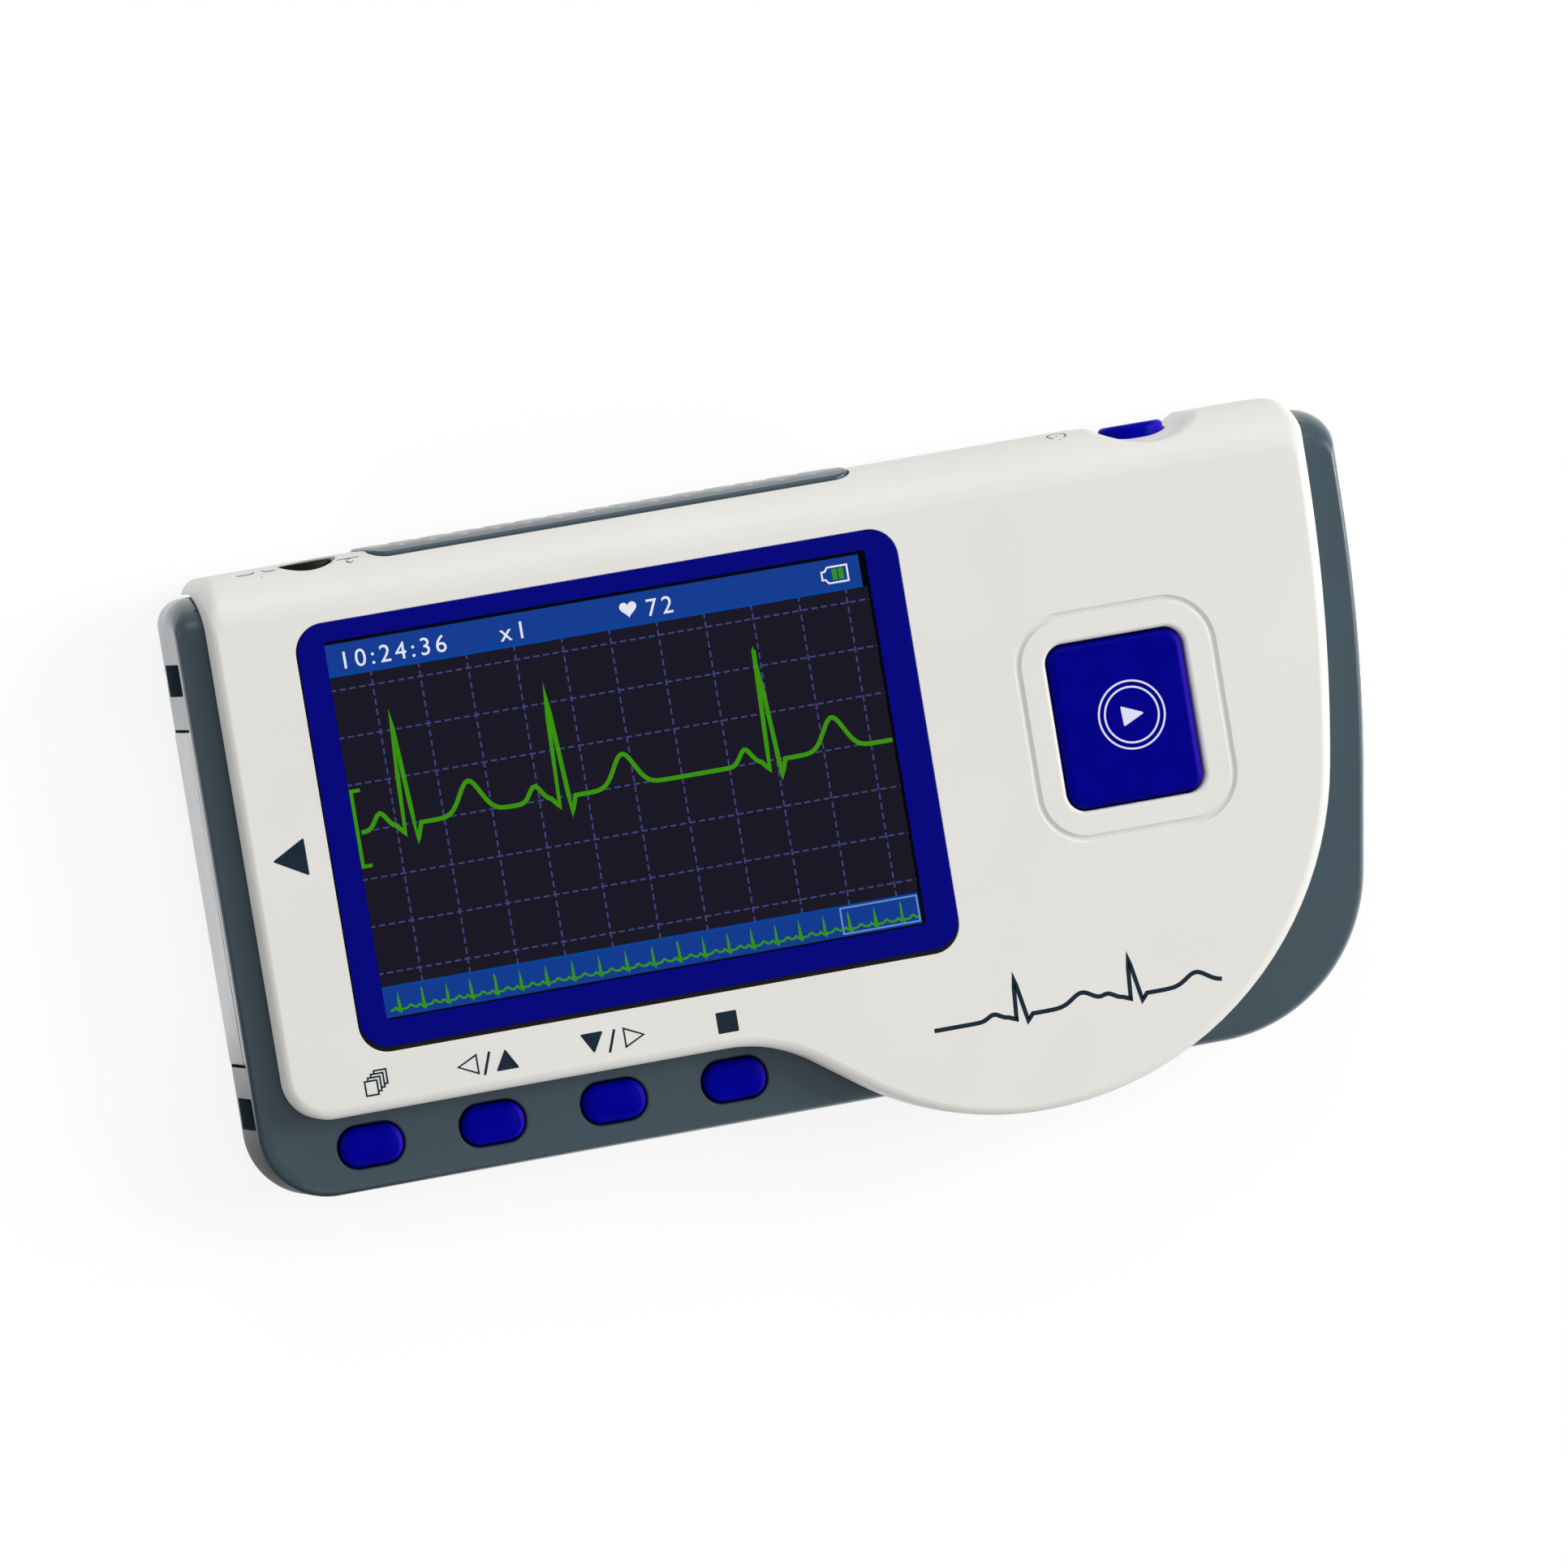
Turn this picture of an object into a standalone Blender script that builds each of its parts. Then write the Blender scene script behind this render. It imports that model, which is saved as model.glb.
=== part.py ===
"""Portable ECG machine: a hand-held heart recorder with a screen, five front keys, a power button,
a battery door that slides off and three electrode plates.

Metres. It lies on its back: +X runs along its length, +Y towards the side with the power button, and
+Z out of the screen. The origin is the middle of its box, on the plane that it rests on.
"""

import math

import bmesh
import bpy
from mathutils import Matrix, Vector

# Fits and accuracy
GAP = 0.0003  # between two pieces that stay apart
KEY_GAP = 0.00025  # round a key in its hole
OVERRUN = 0.001  # how far a cut passes the face that it opens
STEP = 0.00005  # keeps two cuts from sharing a plane
CHORD_ERROR = 0.00005  # how far a facet may stray from its arc
SMALLEST_RADIUS = 0.0003
STRAIGHT_SHARE = 0.995  # of an outline's edge, the most that its two corner arcs take together
ROUND_END_SHARE = 0.48  # of an oblong's height, the radius of its round ends
SHARP_ANGLE = math.radians(32)

# Depth, from the battery door up to the pane over the screen
DOOR_THICKNESS = 0.0014
CELL_DIAMETER = 0.0105
CELL_LENGTH = 0.0445
CELL_PLAY = 0.0003
BAY_WALL = 0.0008
TRAY_THICKNESS = 0.0009
PANEL_THICKNESS = 0.0012
MASK_THICKNESS = 0.0003
PANE_THICKNESS = 0.00115
PANE_STAND = 0.00005  # the pane's height over the cover's face

CELL_Z = DOOR_THICKNESS + CELL_PLAY + CELL_DIAMETER / 2
BAY_CEILING = DOOR_THICKNESS + 2 * CELL_PLAY + CELL_DIAMETER
TRAY_Z = BAY_CEILING + BAY_WALL + GAP
PANEL_Z = TRAY_Z + TRAY_THICKNESS + GAP
MASK_Z = PANEL_Z + PANEL_THICKNESS + GAP
PANE_Z = MASK_Z + MASK_THICKNESS + GAP
FRONT_Z = PANE_Z + PANE_THICKNESS - PANE_STAND

# Screen, and the border of the window round it
SCREEN_LENGTH = 0.0623
SCREEN_WIDTH = 0.0423
MASK_LEFT = 0.0035
MASK_RIGHT = 0.0041
MASK_BOTTOM = 0.0036
MASK_TOP = 0.0025

# Length, from the left end to the right end
ELECTRODE_STAND = 0.0004
SHELF_LEFT = 0.0029
COVER_MARGIN_LEFT = 0.0089
WINDOW_LENGTH = MASK_LEFT + SCREEN_LENGTH + MASK_RIGHT
WINDOW_TO_RING = 0.0111
RING_LENGTH = 0.0239
COVER_MARGIN_RIGHT = 0.01415
SHELF_RIGHT = 0.00485

COVER_LENGTH = COVER_MARGIN_LEFT + WINDOW_LENGTH + WINDOW_TO_RING + RING_LENGTH + COVER_MARGIN_RIGHT
CASE_LENGTH = SHELF_LEFT + COVER_LENGTH + SHELF_RIGHT
CASE_LEFT = -CASE_LENGTH / 2
CASE_RIGHT = CASE_LENGTH / 2
COVER_LEFT = CASE_LEFT + SHELF_LEFT
COVER_RIGHT = CASE_RIGHT - SHELF_RIGHT

# Width, from the side with the power button down to the bulge under the thumb
DOOR_STAND = 0.0003  # the door lip's height over the cover's top side
COVER_MARGIN_TOP = 0.0070
WINDOW_WIDTH = MASK_BOTTOM + SCREEN_WIDTH + MASK_TOP
COVER_MARGIN_BOTTOM = 0.0067
BULGE_DROP = 0.0129
APRON_WIDTH = 0.0085
COVER_TOP_WALL = 0.0016
CASE_TOP_WALL = 0.0015

OVERALL_WIDTH = DOOR_STAND + COVER_MARGIN_TOP + WINDOW_WIDTH + COVER_MARGIN_BOTTOM + BULGE_DROP
DOOR_TOP = OVERALL_WIDTH / 2
COVER_TOP = DOOR_TOP - DOOR_STAND
COVER_BOTTOM = COVER_TOP - COVER_MARGIN_TOP - WINDOW_WIDTH - COVER_MARGIN_BOTTOM
BULGE_BOTTOM = COVER_BOTTOM - BULGE_DROP
CASE_TOP = COVER_TOP - COVER_TOP_WALL - GAP
CASE_BOTTOM = COVER_BOTTOM - APRON_WIDTH

# Front cover
COVER_SKIN = 0.0018
COVER_WALL = 0.0018
COVER_RISE = 0.0047  # from the shelf up to the cover's face
COVER_EDGE = 0.0011
TOP_ROUND_REACH = 0.0060  # the top side's rounding, across the face
TOP_ROUND_DROP = 0.0080  # the same rounding, down the top side
TOP_WALL_BASE = 0.0025
COVER_CORNER_BOTTOM = 0.0048
COVER_CORNER_LEFT = 0.0030
COVER_CORNER_RIGHT = 0.0040
KNEE_INSET = 0.0567  # from the cover's left edge to the turn into the bulge
KNEE_RADIUS = 0.018
BULGE_ANGLE = math.radians(36)
HEEL_RADIUS = 0.034
BULGE_RADIUS = 0.040
BULGE_TAPER = 0.0088
BULGE_TAPER_HEIGHT = 0.0502
SIDE_RADIUS = 0.200
SHELF_Z = FRONT_Z - COVER_RISE
SKIN_Z = FRONT_Z - COVER_SKIN

# Rear case
CASE_WALL = 0.0018
FLOOR = 0.0016
CASE_BACK_ROUND = 0.0030
SHELF_ROUND = 0.0014
CASE_CORNER_BOTTOM = 0.0074
CASE_CORNER_LEFT = 0.0030
CASE_CORNER_RIGHT = 0.0055
CASE_TURN_RADIUS = 0.018
CASE_TAPER = 0.00907
CASE_TAPER_HEIGHT = 0.0371
PARTING_SETBACK = 0.0045  # from the case's top edge to where its shelf starts to fall
PARTING_REACH = 0.0047
PARTING_DROP = 0.0085
RELIEF_INSET = 0.0065  # at each end, the length of top wall that keeps its full height
RELIEF_Z = 0.0068
TONGUE_THICKNESS = 0.0014
TONGUE_INSET = 0.0010
TONGUE_OVERLAP = 0.0010
PARTING_START = CASE_TOP - PARTING_SETBACK

# Window and display
WINDOW_RADIUS = 0.0030
PANEL_BORDER = 0.0012
TRAY_BORDER = 0.0015
LEDGE_THICKNESS = 0.0008
RIM_WIDTH = 0.0012
WINDOW_X = COVER_LEFT + COVER_MARGIN_LEFT + WINDOW_LENGTH / 2
WINDOW_Y = COVER_TOP - COVER_MARGIN_TOP - WINDOW_WIDTH / 2
SCREEN_X = COVER_LEFT + COVER_MARGIN_LEFT + MASK_LEFT + SCREEN_LENGTH / 2
SCREEN_Y = COVER_TOP - COVER_MARGIN_TOP - MASK_TOP - SCREEN_WIDTH / 2
LEDGE_TOP = MASK_Z - GAP

# Start key and the groove round it
START_LENGTH = 0.0159
START_WIDTH = 0.0186
START_RADIUS = 0.0020
START_EDGE = 0.0009
START_FLANGE = 0.0012
START_FLANGE_THICKNESS = 0.0010
START_TRAVEL = 0.0008
START_BELOW_WINDOW = 0.0018
RING_WIDTH = 0.0263
RING_RADIUS = 0.0060
GROOVE_WIDTH = 0.0009
GROOVE_DEPTH = 0.0004
HOLE_EDGE = 0.0005
START_X = COVER_LEFT + COVER_MARGIN_LEFT + WINDOW_LENGTH + WINDOW_TO_RING + RING_LENGTH / 2
START_Y = WINDOW_Y - START_BELOW_WINDOW

# Row of four oblong keys on the apron
ROW_KEYS = ("menu", "up", "down", "stop")
ROW_LENGTH = 0.0072
ROW_HEIGHT = 0.0044
ROW_PITCH = 0.0141
ROW_START = 0.01195  # from the case's left end to the first key's middle
ROW_DROP = 0.0035  # from the cover's lower edge to the row's middle
ROW_STAND = 0.0007
ROW_EDGE = 0.0008
ROW_HOLE_EDGE = 0.0003
ROW_FLANGE = 0.0008
ROW_FLANGE_THICKNESS = 0.0008
ROW_TRAVEL = 0.0006
ROW_Y = COVER_BOTTOM - ROW_DROP

# Power button on the top side
POWER_INSET = 0.01815  # from the cover's right edge
POWER_Z = 0.0106
POWER_LENGTH = 0.0075
POWER_HEIGHT = 0.0042
POWER_SINK = 0.00035
POWER_EDGE = 0.0006
POWER_FLANGE = 0.0006
POWER_FLANGE_THICKNESS = 0.0008
POWER_FLANGE_SETBACK = 0.0013
POWER_TRAVEL = 0.0005
SCOOP_LENGTH = 0.0143
SCOOP_HEIGHT = 0.0110
SCOOP_THICKNESS = 0.0052
SCOOP_OUTSIDE = 0.0015
SCOOP_RISE_SHARE = 0.4  # of the top rounding's drop, up from where it starts
POWER_X = COVER_RIGHT - POWER_INSET

# Main board
BOARD_Z = 0.0063
BOARD_THICKNESS = 0.0012
BOARD_END_INSET = 0.00515
BOARD_SIDE_INSET = 0.0026
BOARD_TOP_INSET = 0.00535
BOARD_NOTCH_PLAY = 0.0005
BOARD_TOP_Z = BOARD_Z + BOARD_THICKNESS
ON_BOARD = BOARD_TOP_Z + GAP
BOARD_TOP_Y = CASE_TOP - BOARD_TOP_INSET

# Push switches and their plungers
START_SWITCH_SIDE = 0.0060
START_SWITCH_HEIGHT = 0.0035
START_PLUNGER_RADIUS = 0.00175
ROW_SWITCH_SIDE = 0.0045
ROW_SWITCH_HEIGHT = 0.0018
ROW_PLUNGER_RADIUS = 0.0010
POWER_SWITCH_LENGTH = 0.0060
POWER_SWITCH_DEPTH = 0.0035
PLUNGE = 0.0003  # how deep a plunger sits in its switch at rest

# Lead jack on the top side
JACK_INSET = 0.01295  # from the cover's left edge
JACK_Z = 0.0110
JACK_HOLE_RADIUS = 0.0033
JACK_BORE_RADIUS = 0.0018
JACK_BARREL_RADIUS = 0.0040
JACK_BARREL_START = 0.0045  # back from the case's top edge
JACK_BARREL_LENGTH = 0.0023
JACK_BODY_LENGTH = 0.0090
JACK_BODY_WIDTH = 0.0076
JACK_BODY_HEIGHT = 0.0052
JACK_SINK = 0.0012
JACK_X = COVER_LEFT + JACK_INSET

# Battery bay, cells and contacts
CONTACT_THICKNESS = 0.0005
CONTACT_WIDTH = 0.0076
CONTACT_Z = 0.0043
CONTACT_HEIGHT = 0.0060
SPRING_LENGTH = 0.0046
SPRING_RADIUS = 0.0034
SPRING_TIP_RADIUS = 0.0023
SPRING_WIRE = 0.0006
SPRING_TURNS = 4
NUB_LENGTH = 0.0008
NUB_RADIUS = 0.00275
CELL_EDGE = 0.0004
BAY_LENGTH = 2 * (GAP + CONTACT_THICKNESS + GAP) + CELL_LENGTH + GAP + SPRING_LENGTH
BAY_INSET = 0.02225  # from the cover's left edge
BAY_LEFT = COVER_LEFT + BAY_INSET
BAY_RIGHT = BAY_LEFT + BAY_LENGTH
BAY_TOP = CASE_TOP - CASE_TOP_WALL
BAY_BOTTOM = BAY_TOP - 2 * CELL_DIAMETER - 3 * CELL_PLAY
UPPER_CELL_Y = BAY_TOP - CELL_PLAY - CELL_DIAMETER / 2
LOWER_CELL_Y = BAY_BOTTOM + CELL_PLAY + CELL_DIAMETER / 2

# Battery door and the rim that carries it
DOOR_OVERLAP = 0.00205
DOOR_TRAVEL = 0.026
LIP_RISE_SHARE = 0.51  # of the top rounding's drop
LIP_CORNER = 0.0010
DOOR_ROUND = 0.0022
RIM_HEIGHT = 0.0040
RAIL_WALL = 0.0006
RAIL_FOOT = 0.0006
RAIL_FOOT_THICKNESS = 0.00045
RAIL_Z = 0.0029
RAIL_SETBACK = 0.0020
GRIP_COUNT = 14
GRIP_PITCH = 0.0037
GRIP_WIDTH = 0.0011
GRIP_DEPTH = 0.0003
GRIP_RISE = 0.0020  # up the curl of the lip
DOOR_LEFT = BAY_LEFT - DOOR_OVERLAP
DOOR_RIGHT = BAY_RIGHT + DOOR_OVERLAP
DOOR_BOTTOM = BAY_BOTTOM - DOOR_OVERLAP

# Electrode plates and their leaf contacts
PLATE_THICKNESS = 0.0008
PLATE_Z = 0.0025
PLATE_HEIGHT = 0.0085
PLATE_CORNER = 0.0010
LEFT_PLATE_START = 0.0161  # up from the case's lower edge
LEFT_PLATE_LENGTH = 0.0378
RIGHT_PLATE_START = 0.0275
RIGHT_PLATE_LENGTH = 0.0340
PLATE_FACETS = 8
TAB_WIDTH = 0.0050
TAB_THICKNESS = 0.0010
TAB_Z = 0.0092
TAB_REACH = 0.0055
LEAF_LENGTH = 0.0030
LEAF_WIDTH = 0.0024
LEAF_THICKNESS = 0.0003
REAR_PLATE_X = CASE_RIGHT - 0.03035
REAR_PLATE_Y = 0.0045
REAR_PLATE_LENGTH = 0.0260
REAR_PLATE_WIDTH = 0.0150
REAR_PLATE_THICKNESS = 0.00045
REAR_PLATE_SINK = 0.00015

# Snap windows in the left wall, and the cover's hook
SNAP_WIDTH = 0.0036
SNAP_HEIGHT = 0.0054
SNAP_Z = 0.0058
UPPER_SNAP_DROP = 0.00895  # down from the case's top edge
LOWER_SNAP_RISE = 0.0105  # up from the case's lower edge
HOOK_THICKNESS = 0.0012
HOOK_NOSE = 0.0013
HOOK_NOSE_DROP = 0.0004
SNAP_Y = (CASE_TOP - UPPER_SNAP_DROP, CASE_BOTTOM + LOWER_SNAP_RISE)

# Case screws
SCREW_RADIUS = 0.0011
SCREW_HEAD_RADIUS = 0.0019
SCREW_HEAD_HEIGHT = 0.0013
SCREW_SINK = 0.0004
SCREW_END_Z = 0.0145
SCREW_SLOT = 0.0005
BOSS_RADIUS = 0.0032
BOSS_PIN_RADIUS = 0.0020
BOSS_SPLIT_Z = 0.0105
COVER_BOSS_RADIUS = 0.0026
SCREW_LEFT_INSET = COVER_WALL + GAP + BOSS_RADIUS
SCREW_TOP_INSET = 0.0090
SCREW_BOTTOM_INSET = 0.0065
SCREW_RIGHT_INSET = 0.0065
SCREW_BULGE_INSET_X = 0.0197
SCREW_BULGE_INSET_Y = 0.0191
SCREW_PLACES = (
    (COVER_LEFT + SCREW_LEFT_INSET, COVER_TOP - SCREW_TOP_INSET),
    (COVER_LEFT + SCREW_LEFT_INSET, COVER_BOTTOM + SCREW_BOTTOM_INSET),
    (COVER_RIGHT - SCREW_RIGHT_INSET, COVER_TOP - SCREW_TOP_INSET),
    (COVER_RIGHT - SCREW_BULGE_INSET_X, BULGE_BOTTOM + SCREW_BULGE_INSET_Y),
)

# Parts on the board
FLEX_THICKNESS = 0.00025
FLEX_WIDTH = 0.0200
FLEX_OVERHANG = 0.0004
FLEX_TAIL = 0.0026
CONNECTOR_DEPTH = 0.0030
CONNECTOR_HEIGHT = 0.0030
CAN_LENGTH = 0.0200
CAN_WIDTH = 0.0140
CAN_HEIGHT = 0.0025
CAN_WALL = 0.0003
CHIP_HEIGHT = 0.0013
PROCESSOR_SIDE = 0.0120
MEMORY_LENGTH = 0.0080
MEMORY_WIDTH = 0.0110
AMPLIFIER_SIDE = 0.0050
BUZZER_RADIUS = 0.0060
BUZZER_HEIGHT = 0.0032
BUZZER_HOLE_RADIUS = 0.0010
BOARD_PART_SPACING = 0.0050


def material(name, colour, roughness, metallic=0.0, transmission=0.0):
    """A Principled BSDF material of one colour."""
    made = bpy.data.materials.new(name)
    made.use_nodes = True
    shader = made.node_tree.nodes["Principled BSDF"]
    shader.inputs["Base Color"].default_value = (*colour, 1.0)
    shader.inputs["Roughness"].default_value = roughness
    shader.inputs["Metallic"].default_value = metallic
    shader.inputs["Transmission Weight"].default_value = transmission
    return made


def clear_scene():
    for old in list(bpy.data.objects):
        bpy.data.objects.remove(old, do_unlink=True)


def solid(name, mesh, finish=None):
    """Turns a bmesh into an object. Without a finish it is a tool that shapes other pieces."""
    bmesh.ops.recalc_face_normals(mesh, faces=mesh.faces)
    data = bpy.data.meshes.new(name)
    mesh.to_mesh(data)
    mesh.free()
    made = bpy.data.objects.new(name, data)
    bpy.context.scene.collection.objects.link(made)
    if finish is None:
        made.hide_render = True
        made.display_type = "WIRE"
    else:
        data.materials.append(finish)
        data.shade_smooth()
        data.set_sharp_from_angle(angle=SHARP_ANGLE)
    return made


def arc_steps(radius, turn):
    """How many facets an arc needs to stay within the chord error."""
    wide = max(radius, 2 * CHORD_ERROR)
    return max(2, math.ceil(turn / (2 * math.acos(1 - CHORD_ERROR / wide))))


def corner_turns(corners):
    """The change of heading at each corner of an outline, left turns positive."""
    turns = []
    for index, corner in enumerate(corners):
        after = corners[(index + 1) % len(corners)]
        before = corners[index - 1]
        arriving = Vector((corner[0] - before[0], corner[1] - before[1]))
        leaving = Vector((after[0] - corner[0], after[1] - corner[1]))
        turns.append(math.atan2(arriving.cross(leaving), arriving.dot(leaving)))
    return turns


def facet_counts(corners):
    return [arc_steps(corner[2], abs(turn)) for corner, turn in zip(corners, corner_turns(corners))]


def rounded(corners, counts=None):
    """The points of an outline whose corners (x, y, radius) become arcs that never reach past each other."""
    counts = counts or facet_counts(corners)
    turns = corner_turns(corners)
    reaches = [corner[2] * math.tan(abs(turn) / 2) for corner, turn in zip(corners, turns)]
    allowed = list(reaches)
    for index, corner in enumerate(corners):
        after = (index + 1) % len(corners)
        length = math.dist(corner[:2], corners[after][:2]) * STRAIGHT_SHARE
        wanted = reaches[index] + reaches[after]
        if wanted > length:
            allowed[index] = min(allowed[index], reaches[index] * length / wanted)
            allowed[after] = min(allowed[after], reaches[after] * length / wanted)
    points = []
    for index, corner in enumerate(corners):
        here = Vector(corner[:2])
        back = (Vector(corners[index - 1][:2]) - here).normalized()
        ahead = (Vector(corners[(index + 1) % len(corners)][:2]) - here).normalized()
        half = abs(turns[index]) / 2
        radius = allowed[index] / math.tan(half)
        centre = here + (back + ahead).normalized() * radius / math.cos(half)
        spoke = here + back * allowed[index] - centre
        for facet in range(counts[index] + 1):
            swing = Matrix.Rotation(turns[index] * facet / counts[index], 2)
            points.append(tuple(centre + swing @ spoke))
    return points


def inset(corners, amounts):
    """The outline moved inwards, by one amount or by one for each edge, the first leaving the first corner."""
    if not isinstance(amounts, (list, tuple)):
        amounts = [amounts] * len(corners)
    turns = corner_turns(corners)
    lines = []
    for index, corner in enumerate(corners):
        here = Vector(corner[:2])
        heading = (Vector(corners[(index + 1) % len(corners)][:2]) - here).normalized()
        inwards = Vector((-heading.y, heading.x))
        lines.append((here + inwards * amounts[index], heading))
    moved = []
    for index, corner in enumerate(corners):
        start, heading = lines[index - 1]
        other, leaving = lines[index]
        along = (other - start).cross(leaving) / heading.cross(leaving)
        place = start + heading * along
        change = (amounts[index - 1] + amounts[index]) / 2
        radius = corner[2] - change if turns[index] > 0 else corner[2] + change
        moved.append((place.x, place.y, max(radius, SMALLEST_RADIUS)))
    return moved


def placed(axis, first, second, along):
    """A point from its two coordinates across an axis and its coordinate along it."""
    return {"X": (along, first, second), "Y": (first, along, second), "Z": (first, second, along)}[axis]


def loft(name, rings, finish=None, closed=False):
    """Joins rings of points in order, with a flat cap at each end unless the last joins the first."""
    mesh = bmesh.new()
    loops = [[mesh.verts.new(point) for point in ring] for ring in rings]
    pairs = list(zip(loops, loops[1:]))
    if closed:
        pairs.append((loops[-1], loops[0]))
    for lower, upper in pairs:
        for index in range(len(lower)):
            after = (index + 1) % len(lower)
            mesh.faces.new((lower[index], lower[after], upper[after], upper[index]))
    if not closed:
        mesh.faces.new(list(reversed(loops[0])))
        mesh.faces.new(loops[-1])
    return solid(name, mesh, finish)


def slab(name, points, low, high, finish=None, axis="Z"):
    """An outline extruded along an axis."""
    rings = [[placed(axis, *point, along) for point in points] for along in (low, high)]
    return loft(name, rings, finish)


def block(name, low, high, finish=None):
    """A box between two opposite corners."""
    points = ((low[0], low[1]), (high[0], low[1]), (high[0], high[1]), (low[0], high[1]))
    return slab(name, points, low[2], high[2], finish)


def circle(centre, radius):
    count = max(12, 4 * arc_steps(radius, math.pi / 2))
    turn = 2 * math.pi / count
    return [
        (centre[0] + radius * math.cos(turn * index), centre[1] + radius * math.sin(turn * index))
        for index in range(count)
    ]


def turned(name, profile, centre, axis="Z", finish=None, closed=False):
    """A round piece from (radius, place along the axis) pairs."""
    count = len(circle(centre, max(radius for radius, _ in profile)))
    turn = 2 * math.pi / count
    rings = []
    for radius, along in profile:
        ring = []
        for index in range(count):
            first = centre[0] + radius * math.cos(turn * index)
            second = centre[1] + radius * math.sin(turn * index)
            ring.append(placed(axis, first, second, along))
        rings.append(ring)
    return loft(name, rings, finish, closed)


def box_corners(centre, length, width, radius):
    """A rectangle's corners for rounded(), anticlockwise."""
    left = centre[0] - length / 2
    low = centre[1] - width / 2
    right = centre[0] + length / 2
    high = centre[1] + width / 2
    return [(left, low, radius), (right, low, radius), (right, high, radius), (left, high, radius)]


def shaped(name, corners, levels, finish=None, axis="Z"):
    """A loft of one outline at several (inset, place along the axis) levels."""
    counts = facet_counts(corners)
    rings = []
    for amount, along in levels:
        ring = rounded(inset(corners, amount), counts)
        rings.append([placed(axis, *point, along) for point in ring])
    return loft(name, rings, finish)


def modify(body, tool, operation):
    modifier = body.modifiers.new(tool.name, "BOOLEAN")
    modifier.operation = operation
    modifier.solver = "EXACT"
    modifier.object = tool


def cut(body, *tools):
    for tool in tools:
        modify(body, tool, "DIFFERENCE")


def join(body, *tools):
    for tool in tools:
        modify(body, tool, "UNION")


def keep(body, tool):
    modify(body, tool, "INTERSECT")


def merged(name, tools):
    """One tool made of several that stay clear of each other."""
    mesh = bmesh.new()
    for tool in tools:
        mesh.from_mesh(tool.data)
        bpy.data.objects.remove(tool, do_unlink=True)
    return solid(name, mesh)


def origin_at(piece, place):
    """Moves a piece's origin without moving its shape."""
    piece.data.transform(Matrix.Translation(-Vector(place)))
    piece.location = place


def cover_corners():
    """The front cover's outline, anticlockwise from its lower left corner."""
    knee = COVER_LEFT + KNEE_INSET
    heel = knee + BULGE_DROP / math.tan(BULGE_ANGLE)
    return [
        (COVER_LEFT, COVER_BOTTOM, COVER_CORNER_BOTTOM),
        (knee, COVER_BOTTOM, KNEE_RADIUS),
        (heel, BULGE_BOTTOM, HEEL_RADIUS),
        (COVER_RIGHT - BULGE_TAPER, BULGE_BOTTOM, BULGE_RADIUS),
        (COVER_RIGHT, BULGE_BOTTOM + BULGE_TAPER_HEIGHT, SIDE_RADIUS),
        (COVER_RIGHT, COVER_TOP, COVER_CORNER_RIGHT),
        (COVER_LEFT, COVER_TOP, COVER_CORNER_LEFT),
    ]


def case_corners():
    """The rear case's outline, anticlockwise from its lower left corner."""
    return [
        (CASE_LEFT, CASE_BOTTOM, CASE_CORNER_BOTTOM),
        (CASE_RIGHT - CASE_TAPER, CASE_BOTTOM, CASE_TURN_RADIUS),
        (CASE_RIGHT, CASE_BOTTOM + CASE_TAPER_HEIGHT, SIDE_RADIUS),
        (CASE_RIGHT, CASE_TOP, CASE_CORNER_RIGHT),
        (CASE_LEFT, CASE_TOP, CASE_CORNER_LEFT),
    ]


def edges_by_height(corners):
    """An outline's edges, each named by its first corner, from the lowest on the page to the highest."""
    return sorted(
        range(len(corners)),
        key=lambda index: corners[index][1] + corners[(index + 1) % len(corners)][1],
    )


def quarter_round(radius, low, steps):
    """(inset, height) levels of a rounding that starts upright at the height low and ends level."""
    levels = []
    for step in range(steps + 1):
        angle = math.pi / 2 * step / steps
        levels.append((radius * (1 - math.cos(angle)), low + radius * math.sin(angle)))
    return levels


def cover_form(name, side_wall, top_wall, skin, base, edge, finish=None):
    """The cover's outer form, or its hollow when the walls are given. Its top side is a quarter ellipse."""
    corners = cover_corners()
    counts = facet_counts(corners)
    top_edge = edges_by_height(corners)[-1]
    front = FRONT_Z - skin
    drop = TOP_ROUND_DROP - skin
    reach = TOP_ROUND_REACH - top_wall
    spring = front - drop
    lifts = [0, 20, 40, 55, 68, 79, 90]
    rings = []
    for height in [base] + [spring + drop * math.sin(math.radians(lift)) for lift in lifts]:
        lift = min(1, max(0, (height - spring) / drop))
        fall = reach * (1 - math.sqrt(1 - lift * lift))
        into_edge = min(edge, max(0, edge - (front - height)))
        side = edge - math.sqrt(edge * edge - into_edge * into_edge)
        amounts = [side_wall + side] * len(corners)
        amounts[top_edge] = top_wall + fall
        rings.append([(*point, height) for point in rounded(inset(corners, amounts), counts)])
    return loft(name, rings, finish)


def fallen_shelf(clearance):
    """(y, z) points of the line where the case ends, from the level shelf round to the top wall."""
    points = []
    for angle in (0, 18, 36, 52, 66, 78, 90):
        turn = math.radians(angle)
        across = PARTING_START + (PARTING_REACH + clearance) * math.sin(turn)
        height = SHELF_Z - PARTING_DROP + (PARTING_DROP + clearance) * math.cos(turn)
        points.append((across, height))
    return points


def parting_below():
    """All that lies under the cover's lower edge."""
    wall = COVER_TOP - COVER_TOP_WALL + STEP
    line = [(min(across, wall), height) for across, height in fallen_shelf(GAP) if across < wall]
    far = BULGE_BOTTOM - OVERRUN
    low = -OVERRUN
    line = [(far, low), (far, SHELF_Z + GAP)] + line + [(wall, line[-1][1] - GAP), (wall, low)]
    return slab("below_cover", line, CASE_LEFT, CASE_RIGHT, axis="X")


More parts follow.
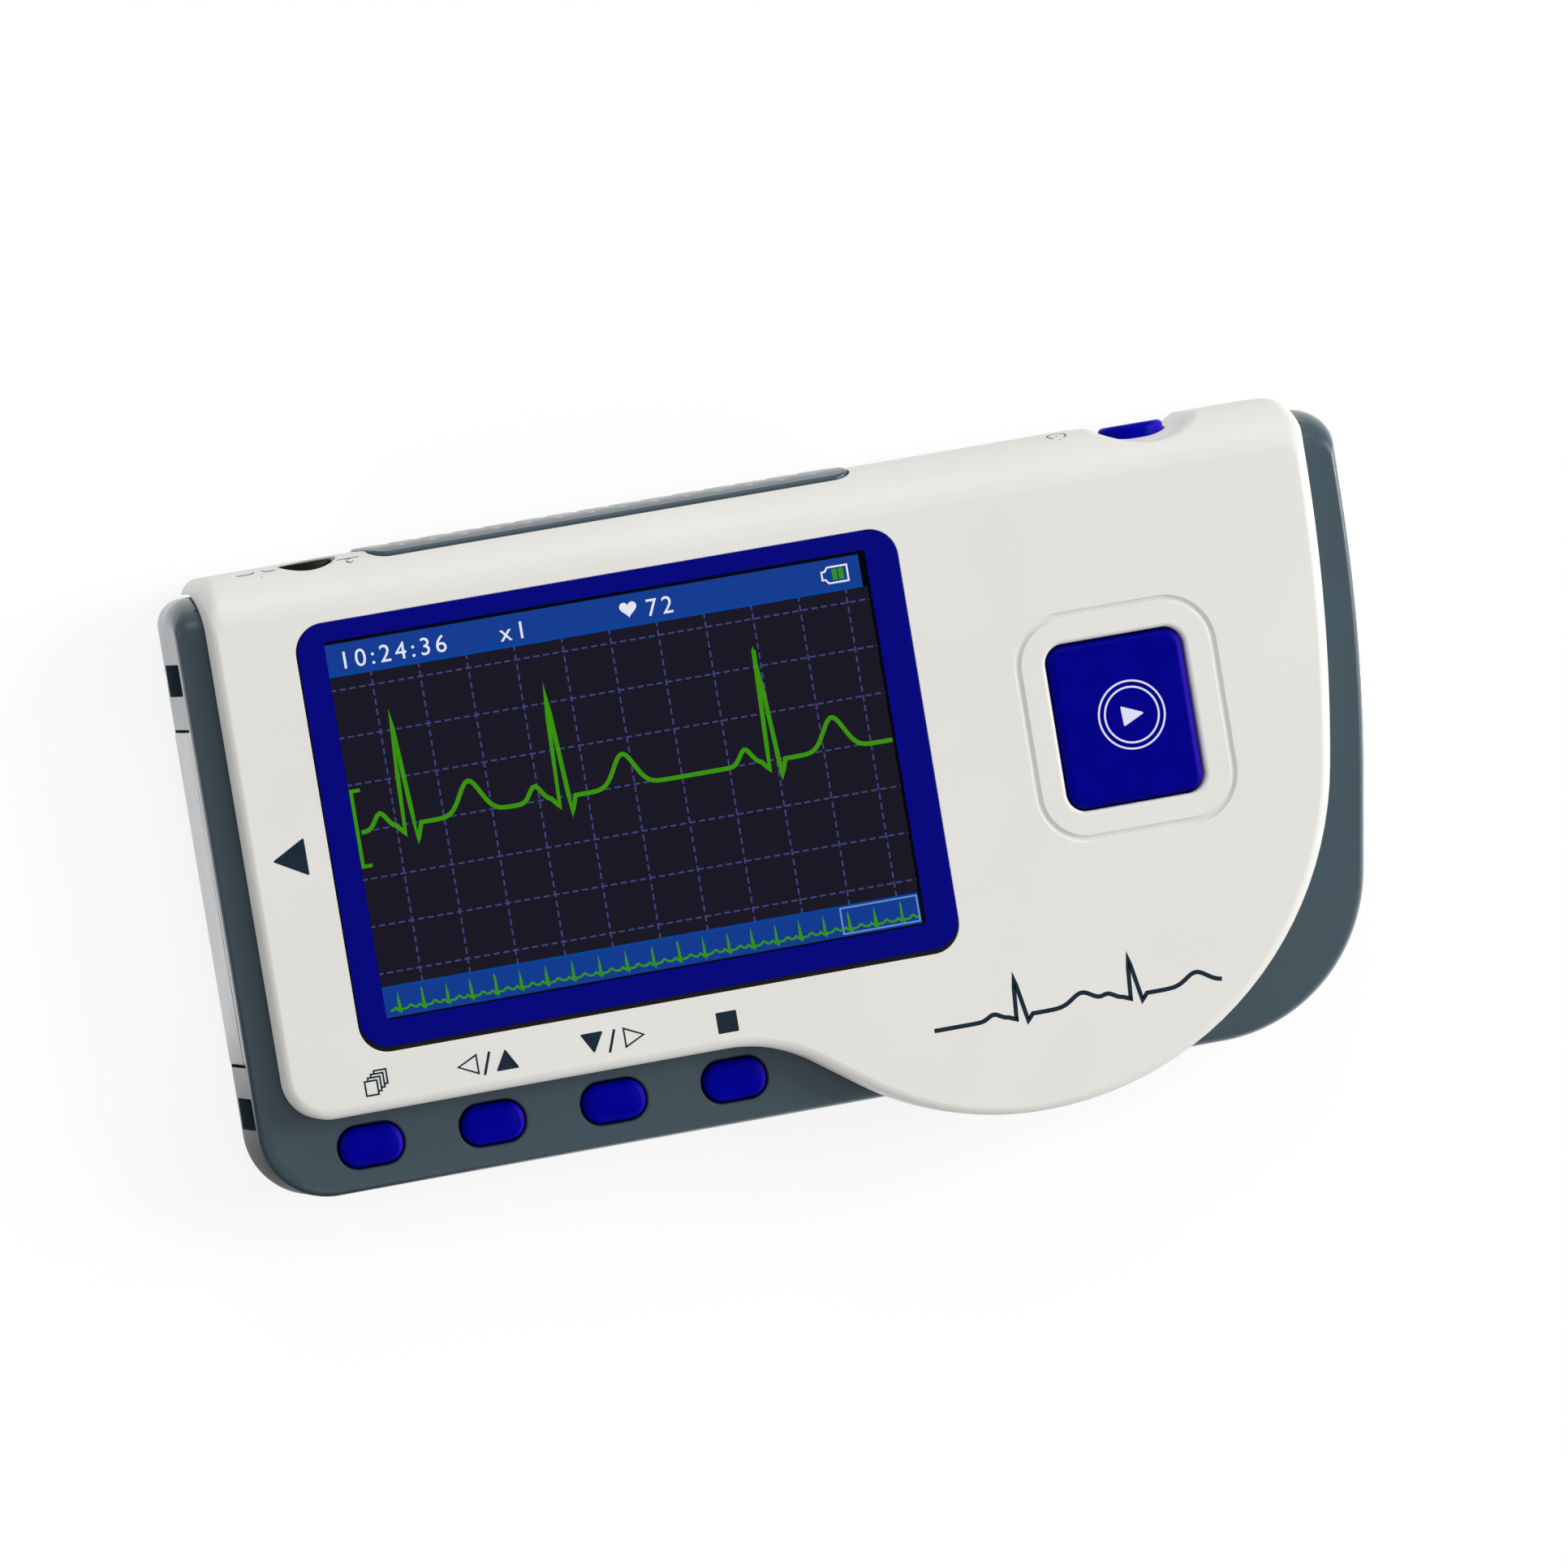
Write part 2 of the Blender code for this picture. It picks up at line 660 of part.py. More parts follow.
def parting_above():
    """The corner of the case that falls away at the top side."""
    line = fallen_shelf(0)
    start, following = line[0], line[1]
    slope = (start[1] - following[1]) / (following[0] - start[0])
    ahead = (start[0] - OVERRUN, start[1] + slope * OVERRUN)
    line = [ahead] + line[1:]
    far = CASE_TOP + OVERRUN
    line += [(far, line[-1][1]), (far, SHELF_Z + OVERRUN), (ahead[0], SHELF_Z + OVERRUN)]
    return slab("above_case", line, CASE_LEFT - OVERRUN, CASE_RIGHT + OVERRUN, axis="X")


def flared_hole(name, corners, low, face, edge):
    """A hole's tool whose mouth opens with a round edge at the face."""
    levels = [(-KEY_GAP, low)]
    levels += [(-KEY_GAP - amount, height) for amount, height in quarter_round(edge, face - edge, 3)]
    levels.append((-KEY_GAP - edge, face + OVERRUN))
    return shaped(name, corners, levels)


def window_box(border, radius):
    return box_corners((WINDOW_X, WINDOW_Y), WINDOW_LENGTH + 2 * border, WINDOW_WIDTH + 2 * border, radius)


def screen_box(border, radius=SMALLEST_RADIUS):
    return box_corners((SCREEN_X, SCREEN_Y), SCREEN_LENGTH + 2 * border, SCREEN_WIDTH + 2 * border, radius)


def start_corners():
    return box_corners((START_X, START_Y), START_LENGTH, START_WIDTH, START_RADIUS)


def row_x(index):
    return CASE_LEFT + ROW_START + index * ROW_PITCH


def row_corners(index):
    radius = ROW_HEIGHT * ROUND_END_SHARE
    return box_corners((row_x(index), ROW_Y), ROW_LENGTH, ROW_HEIGHT, radius)


def power_corners():
    radius = POWER_HEIGHT * ROUND_END_SHARE
    return box_corners((POWER_X, POWER_Z), POWER_LENGTH, POWER_HEIGHT, radius)


def groove_tool():
    """The ring pressed into the cover round the start key, narrower at its floor."""
    corners = box_corners((START_X, START_Y), RING_LENGTH, RING_WIDTH, RING_RADIUS)
    counts = facet_counts(corners)
    floor = FRONT_Z - GROOVE_DEPTH
    levels = (
        (0, FRONT_Z),
        (0, FRONT_Z + OVERRUN),
        (GROOVE_WIDTH, FRONT_Z + OVERRUN),
        (GROOVE_WIDTH, FRONT_Z),
        (GROOVE_WIDTH * 2 / 3, floor),
        (GROOVE_WIDTH / 3, floor),
    )
    rings = []
    for amount, height in levels:
        rings.append([(*point, height) for point in rounded(inset(corners, amount), counts)])
    return loft("groove", rings, closed=True)


def scoop_tool():
    """A flattened ball that hollows the top side round the power button."""
    rise = SCOOP_RISE_SHARE
    run = math.sqrt(1 - rise * rise)
    spring_y = COVER_TOP - TOP_ROUND_REACH
    spring_z = FRONT_Z - TOP_ROUND_DROP
    surface = Vector((POWER_X, spring_y + TOP_ROUND_REACH * run, spring_z + TOP_ROUND_DROP * rise))
    outwards = Vector((0, run / TOP_ROUND_REACH, rise / TOP_ROUND_DROP)).normalized()
    mesh = bmesh.new()
    bmesh.ops.create_uvsphere(mesh, u_segments=32, v_segments=16, radius=1)
    sizes = Matrix.Diagonal((SCOOP_LENGTH / 2, SCOOP_THICKNESS / 2, SCOOP_HEIGHT / 2, 1))
    tilt = Matrix.Rotation(math.atan2(outwards.z, outwards.y), 4, "X")
    place = Matrix.Translation(surface + outwards * SCOOP_OUTSIDE)
    bmesh.ops.transform(mesh, matrix=place @ tilt @ sizes, verts=mesh.verts)
    return solid("scoop", mesh)


def cover_boss(index, place):
    return turned(
        f"cover_boss_{index}",
        [(COVER_BOSS_RADIUS, BOSS_SPLIT_Z + GAP), (COVER_BOSS_RADIUS, SKIN_Z + COVER_SKIN / 2)],
        place,
    )


def make_front_cover(finish):
    cover = cover_form("front_cover", 0, 0, 0, TOP_WALL_BASE, COVER_EDGE, finish)
    low = TOP_WALL_BASE - OVERRUN
    hollow = cover_form("cover_hollow", COVER_WALL, COVER_TOP_WALL, COVER_SKIN, low, SMALLEST_RADIUS)
    cut(cover, hollow, parting_below())
    ledge_low = LEDGE_TOP - LEDGE_THICKNESS
    rim = shaped(
        "window_rim",
        window_box(RIM_WIDTH, WINDOW_RADIUS + RIM_WIDTH),
        [(0, ledge_low), (0, SKIN_Z + COVER_SKIN / 2)],
    )
    bosses = merged("cover_bosses", [cover_boss(i, place) for i, place in enumerate(SCREW_PLACES)])
    join(cover, rim, bosses, *hook_tools())
    pocket = shaped("pocket", window_box(0, WINDOW_RADIUS), [(0, LEDGE_TOP), (0, FRONT_Z + OVERRUN)])
    opening = shaped(
        "ledge_opening",
        screen_box(PANEL_BORDER + GAP),
        [(0, ledge_low - OVERRUN), (0, LEDGE_TOP + OVERRUN / 2)],
    )
    start_hole = flared_hole("start_hole", start_corners(), SKIN_Z - OVERRUN, FRONT_Z, HOLE_EDGE)
    lip_space = slab("lip_space", rounded(lip_outline(GAP)), BAY_TOP, DOOR_TOP + OVERRUN, axis="Y")
    jack_hole = slab(
        "jack_hole",
        circle((JACK_X, JACK_Z), JACK_HOLE_RADIUS),
        BAY_TOP,
        COVER_TOP + OVERRUN,
        axis="Y",
    )
    power_hole = shaped(
        "power_hole",
        power_corners(),
        [(-KEY_GAP, BAY_TOP), (-KEY_GAP, COVER_TOP + OVERRUN)],
        axis="Y",
    )
    pilots = []
    for index, place in enumerate(SCREW_PLACES):
        radius = SCREW_RADIUS + GAP
        profile = [(radius, BOSS_SPLIT_Z), (radius, SCREW_END_Z + GAP)]
        pilots.append(turned(f"pilot_{index}", profile, place))
    cut(cover, pocket, opening, start_hole, groove_tool(), lip_space)
    cut(cover, jack_hole, power_hole, scoop_tool(), merged("pilots", pilots))
    return cover


def hook_tools():
    """The leg under the cover's left wall and the nose that catches in the upper snap window."""
    left = COVER_LEFT + GAP
    middle = SNAP_Y[0]
    half = SNAP_WIDTH / 2 - GAP
    nose_top = SNAP_Z + SNAP_HEIGHT - HOOK_NOSE_DROP
    nose_low = nose_top - HOOK_NOSE
    leg = block(
        "hook_leg",
        (left, middle - half, nose_low),
        (left + HOOK_THICKNESS, middle + half, SHELF_Z + GAP + OVERRUN),
    )
    nose = block(
        "hook_nose",
        (CASE_LEFT + CASE_WALL / 2, middle - half, nose_low),
        (left + HOOK_THICKNESS / 2, middle + half, nose_top),
    )
    return leg, nose


def case_side_x(side, across):
    """The end wall's outer face at one place across the width: straight at the left, an arc at the right."""
    if side < 0:
        return CASE_LEFT
    turn = math.atan2(CASE_TAPER, CASE_TAPER_HEIGHT)
    middle = CASE_BOTTOM + CASE_TAPER_HEIGHT + SIDE_RADIUS * math.tan(turn / 2)
    away = min(0, across - middle)
    return CASE_RIGHT - SIDE_RADIUS + math.sqrt(SIDE_RADIUS * SIDE_RADIUS - away * away)


def plate_points(side, start, length, outer, inner):
    """The outline of a plate that follows an end wall, seen from the front."""
    stations = [start + length * step / PLATE_FACETS for step in range(PLATE_FACETS + 1)]
    points = [(case_side_x(side, across) + side * outer, across) for across in stations]
    points += [(case_side_x(side, across) + side * inner, across) for across in reversed(stations)]
    return points


def plate_span(side):
    start, length = (
        (LEFT_PLATE_START, LEFT_PLATE_LENGTH) if side < 0 else (RIGHT_PLATE_START, RIGHT_PLATE_LENGTH)
    )
    return CASE_BOTTOM + start, length


def tab_box(side, play):
    """The tab from an end plate through the wall, or with play the slot that it passes."""
    start, length = plate_span(side)
    middle = start + length / 2
    wall = case_side_x(side, middle)
    outer = wall + side * (ELECTRODE_STAND - PLATE_THICKNESS / 2)
    inner = wall - side * (TAB_REACH + play)
    half = TAB_WIDTH / 2 + play
    low = (min(outer, inner), middle - half, TAB_Z - play)
    high = (max(outer, inner), middle + half, TAB_Z + TAB_THICKNESS + play)
    return low, high


def make_end_electrode(name, side, finish):
    start, length = plate_span(side)
    low = PLATE_Z
    high = PLATE_Z + PLATE_HEIGHT
    outer = ELECTRODE_STAND
    inner = ELECTRODE_STAND - PLATE_THICKNESS
    face = plate_points(side, start, length, outer, inner)
    edge = plate_points(side, start, length, inner + PLATE_THICKNESS / 2, inner)
    bevel = PLATE_THICKNESS / 2
    rings = [
        [(*point, low) for point in edge],
        [(*point, low + bevel) for point in face],
        [(*point, high - bevel) for point in face],
        [(*point, high) for point in edge],
    ]
    plate = loft(name, rings, finish)
    join(plate, block(f"{name}_tab", *tab_box(side, 0)))
    return plate


def plate_recess(side):
    start, length = plate_span(side)
    depth = PLATE_THICKNESS - ELECTRODE_STAND + GAP
    points = plate_points(side, start - GAP, length + 2 * GAP, OVERRUN, -depth)
    return slab(f"plate_recess_{side}", points, PLATE_Z - GAP, PLATE_Z + PLATE_HEIGHT + GAP)


def leaf_points(centre, low, height, length):
    """A C of thin strip, open towards the first axis."""
    left = centre - length / 2
    right = centre + length / 2
    high = low + height
    return [
        (left, low),
        (right, low),
        (right, low + LEAF_THICKNESS),
        (left + LEAF_THICKNESS, low + LEAF_THICKNESS),
        (left + LEAF_THICKNESS, high - LEAF_THICKNESS),
        (right, high - LEAF_THICKNESS),
        (right, high),
        (left, high),
    ]


def make_end_leaf(name, side, finish):
    low, high = tab_box(side, 0)
    tip = low[0] if side > 0 else high[0]
    centre = tip + side * LEAF_LENGTH / 2
    middle = (low[1] + high[1]) / 2
    points = leaf_points(centre, ON_BOARD, TAB_Z - GAP - ON_BOARD, LEAF_LENGTH)
    return slab(name, points, middle - LEAF_WIDTH / 2, middle + LEAF_WIDTH / 2, finish, axis="Y")


def rear_plate_box(border, low, high):
    half_length = REAR_PLATE_LENGTH / 2 + border
    half_width = REAR_PLATE_WIDTH / 2 + border
    return (
        (REAR_PLATE_X - half_length, REAR_PLATE_Y - half_width, low),
        (REAR_PLATE_X + half_length, REAR_PLATE_Y + half_width, high),
    )


def rear_tab_box(play, low, high):
    half_width = TAB_WIDTH / 2 + play
    half_thickness = TAB_THICKNESS / 2 + play
    return (
        (REAR_PLATE_X - half_width, REAR_PLATE_Y - half_thickness, low),
        (REAR_PLATE_X + half_width, REAR_PLATE_Y + half_thickness, high),
    )


def rear_tab_top():
    return FLOOR + BOARD_THICKNESS


def make_rear_electrode(finish):
    top = REAR_PLATE_SINK + REAR_PLATE_THICKNESS
    corners = box_corners(
        (REAR_PLATE_X, REAR_PLATE_Y), REAR_PLATE_LENGTH, REAR_PLATE_WIDTH, PLATE_CORNER
    )
    bevel = REAR_PLATE_THICKNESS / 2
    plate = shaped(
        "rear_electrode",
        corners,
        [(bevel, REAR_PLATE_SINK), (0, REAR_PLATE_SINK + bevel), (0, top)],
        finish,
    )
    tab = block("rear_tab", *rear_tab_box(0, top - bevel / 2, rear_tab_top()))
    join(plate, tab)
    return plate


def make_rear_leaf(finish):
    low = rear_tab_top() + GAP
    points = leaf_points(REAR_PLATE_X, low, BOARD_Z - GAP - low, LEAF_LENGTH)
    half = LEAF_WIDTH / 2
    return slab("rear_contact", points, REAR_PLATE_Y - half, REAR_PLATE_Y + half, finish, axis="Y")


def bay_section(wall):
    """The battery bay across the cells, with round corners over them; wall makes its outside."""
    low = BAY_BOTTOM - wall
    high = BAY_TOP + min(wall, CASE_TOP_WALL / 2)
    top = BAY_CEILING + wall
    radius = CELL_DIAMETER / 2 + CELL_PLAY + wall
    floor = FLOOR / 2 if wall else -OVERRUN
    corners = [
        (low, floor, SMALLEST_RADIUS),
        (high, floor, SMALLEST_RADIUS),
        (high, top, radius),
        (low, top, radius),
    ]
    return rounded(corners)


def lip_curve(reach, drop, top):
    """(y, z) points up the door lip: upright, then along the top side's ellipse to a height."""
    spring_y = COVER_TOP - TOP_ROUND_REACH
    spring_z = FRONT_Z - TOP_ROUND_DROP
    end = math.asin((top - spring_z) / drop)
    points = []
    for step in range(7):
        angle = end * step / 6
        points.append((spring_y + reach * math.cos(angle), spring_z + drop * math.sin(angle)))
    return points


def lip_top():
    return FRONT_Z - TOP_ROUND_DROP + TOP_ROUND_DROP * LIP_RISE_SHARE


def lip_outline(border):
    """The lip's outline from the top side, with round upper corners; its lower end passes the back."""
    left = DOOR_LEFT - border
    right = DOOR_RIGHT + border
    top = lip_top() + border
    return [
        (left, -OVERRUN, SMALLEST_RADIUS),
        (right, -OVERRUN, SMALLEST_RADIUS),
        (right, top, LIP_CORNER + border),
        (left, top, LIP_CORNER + border),
    ]


def make_battery_door(finish):
    """One bent section along X: the plate under the cells, the upright lip and its curled top."""
    past_top = lip_top() + OVERRUN / 2
    outer = lip_curve(TOP_ROUND_REACH + DOOR_STAND, TOP_ROUND_DROP + DOOR_STAND, past_top)
    inner = lip_curve(TOP_ROUND_REACH - COVER_TOP_WALL, TOP_ROUND_DROP - COVER_SKIN, past_top)
    section = [(DOOR_BOTTOM, 0)]
    for amount, height in quarter_round(DOOR_ROUND, 0, 5):
        section.append((DOOR_TOP - DOOR_ROUND + height, amount))
    section += outer + list(reversed(inner)) + [(inner[0][0], DOOR_THICKNESS)]
    section.append((DOOR_BOTTOM, DOOR_THICKNESS))
    door = slab("battery_door", section, DOOR_LEFT - OVERRUN, DOOR_RIGHT + OVERRUN, finish, axis="X")
    outline = rounded(lip_outline(0))
    keep(door, slab("door_outline", outline, DOOR_BOTTOM - OVERRUN, DOOR_TOP + OVERRUN, axis="Y"))
    for side, wall in ((-1, BAY_LEFT), (1, BAY_RIGHT)):
        join(door, rail_tool(side, wall))
    cut(door, *grip_tools())
    origin_at(door, (WINDOW_X, BAY_TOP, DOOR_THICKNESS))
    return door


def rail_tool(side, wall):
    """The door's rail along one end of the bay: a leg inside the bay and a foot out over the rim."""
    low = BAY_BOTTOM + RAIL_SETBACK
    high = BAY_TOP - GAP
    near = wall - side * GAP
    far = near - side * RAIL_WALL
    out = wall + side * RAIL_FOOT
    top = RAIL_Z + RAIL_FOOT_THICKNESS
    outline = [
        (far, DOOR_THICKNESS / 2),
        (near, DOOR_THICKNESS / 2),
        (near, RAIL_Z),
        (out, RAIL_Z),
        (out, top),
        (far, top),
    ]
    return slab(f"rail_{side}", outline, low, high, axis="Y")


def rail_groove(side, wall):
    out = wall + side * (RAIL_FOOT + GAP)
    into = wall - side * (GAP + RAIL_WALL + GAP)
    return block(
        f"rail_groove_{side}",
        (min(out, into), BAY_BOTTOM + STEP, RAIL_Z - GAP),
        (max(out, into), CASE_TOP + OVERRUN, RAIL_Z + RAIL_FOOT_THICKNESS + GAP),
    )


def rail_gate(side, wall):
    """The way out for a rail's leg, through the bay's top wall."""
    near = wall - side * STEP
    into = wall - side * (GAP + RAIL_WALL + GAP)
    return block(
        f"rail_gate_{side}",
        (min(near, into), BAY_TOP - OVERRUN, -OVERRUN),
        (max(near, into), CASE_TOP + OVERRUN, RAIL_Z),
    )


def grip_tools():
    """Shallow upright grooves for a thumb nail, all along the lip."""
    middle = (DOOR_LEFT + DOOR_RIGHT) / 2
    low = 0
    high = FRONT_Z - TOP_ROUND_DROP + GRIP_RISE
    tools = []
    for index in range(GRIP_COUNT):
        centre = middle + (index - (GRIP_COUNT - 1) / 2) * GRIP_PITCH
        radius = GRIP_WIDTH * ROUND_END_SHARE
        corners = box_corners((centre, (low + high) / 2), GRIP_WIDTH, high - low, radius)
        levels = [(0, DOOR_TOP - GRIP_DEPTH), (0, DOOR_TOP + OVERRUN)]
        tools.append(shaped(f"grip_{index}", corners, levels, axis="Y"))
    return [merged("grips", tools)]


def make_rear_case(finish):
    corners = case_corners()
    back_round = quarter_round(CASE_BACK_ROUND, 0, 5)
    levels = [(amount, CASE_BACK_ROUND - height) for amount, height in reversed(back_round)]
    levels += quarter_round(SHELF_ROUND, SHELF_Z - SHELF_ROUND, 4)
    case = shaped("rear_case", corners, levels, finish)
    hollow_round = CASE_BACK_ROUND - CASE_WALL
    amounts = [CASE_WALL] * len(corners)
    amounts[edges_by_height(corners)[-1]] = CASE_TOP_WALL
    hollow = shaped(
        "case_hollow",
        inset(corners, amounts),
        [(hollow_round, FLOOR), (0, FLOOR + hollow_round), (0, SHELF_Z - CASE_WALL)],
    )
    mouth_amounts = [COVER_WALL] * len(cover_corners())
    cover_edges = edges_by_height(cover_corners())
    mouth_amounts[cover_edges[0]] = CASE_BOTTOM + CASE_WALL - BULGE_BOTTOM + STEP
    mouth_amounts[cover_edges[-1]] = COVER_TOP - CASE_TOP + CASE_TOP_WALL + STEP
    mouth = shaped(
        "mouth",
        inset(cover_corners(), mouth_amounts),
        [(0, SHELF_Z - CASE_WALL - OVERRUN), (0, SHELF_Z + OVERRUN)],
    )
    relief = block(
        "relief",
        (COVER_LEFT + RELIEF_INSET, BAY_TOP - OVERRUN, RELIEF_Z),
        (COVER_RIGHT - RELIEF_INSET, CASE_TOP + OVERRUN, SHELF_Z + OVERRUN),
    )
    cut(case, parting_above(), hollow, mouth, relief)
    tongue = shaped(
        "tongue",
        inset(cover_corners(), TONGUE_INSET),
        [(0, SHELF_Z - TONGUE_THICKNESS), (0, SHELF_Z - STEP)],
    )
    keep(
        tongue,
        block(
            "tongue_part",
            (CASE_LEFT, BULGE_BOTTOM - OVERRUN, 0),
            (CASE_RIGHT, CASE_BOTTOM + TONGUE_OVERLAP, FRONT_Z),
        ),
    )
    bay = slab(
        "bay_walls", bay_section(BAY_WALL), BAY_LEFT - BAY_WALL, BAY_RIGHT + BAY_WALL, axis="X"
    )
    rim = block(
        "door_rim",
        (DOOR_LEFT - GAP - BAY_WALL, DOOR_BOTTOM - GAP - BAY_WALL, FLOOR / 2),
        (DOOR_RIGHT + GAP + BAY_WALL, BAY_TOP + CASE_TOP_WALL / 2, RIM_HEIGHT),
    )
    join(case, tongue, bay, rim, *case_bosses())
    cells = slab("bay_hollow", bay_section(0), BAY_LEFT, BAY_RIGHT, axis="X")
    door_space = block(
        "door_space",
        (DOOR_LEFT - GAP, DOOR_BOTTOM - GAP, -OVERRUN),
        (DOOR_RIGHT + GAP, CASE_TOP + OVERRUN, DOOR_THICKNESS + GAP),
    )
    cut(case, cells, door_space)
    for side, wall in ((-1, BAY_LEFT), (1, BAY_RIGHT)):
        cut(case, rail_groove(side, wall), rail_gate(side, wall))
        cut(case, plate_recess(side), block(f"tab_slot_{side}", *tab_box(side, GAP)))
    row_low = SHELF_Z - CASE_WALL - OVERRUN
    row_holes = [
        flared_hole(f"{name}_hole", row_corners(index), row_low, SHELF_Z, ROW_HOLE_EDGE)
        for index, name in enumerate(ROW_KEYS)
    ]
    cut(case, merged("row_holes", row_holes), merged("snap_windows", snap_windows()), hook_notch())
    cut(case, *screw_tools())
    recess_top = REAR_PLATE_SINK + REAR_PLATE_THICKNESS + GAP
    cut(case, block("rear_recess", *rear_plate_box(GAP, -OVERRUN, recess_top)))
    cut(case, block("rear_slot", *rear_tab_box(GAP, 0, FLOOR + OVERRUN)))
    return case


def snap_windows():
    windows = []
    for index, middle in enumerate(SNAP_Y):
        low = (CASE_LEFT - OVERRUN, middle - SNAP_WIDTH / 2, SNAP_Z)
        high = (CASE_LEFT + CASE_WALL + OVERRUN, middle + SNAP_WIDTH / 2, SNAP_Z + SNAP_HEIGHT)
        windows.append(block(f"snap_window_{index}", low, high))
    return windows


def hook_notch():
    half = SNAP_WIDTH / 2
    return block(
        "hook_notch",
        (COVER_LEFT, SNAP_Y[0] - half, SHELF_Z - CASE_WALL - OVERRUN),
        (COVER_LEFT + COVER_WALL + OVERRUN, SNAP_Y[0] + half, SHELF_Z + OVERRUN),
    )


def case_bosses():
    """A wide foot that the board rests on and a pin that passes through it, for each screw."""
    tools = []
    for index, place in enumerate(SCREW_PLACES):
        profile = [
            (BOSS_RADIUS, FLOOR / 2),
            (BOSS_RADIUS, BOARD_Z - GAP),
            (BOSS_PIN_RADIUS, BOARD_Z - GAP),
            (BOSS_PIN_RADIUS, BOSS_SPLIT_Z),
        ]
        tools.append(turned(f"case_boss_{index}", profile, place))
    return [merged("case_bosses", tools)]


def screw_tools():
    tools = []
    head_top = SCREW_SINK + SCREW_HEAD_HEIGHT + GAP
    for index, place in enumerate(SCREW_PLACES):
        profile = [
            (SCREW_HEAD_RADIUS + GAP, -OVERRUN),
            (SCREW_HEAD_RADIUS + GAP, head_top),
            (SCREW_RADIUS + GAP, head_top),
            (SCREW_RADIUS + GAP, BOSS_SPLIT_Z + OVERRUN),
        ]
        tools.append(turned(f"screw_hole_{index}", profile, place))
    return [merged("screw_holes", tools)]


def make_screw(index, place, finish):
    """A pan head screw with a cross cut in its head, which faces down."""
    head_top = SCREW_SINK + SCREW_HEAD_HEIGHT
    chamfer = SCREW_HEAD_HEIGHT / 4
    profile = [
        (SCREW_HEAD_RADIUS - chamfer, SCREW_SINK),
        (SCREW_HEAD_RADIUS, SCREW_SINK + chamfer),
        (SCREW_HEAD_RADIUS, head_top),
        (SCREW_RADIUS, head_top),
        (SCREW_RADIUS, SCREW_END_Z - SCREW_RADIUS),
        (SCREW_RADIUS / 2, SCREW_END_Z),
    ]
    screw = turned(f"case_screw_{index}", profile, place, finish=finish)
    arm = SCREW_HEAD_RADIUS * 2 / 3
    half = SCREW_SLOT / 2
    depth = SCREW_SINK + SCREW_HEAD_HEIGHT / 2
    x, y = place
    outline = [
        (x - arm, y - half),
        (x - half, y - half),
        (x - half, y - arm),
        (x + half, y - arm),
        (x + half, y - half),
        (x + arm, y - half),
        (x + arm, y + half),
        (x + half, y + half),
        (x + half, y + arm),
        (x - half, y + arm),
        (x - half, y + half),
        (x - arm, y + half),
    ]
    cut(screw, slab(f"screw_cross_{index}", outline, SCREW_SINK - OVERRUN, depth))
    return screw


def make_screen(finishes):
    """The pane, its printed border, the display and the light tray under it."""
    pane_edge = [(0, PANE_Z), (0, FRONT_Z + PANE_STAND - KEY_GAP), (KEY_GAP, FRONT_Z + PANE_STAND)]
    shaped("screen_lens", window_box(-GAP, WINDOW_RADIUS - GAP), pane_edge, finishes["clear"])
    mask = shaped(
        "window_mask",
        window_box(-GAP, WINDOW_RADIUS - GAP),
        [(0, MASK_Z), (0, MASK_Z + MASK_THICKNESS)],
        finishes["blue"],
    )
    cut(mask, shaped("screen_opening", screen_box(0), [(0, MASK_Z - OVERRUN), (0, PANE_Z + OVERRUN)]))
    panel_levels = [(0, PANEL_Z), (0, PANEL_Z + PANEL_THICKNESS)]
    shaped("lcd_panel", screen_box(PANEL_BORDER), panel_levels, finishes["glass"])
    tray_levels = [(0, TRAY_Z), (0, TRAY_Z + TRAY_THICKNESS)]
    shaped("backlight_tray", screen_box(PANEL_BORDER + TRAY_BORDER), tray_levels, finishes["white"])


def make_flex(finishes):
    """The display's flat cable, bent back under it to a connector on the board."""
    edge = SCREEN_Y - SCREEN_WIDTH / 2 - PANEL_BORDER
    bend = edge - TRAY_BORDER - FLEX_OVERHANG
    high = PANEL_Z + FLEX_THICKNESS / 2
    low = ON_BOARD + CONNECTOR_HEIGHT / 2
    radius = (high - low) / 2
    centre = (high + low) / 2
    path = [(edge - GAP, high), (bend, high)]
    path += [
        (bend - radius * math.sin(math.pi * step / 10), centre + radius * math.cos(math.pi * step / 10))
        for step in range(1, 10)
    ]
    path += [(bend, low), (bend + FLEX_TAIL, low)]
    outer, inner = [], []
    for index, place in enumerate(path):
        before = Vector(path[max(0, index - 1)])
        after = Vector(path[min(len(path) - 1, index + 1)])
        heading = (after - before).normalized()
        normal = Vector((-heading.y, heading.x)) * FLEX_THICKNESS / 2
        outer.append(tuple(Vector(place) + normal))
        inner.append(tuple(Vector(place) - normal))
    left = SCREEN_X - FLEX_WIDTH / 2
    right = SCREEN_X + FLEX_WIDTH / 2
    slab("display_flex", outer + list(reversed(inner)), left, right, finishes["film"], axis="X")
    start = bend + FLEX_TAIL + GAP
    block(
        "flex_connector",
        (left - BAY_WALL, start, ON_BOARD),
        (right + BAY_WALL, start + CONNECTOR_DEPTH, ON_BOARD + CONNECTOR_HEIGHT),
        finishes["white"],
    )
    return start + CONNECTOR_DEPTH


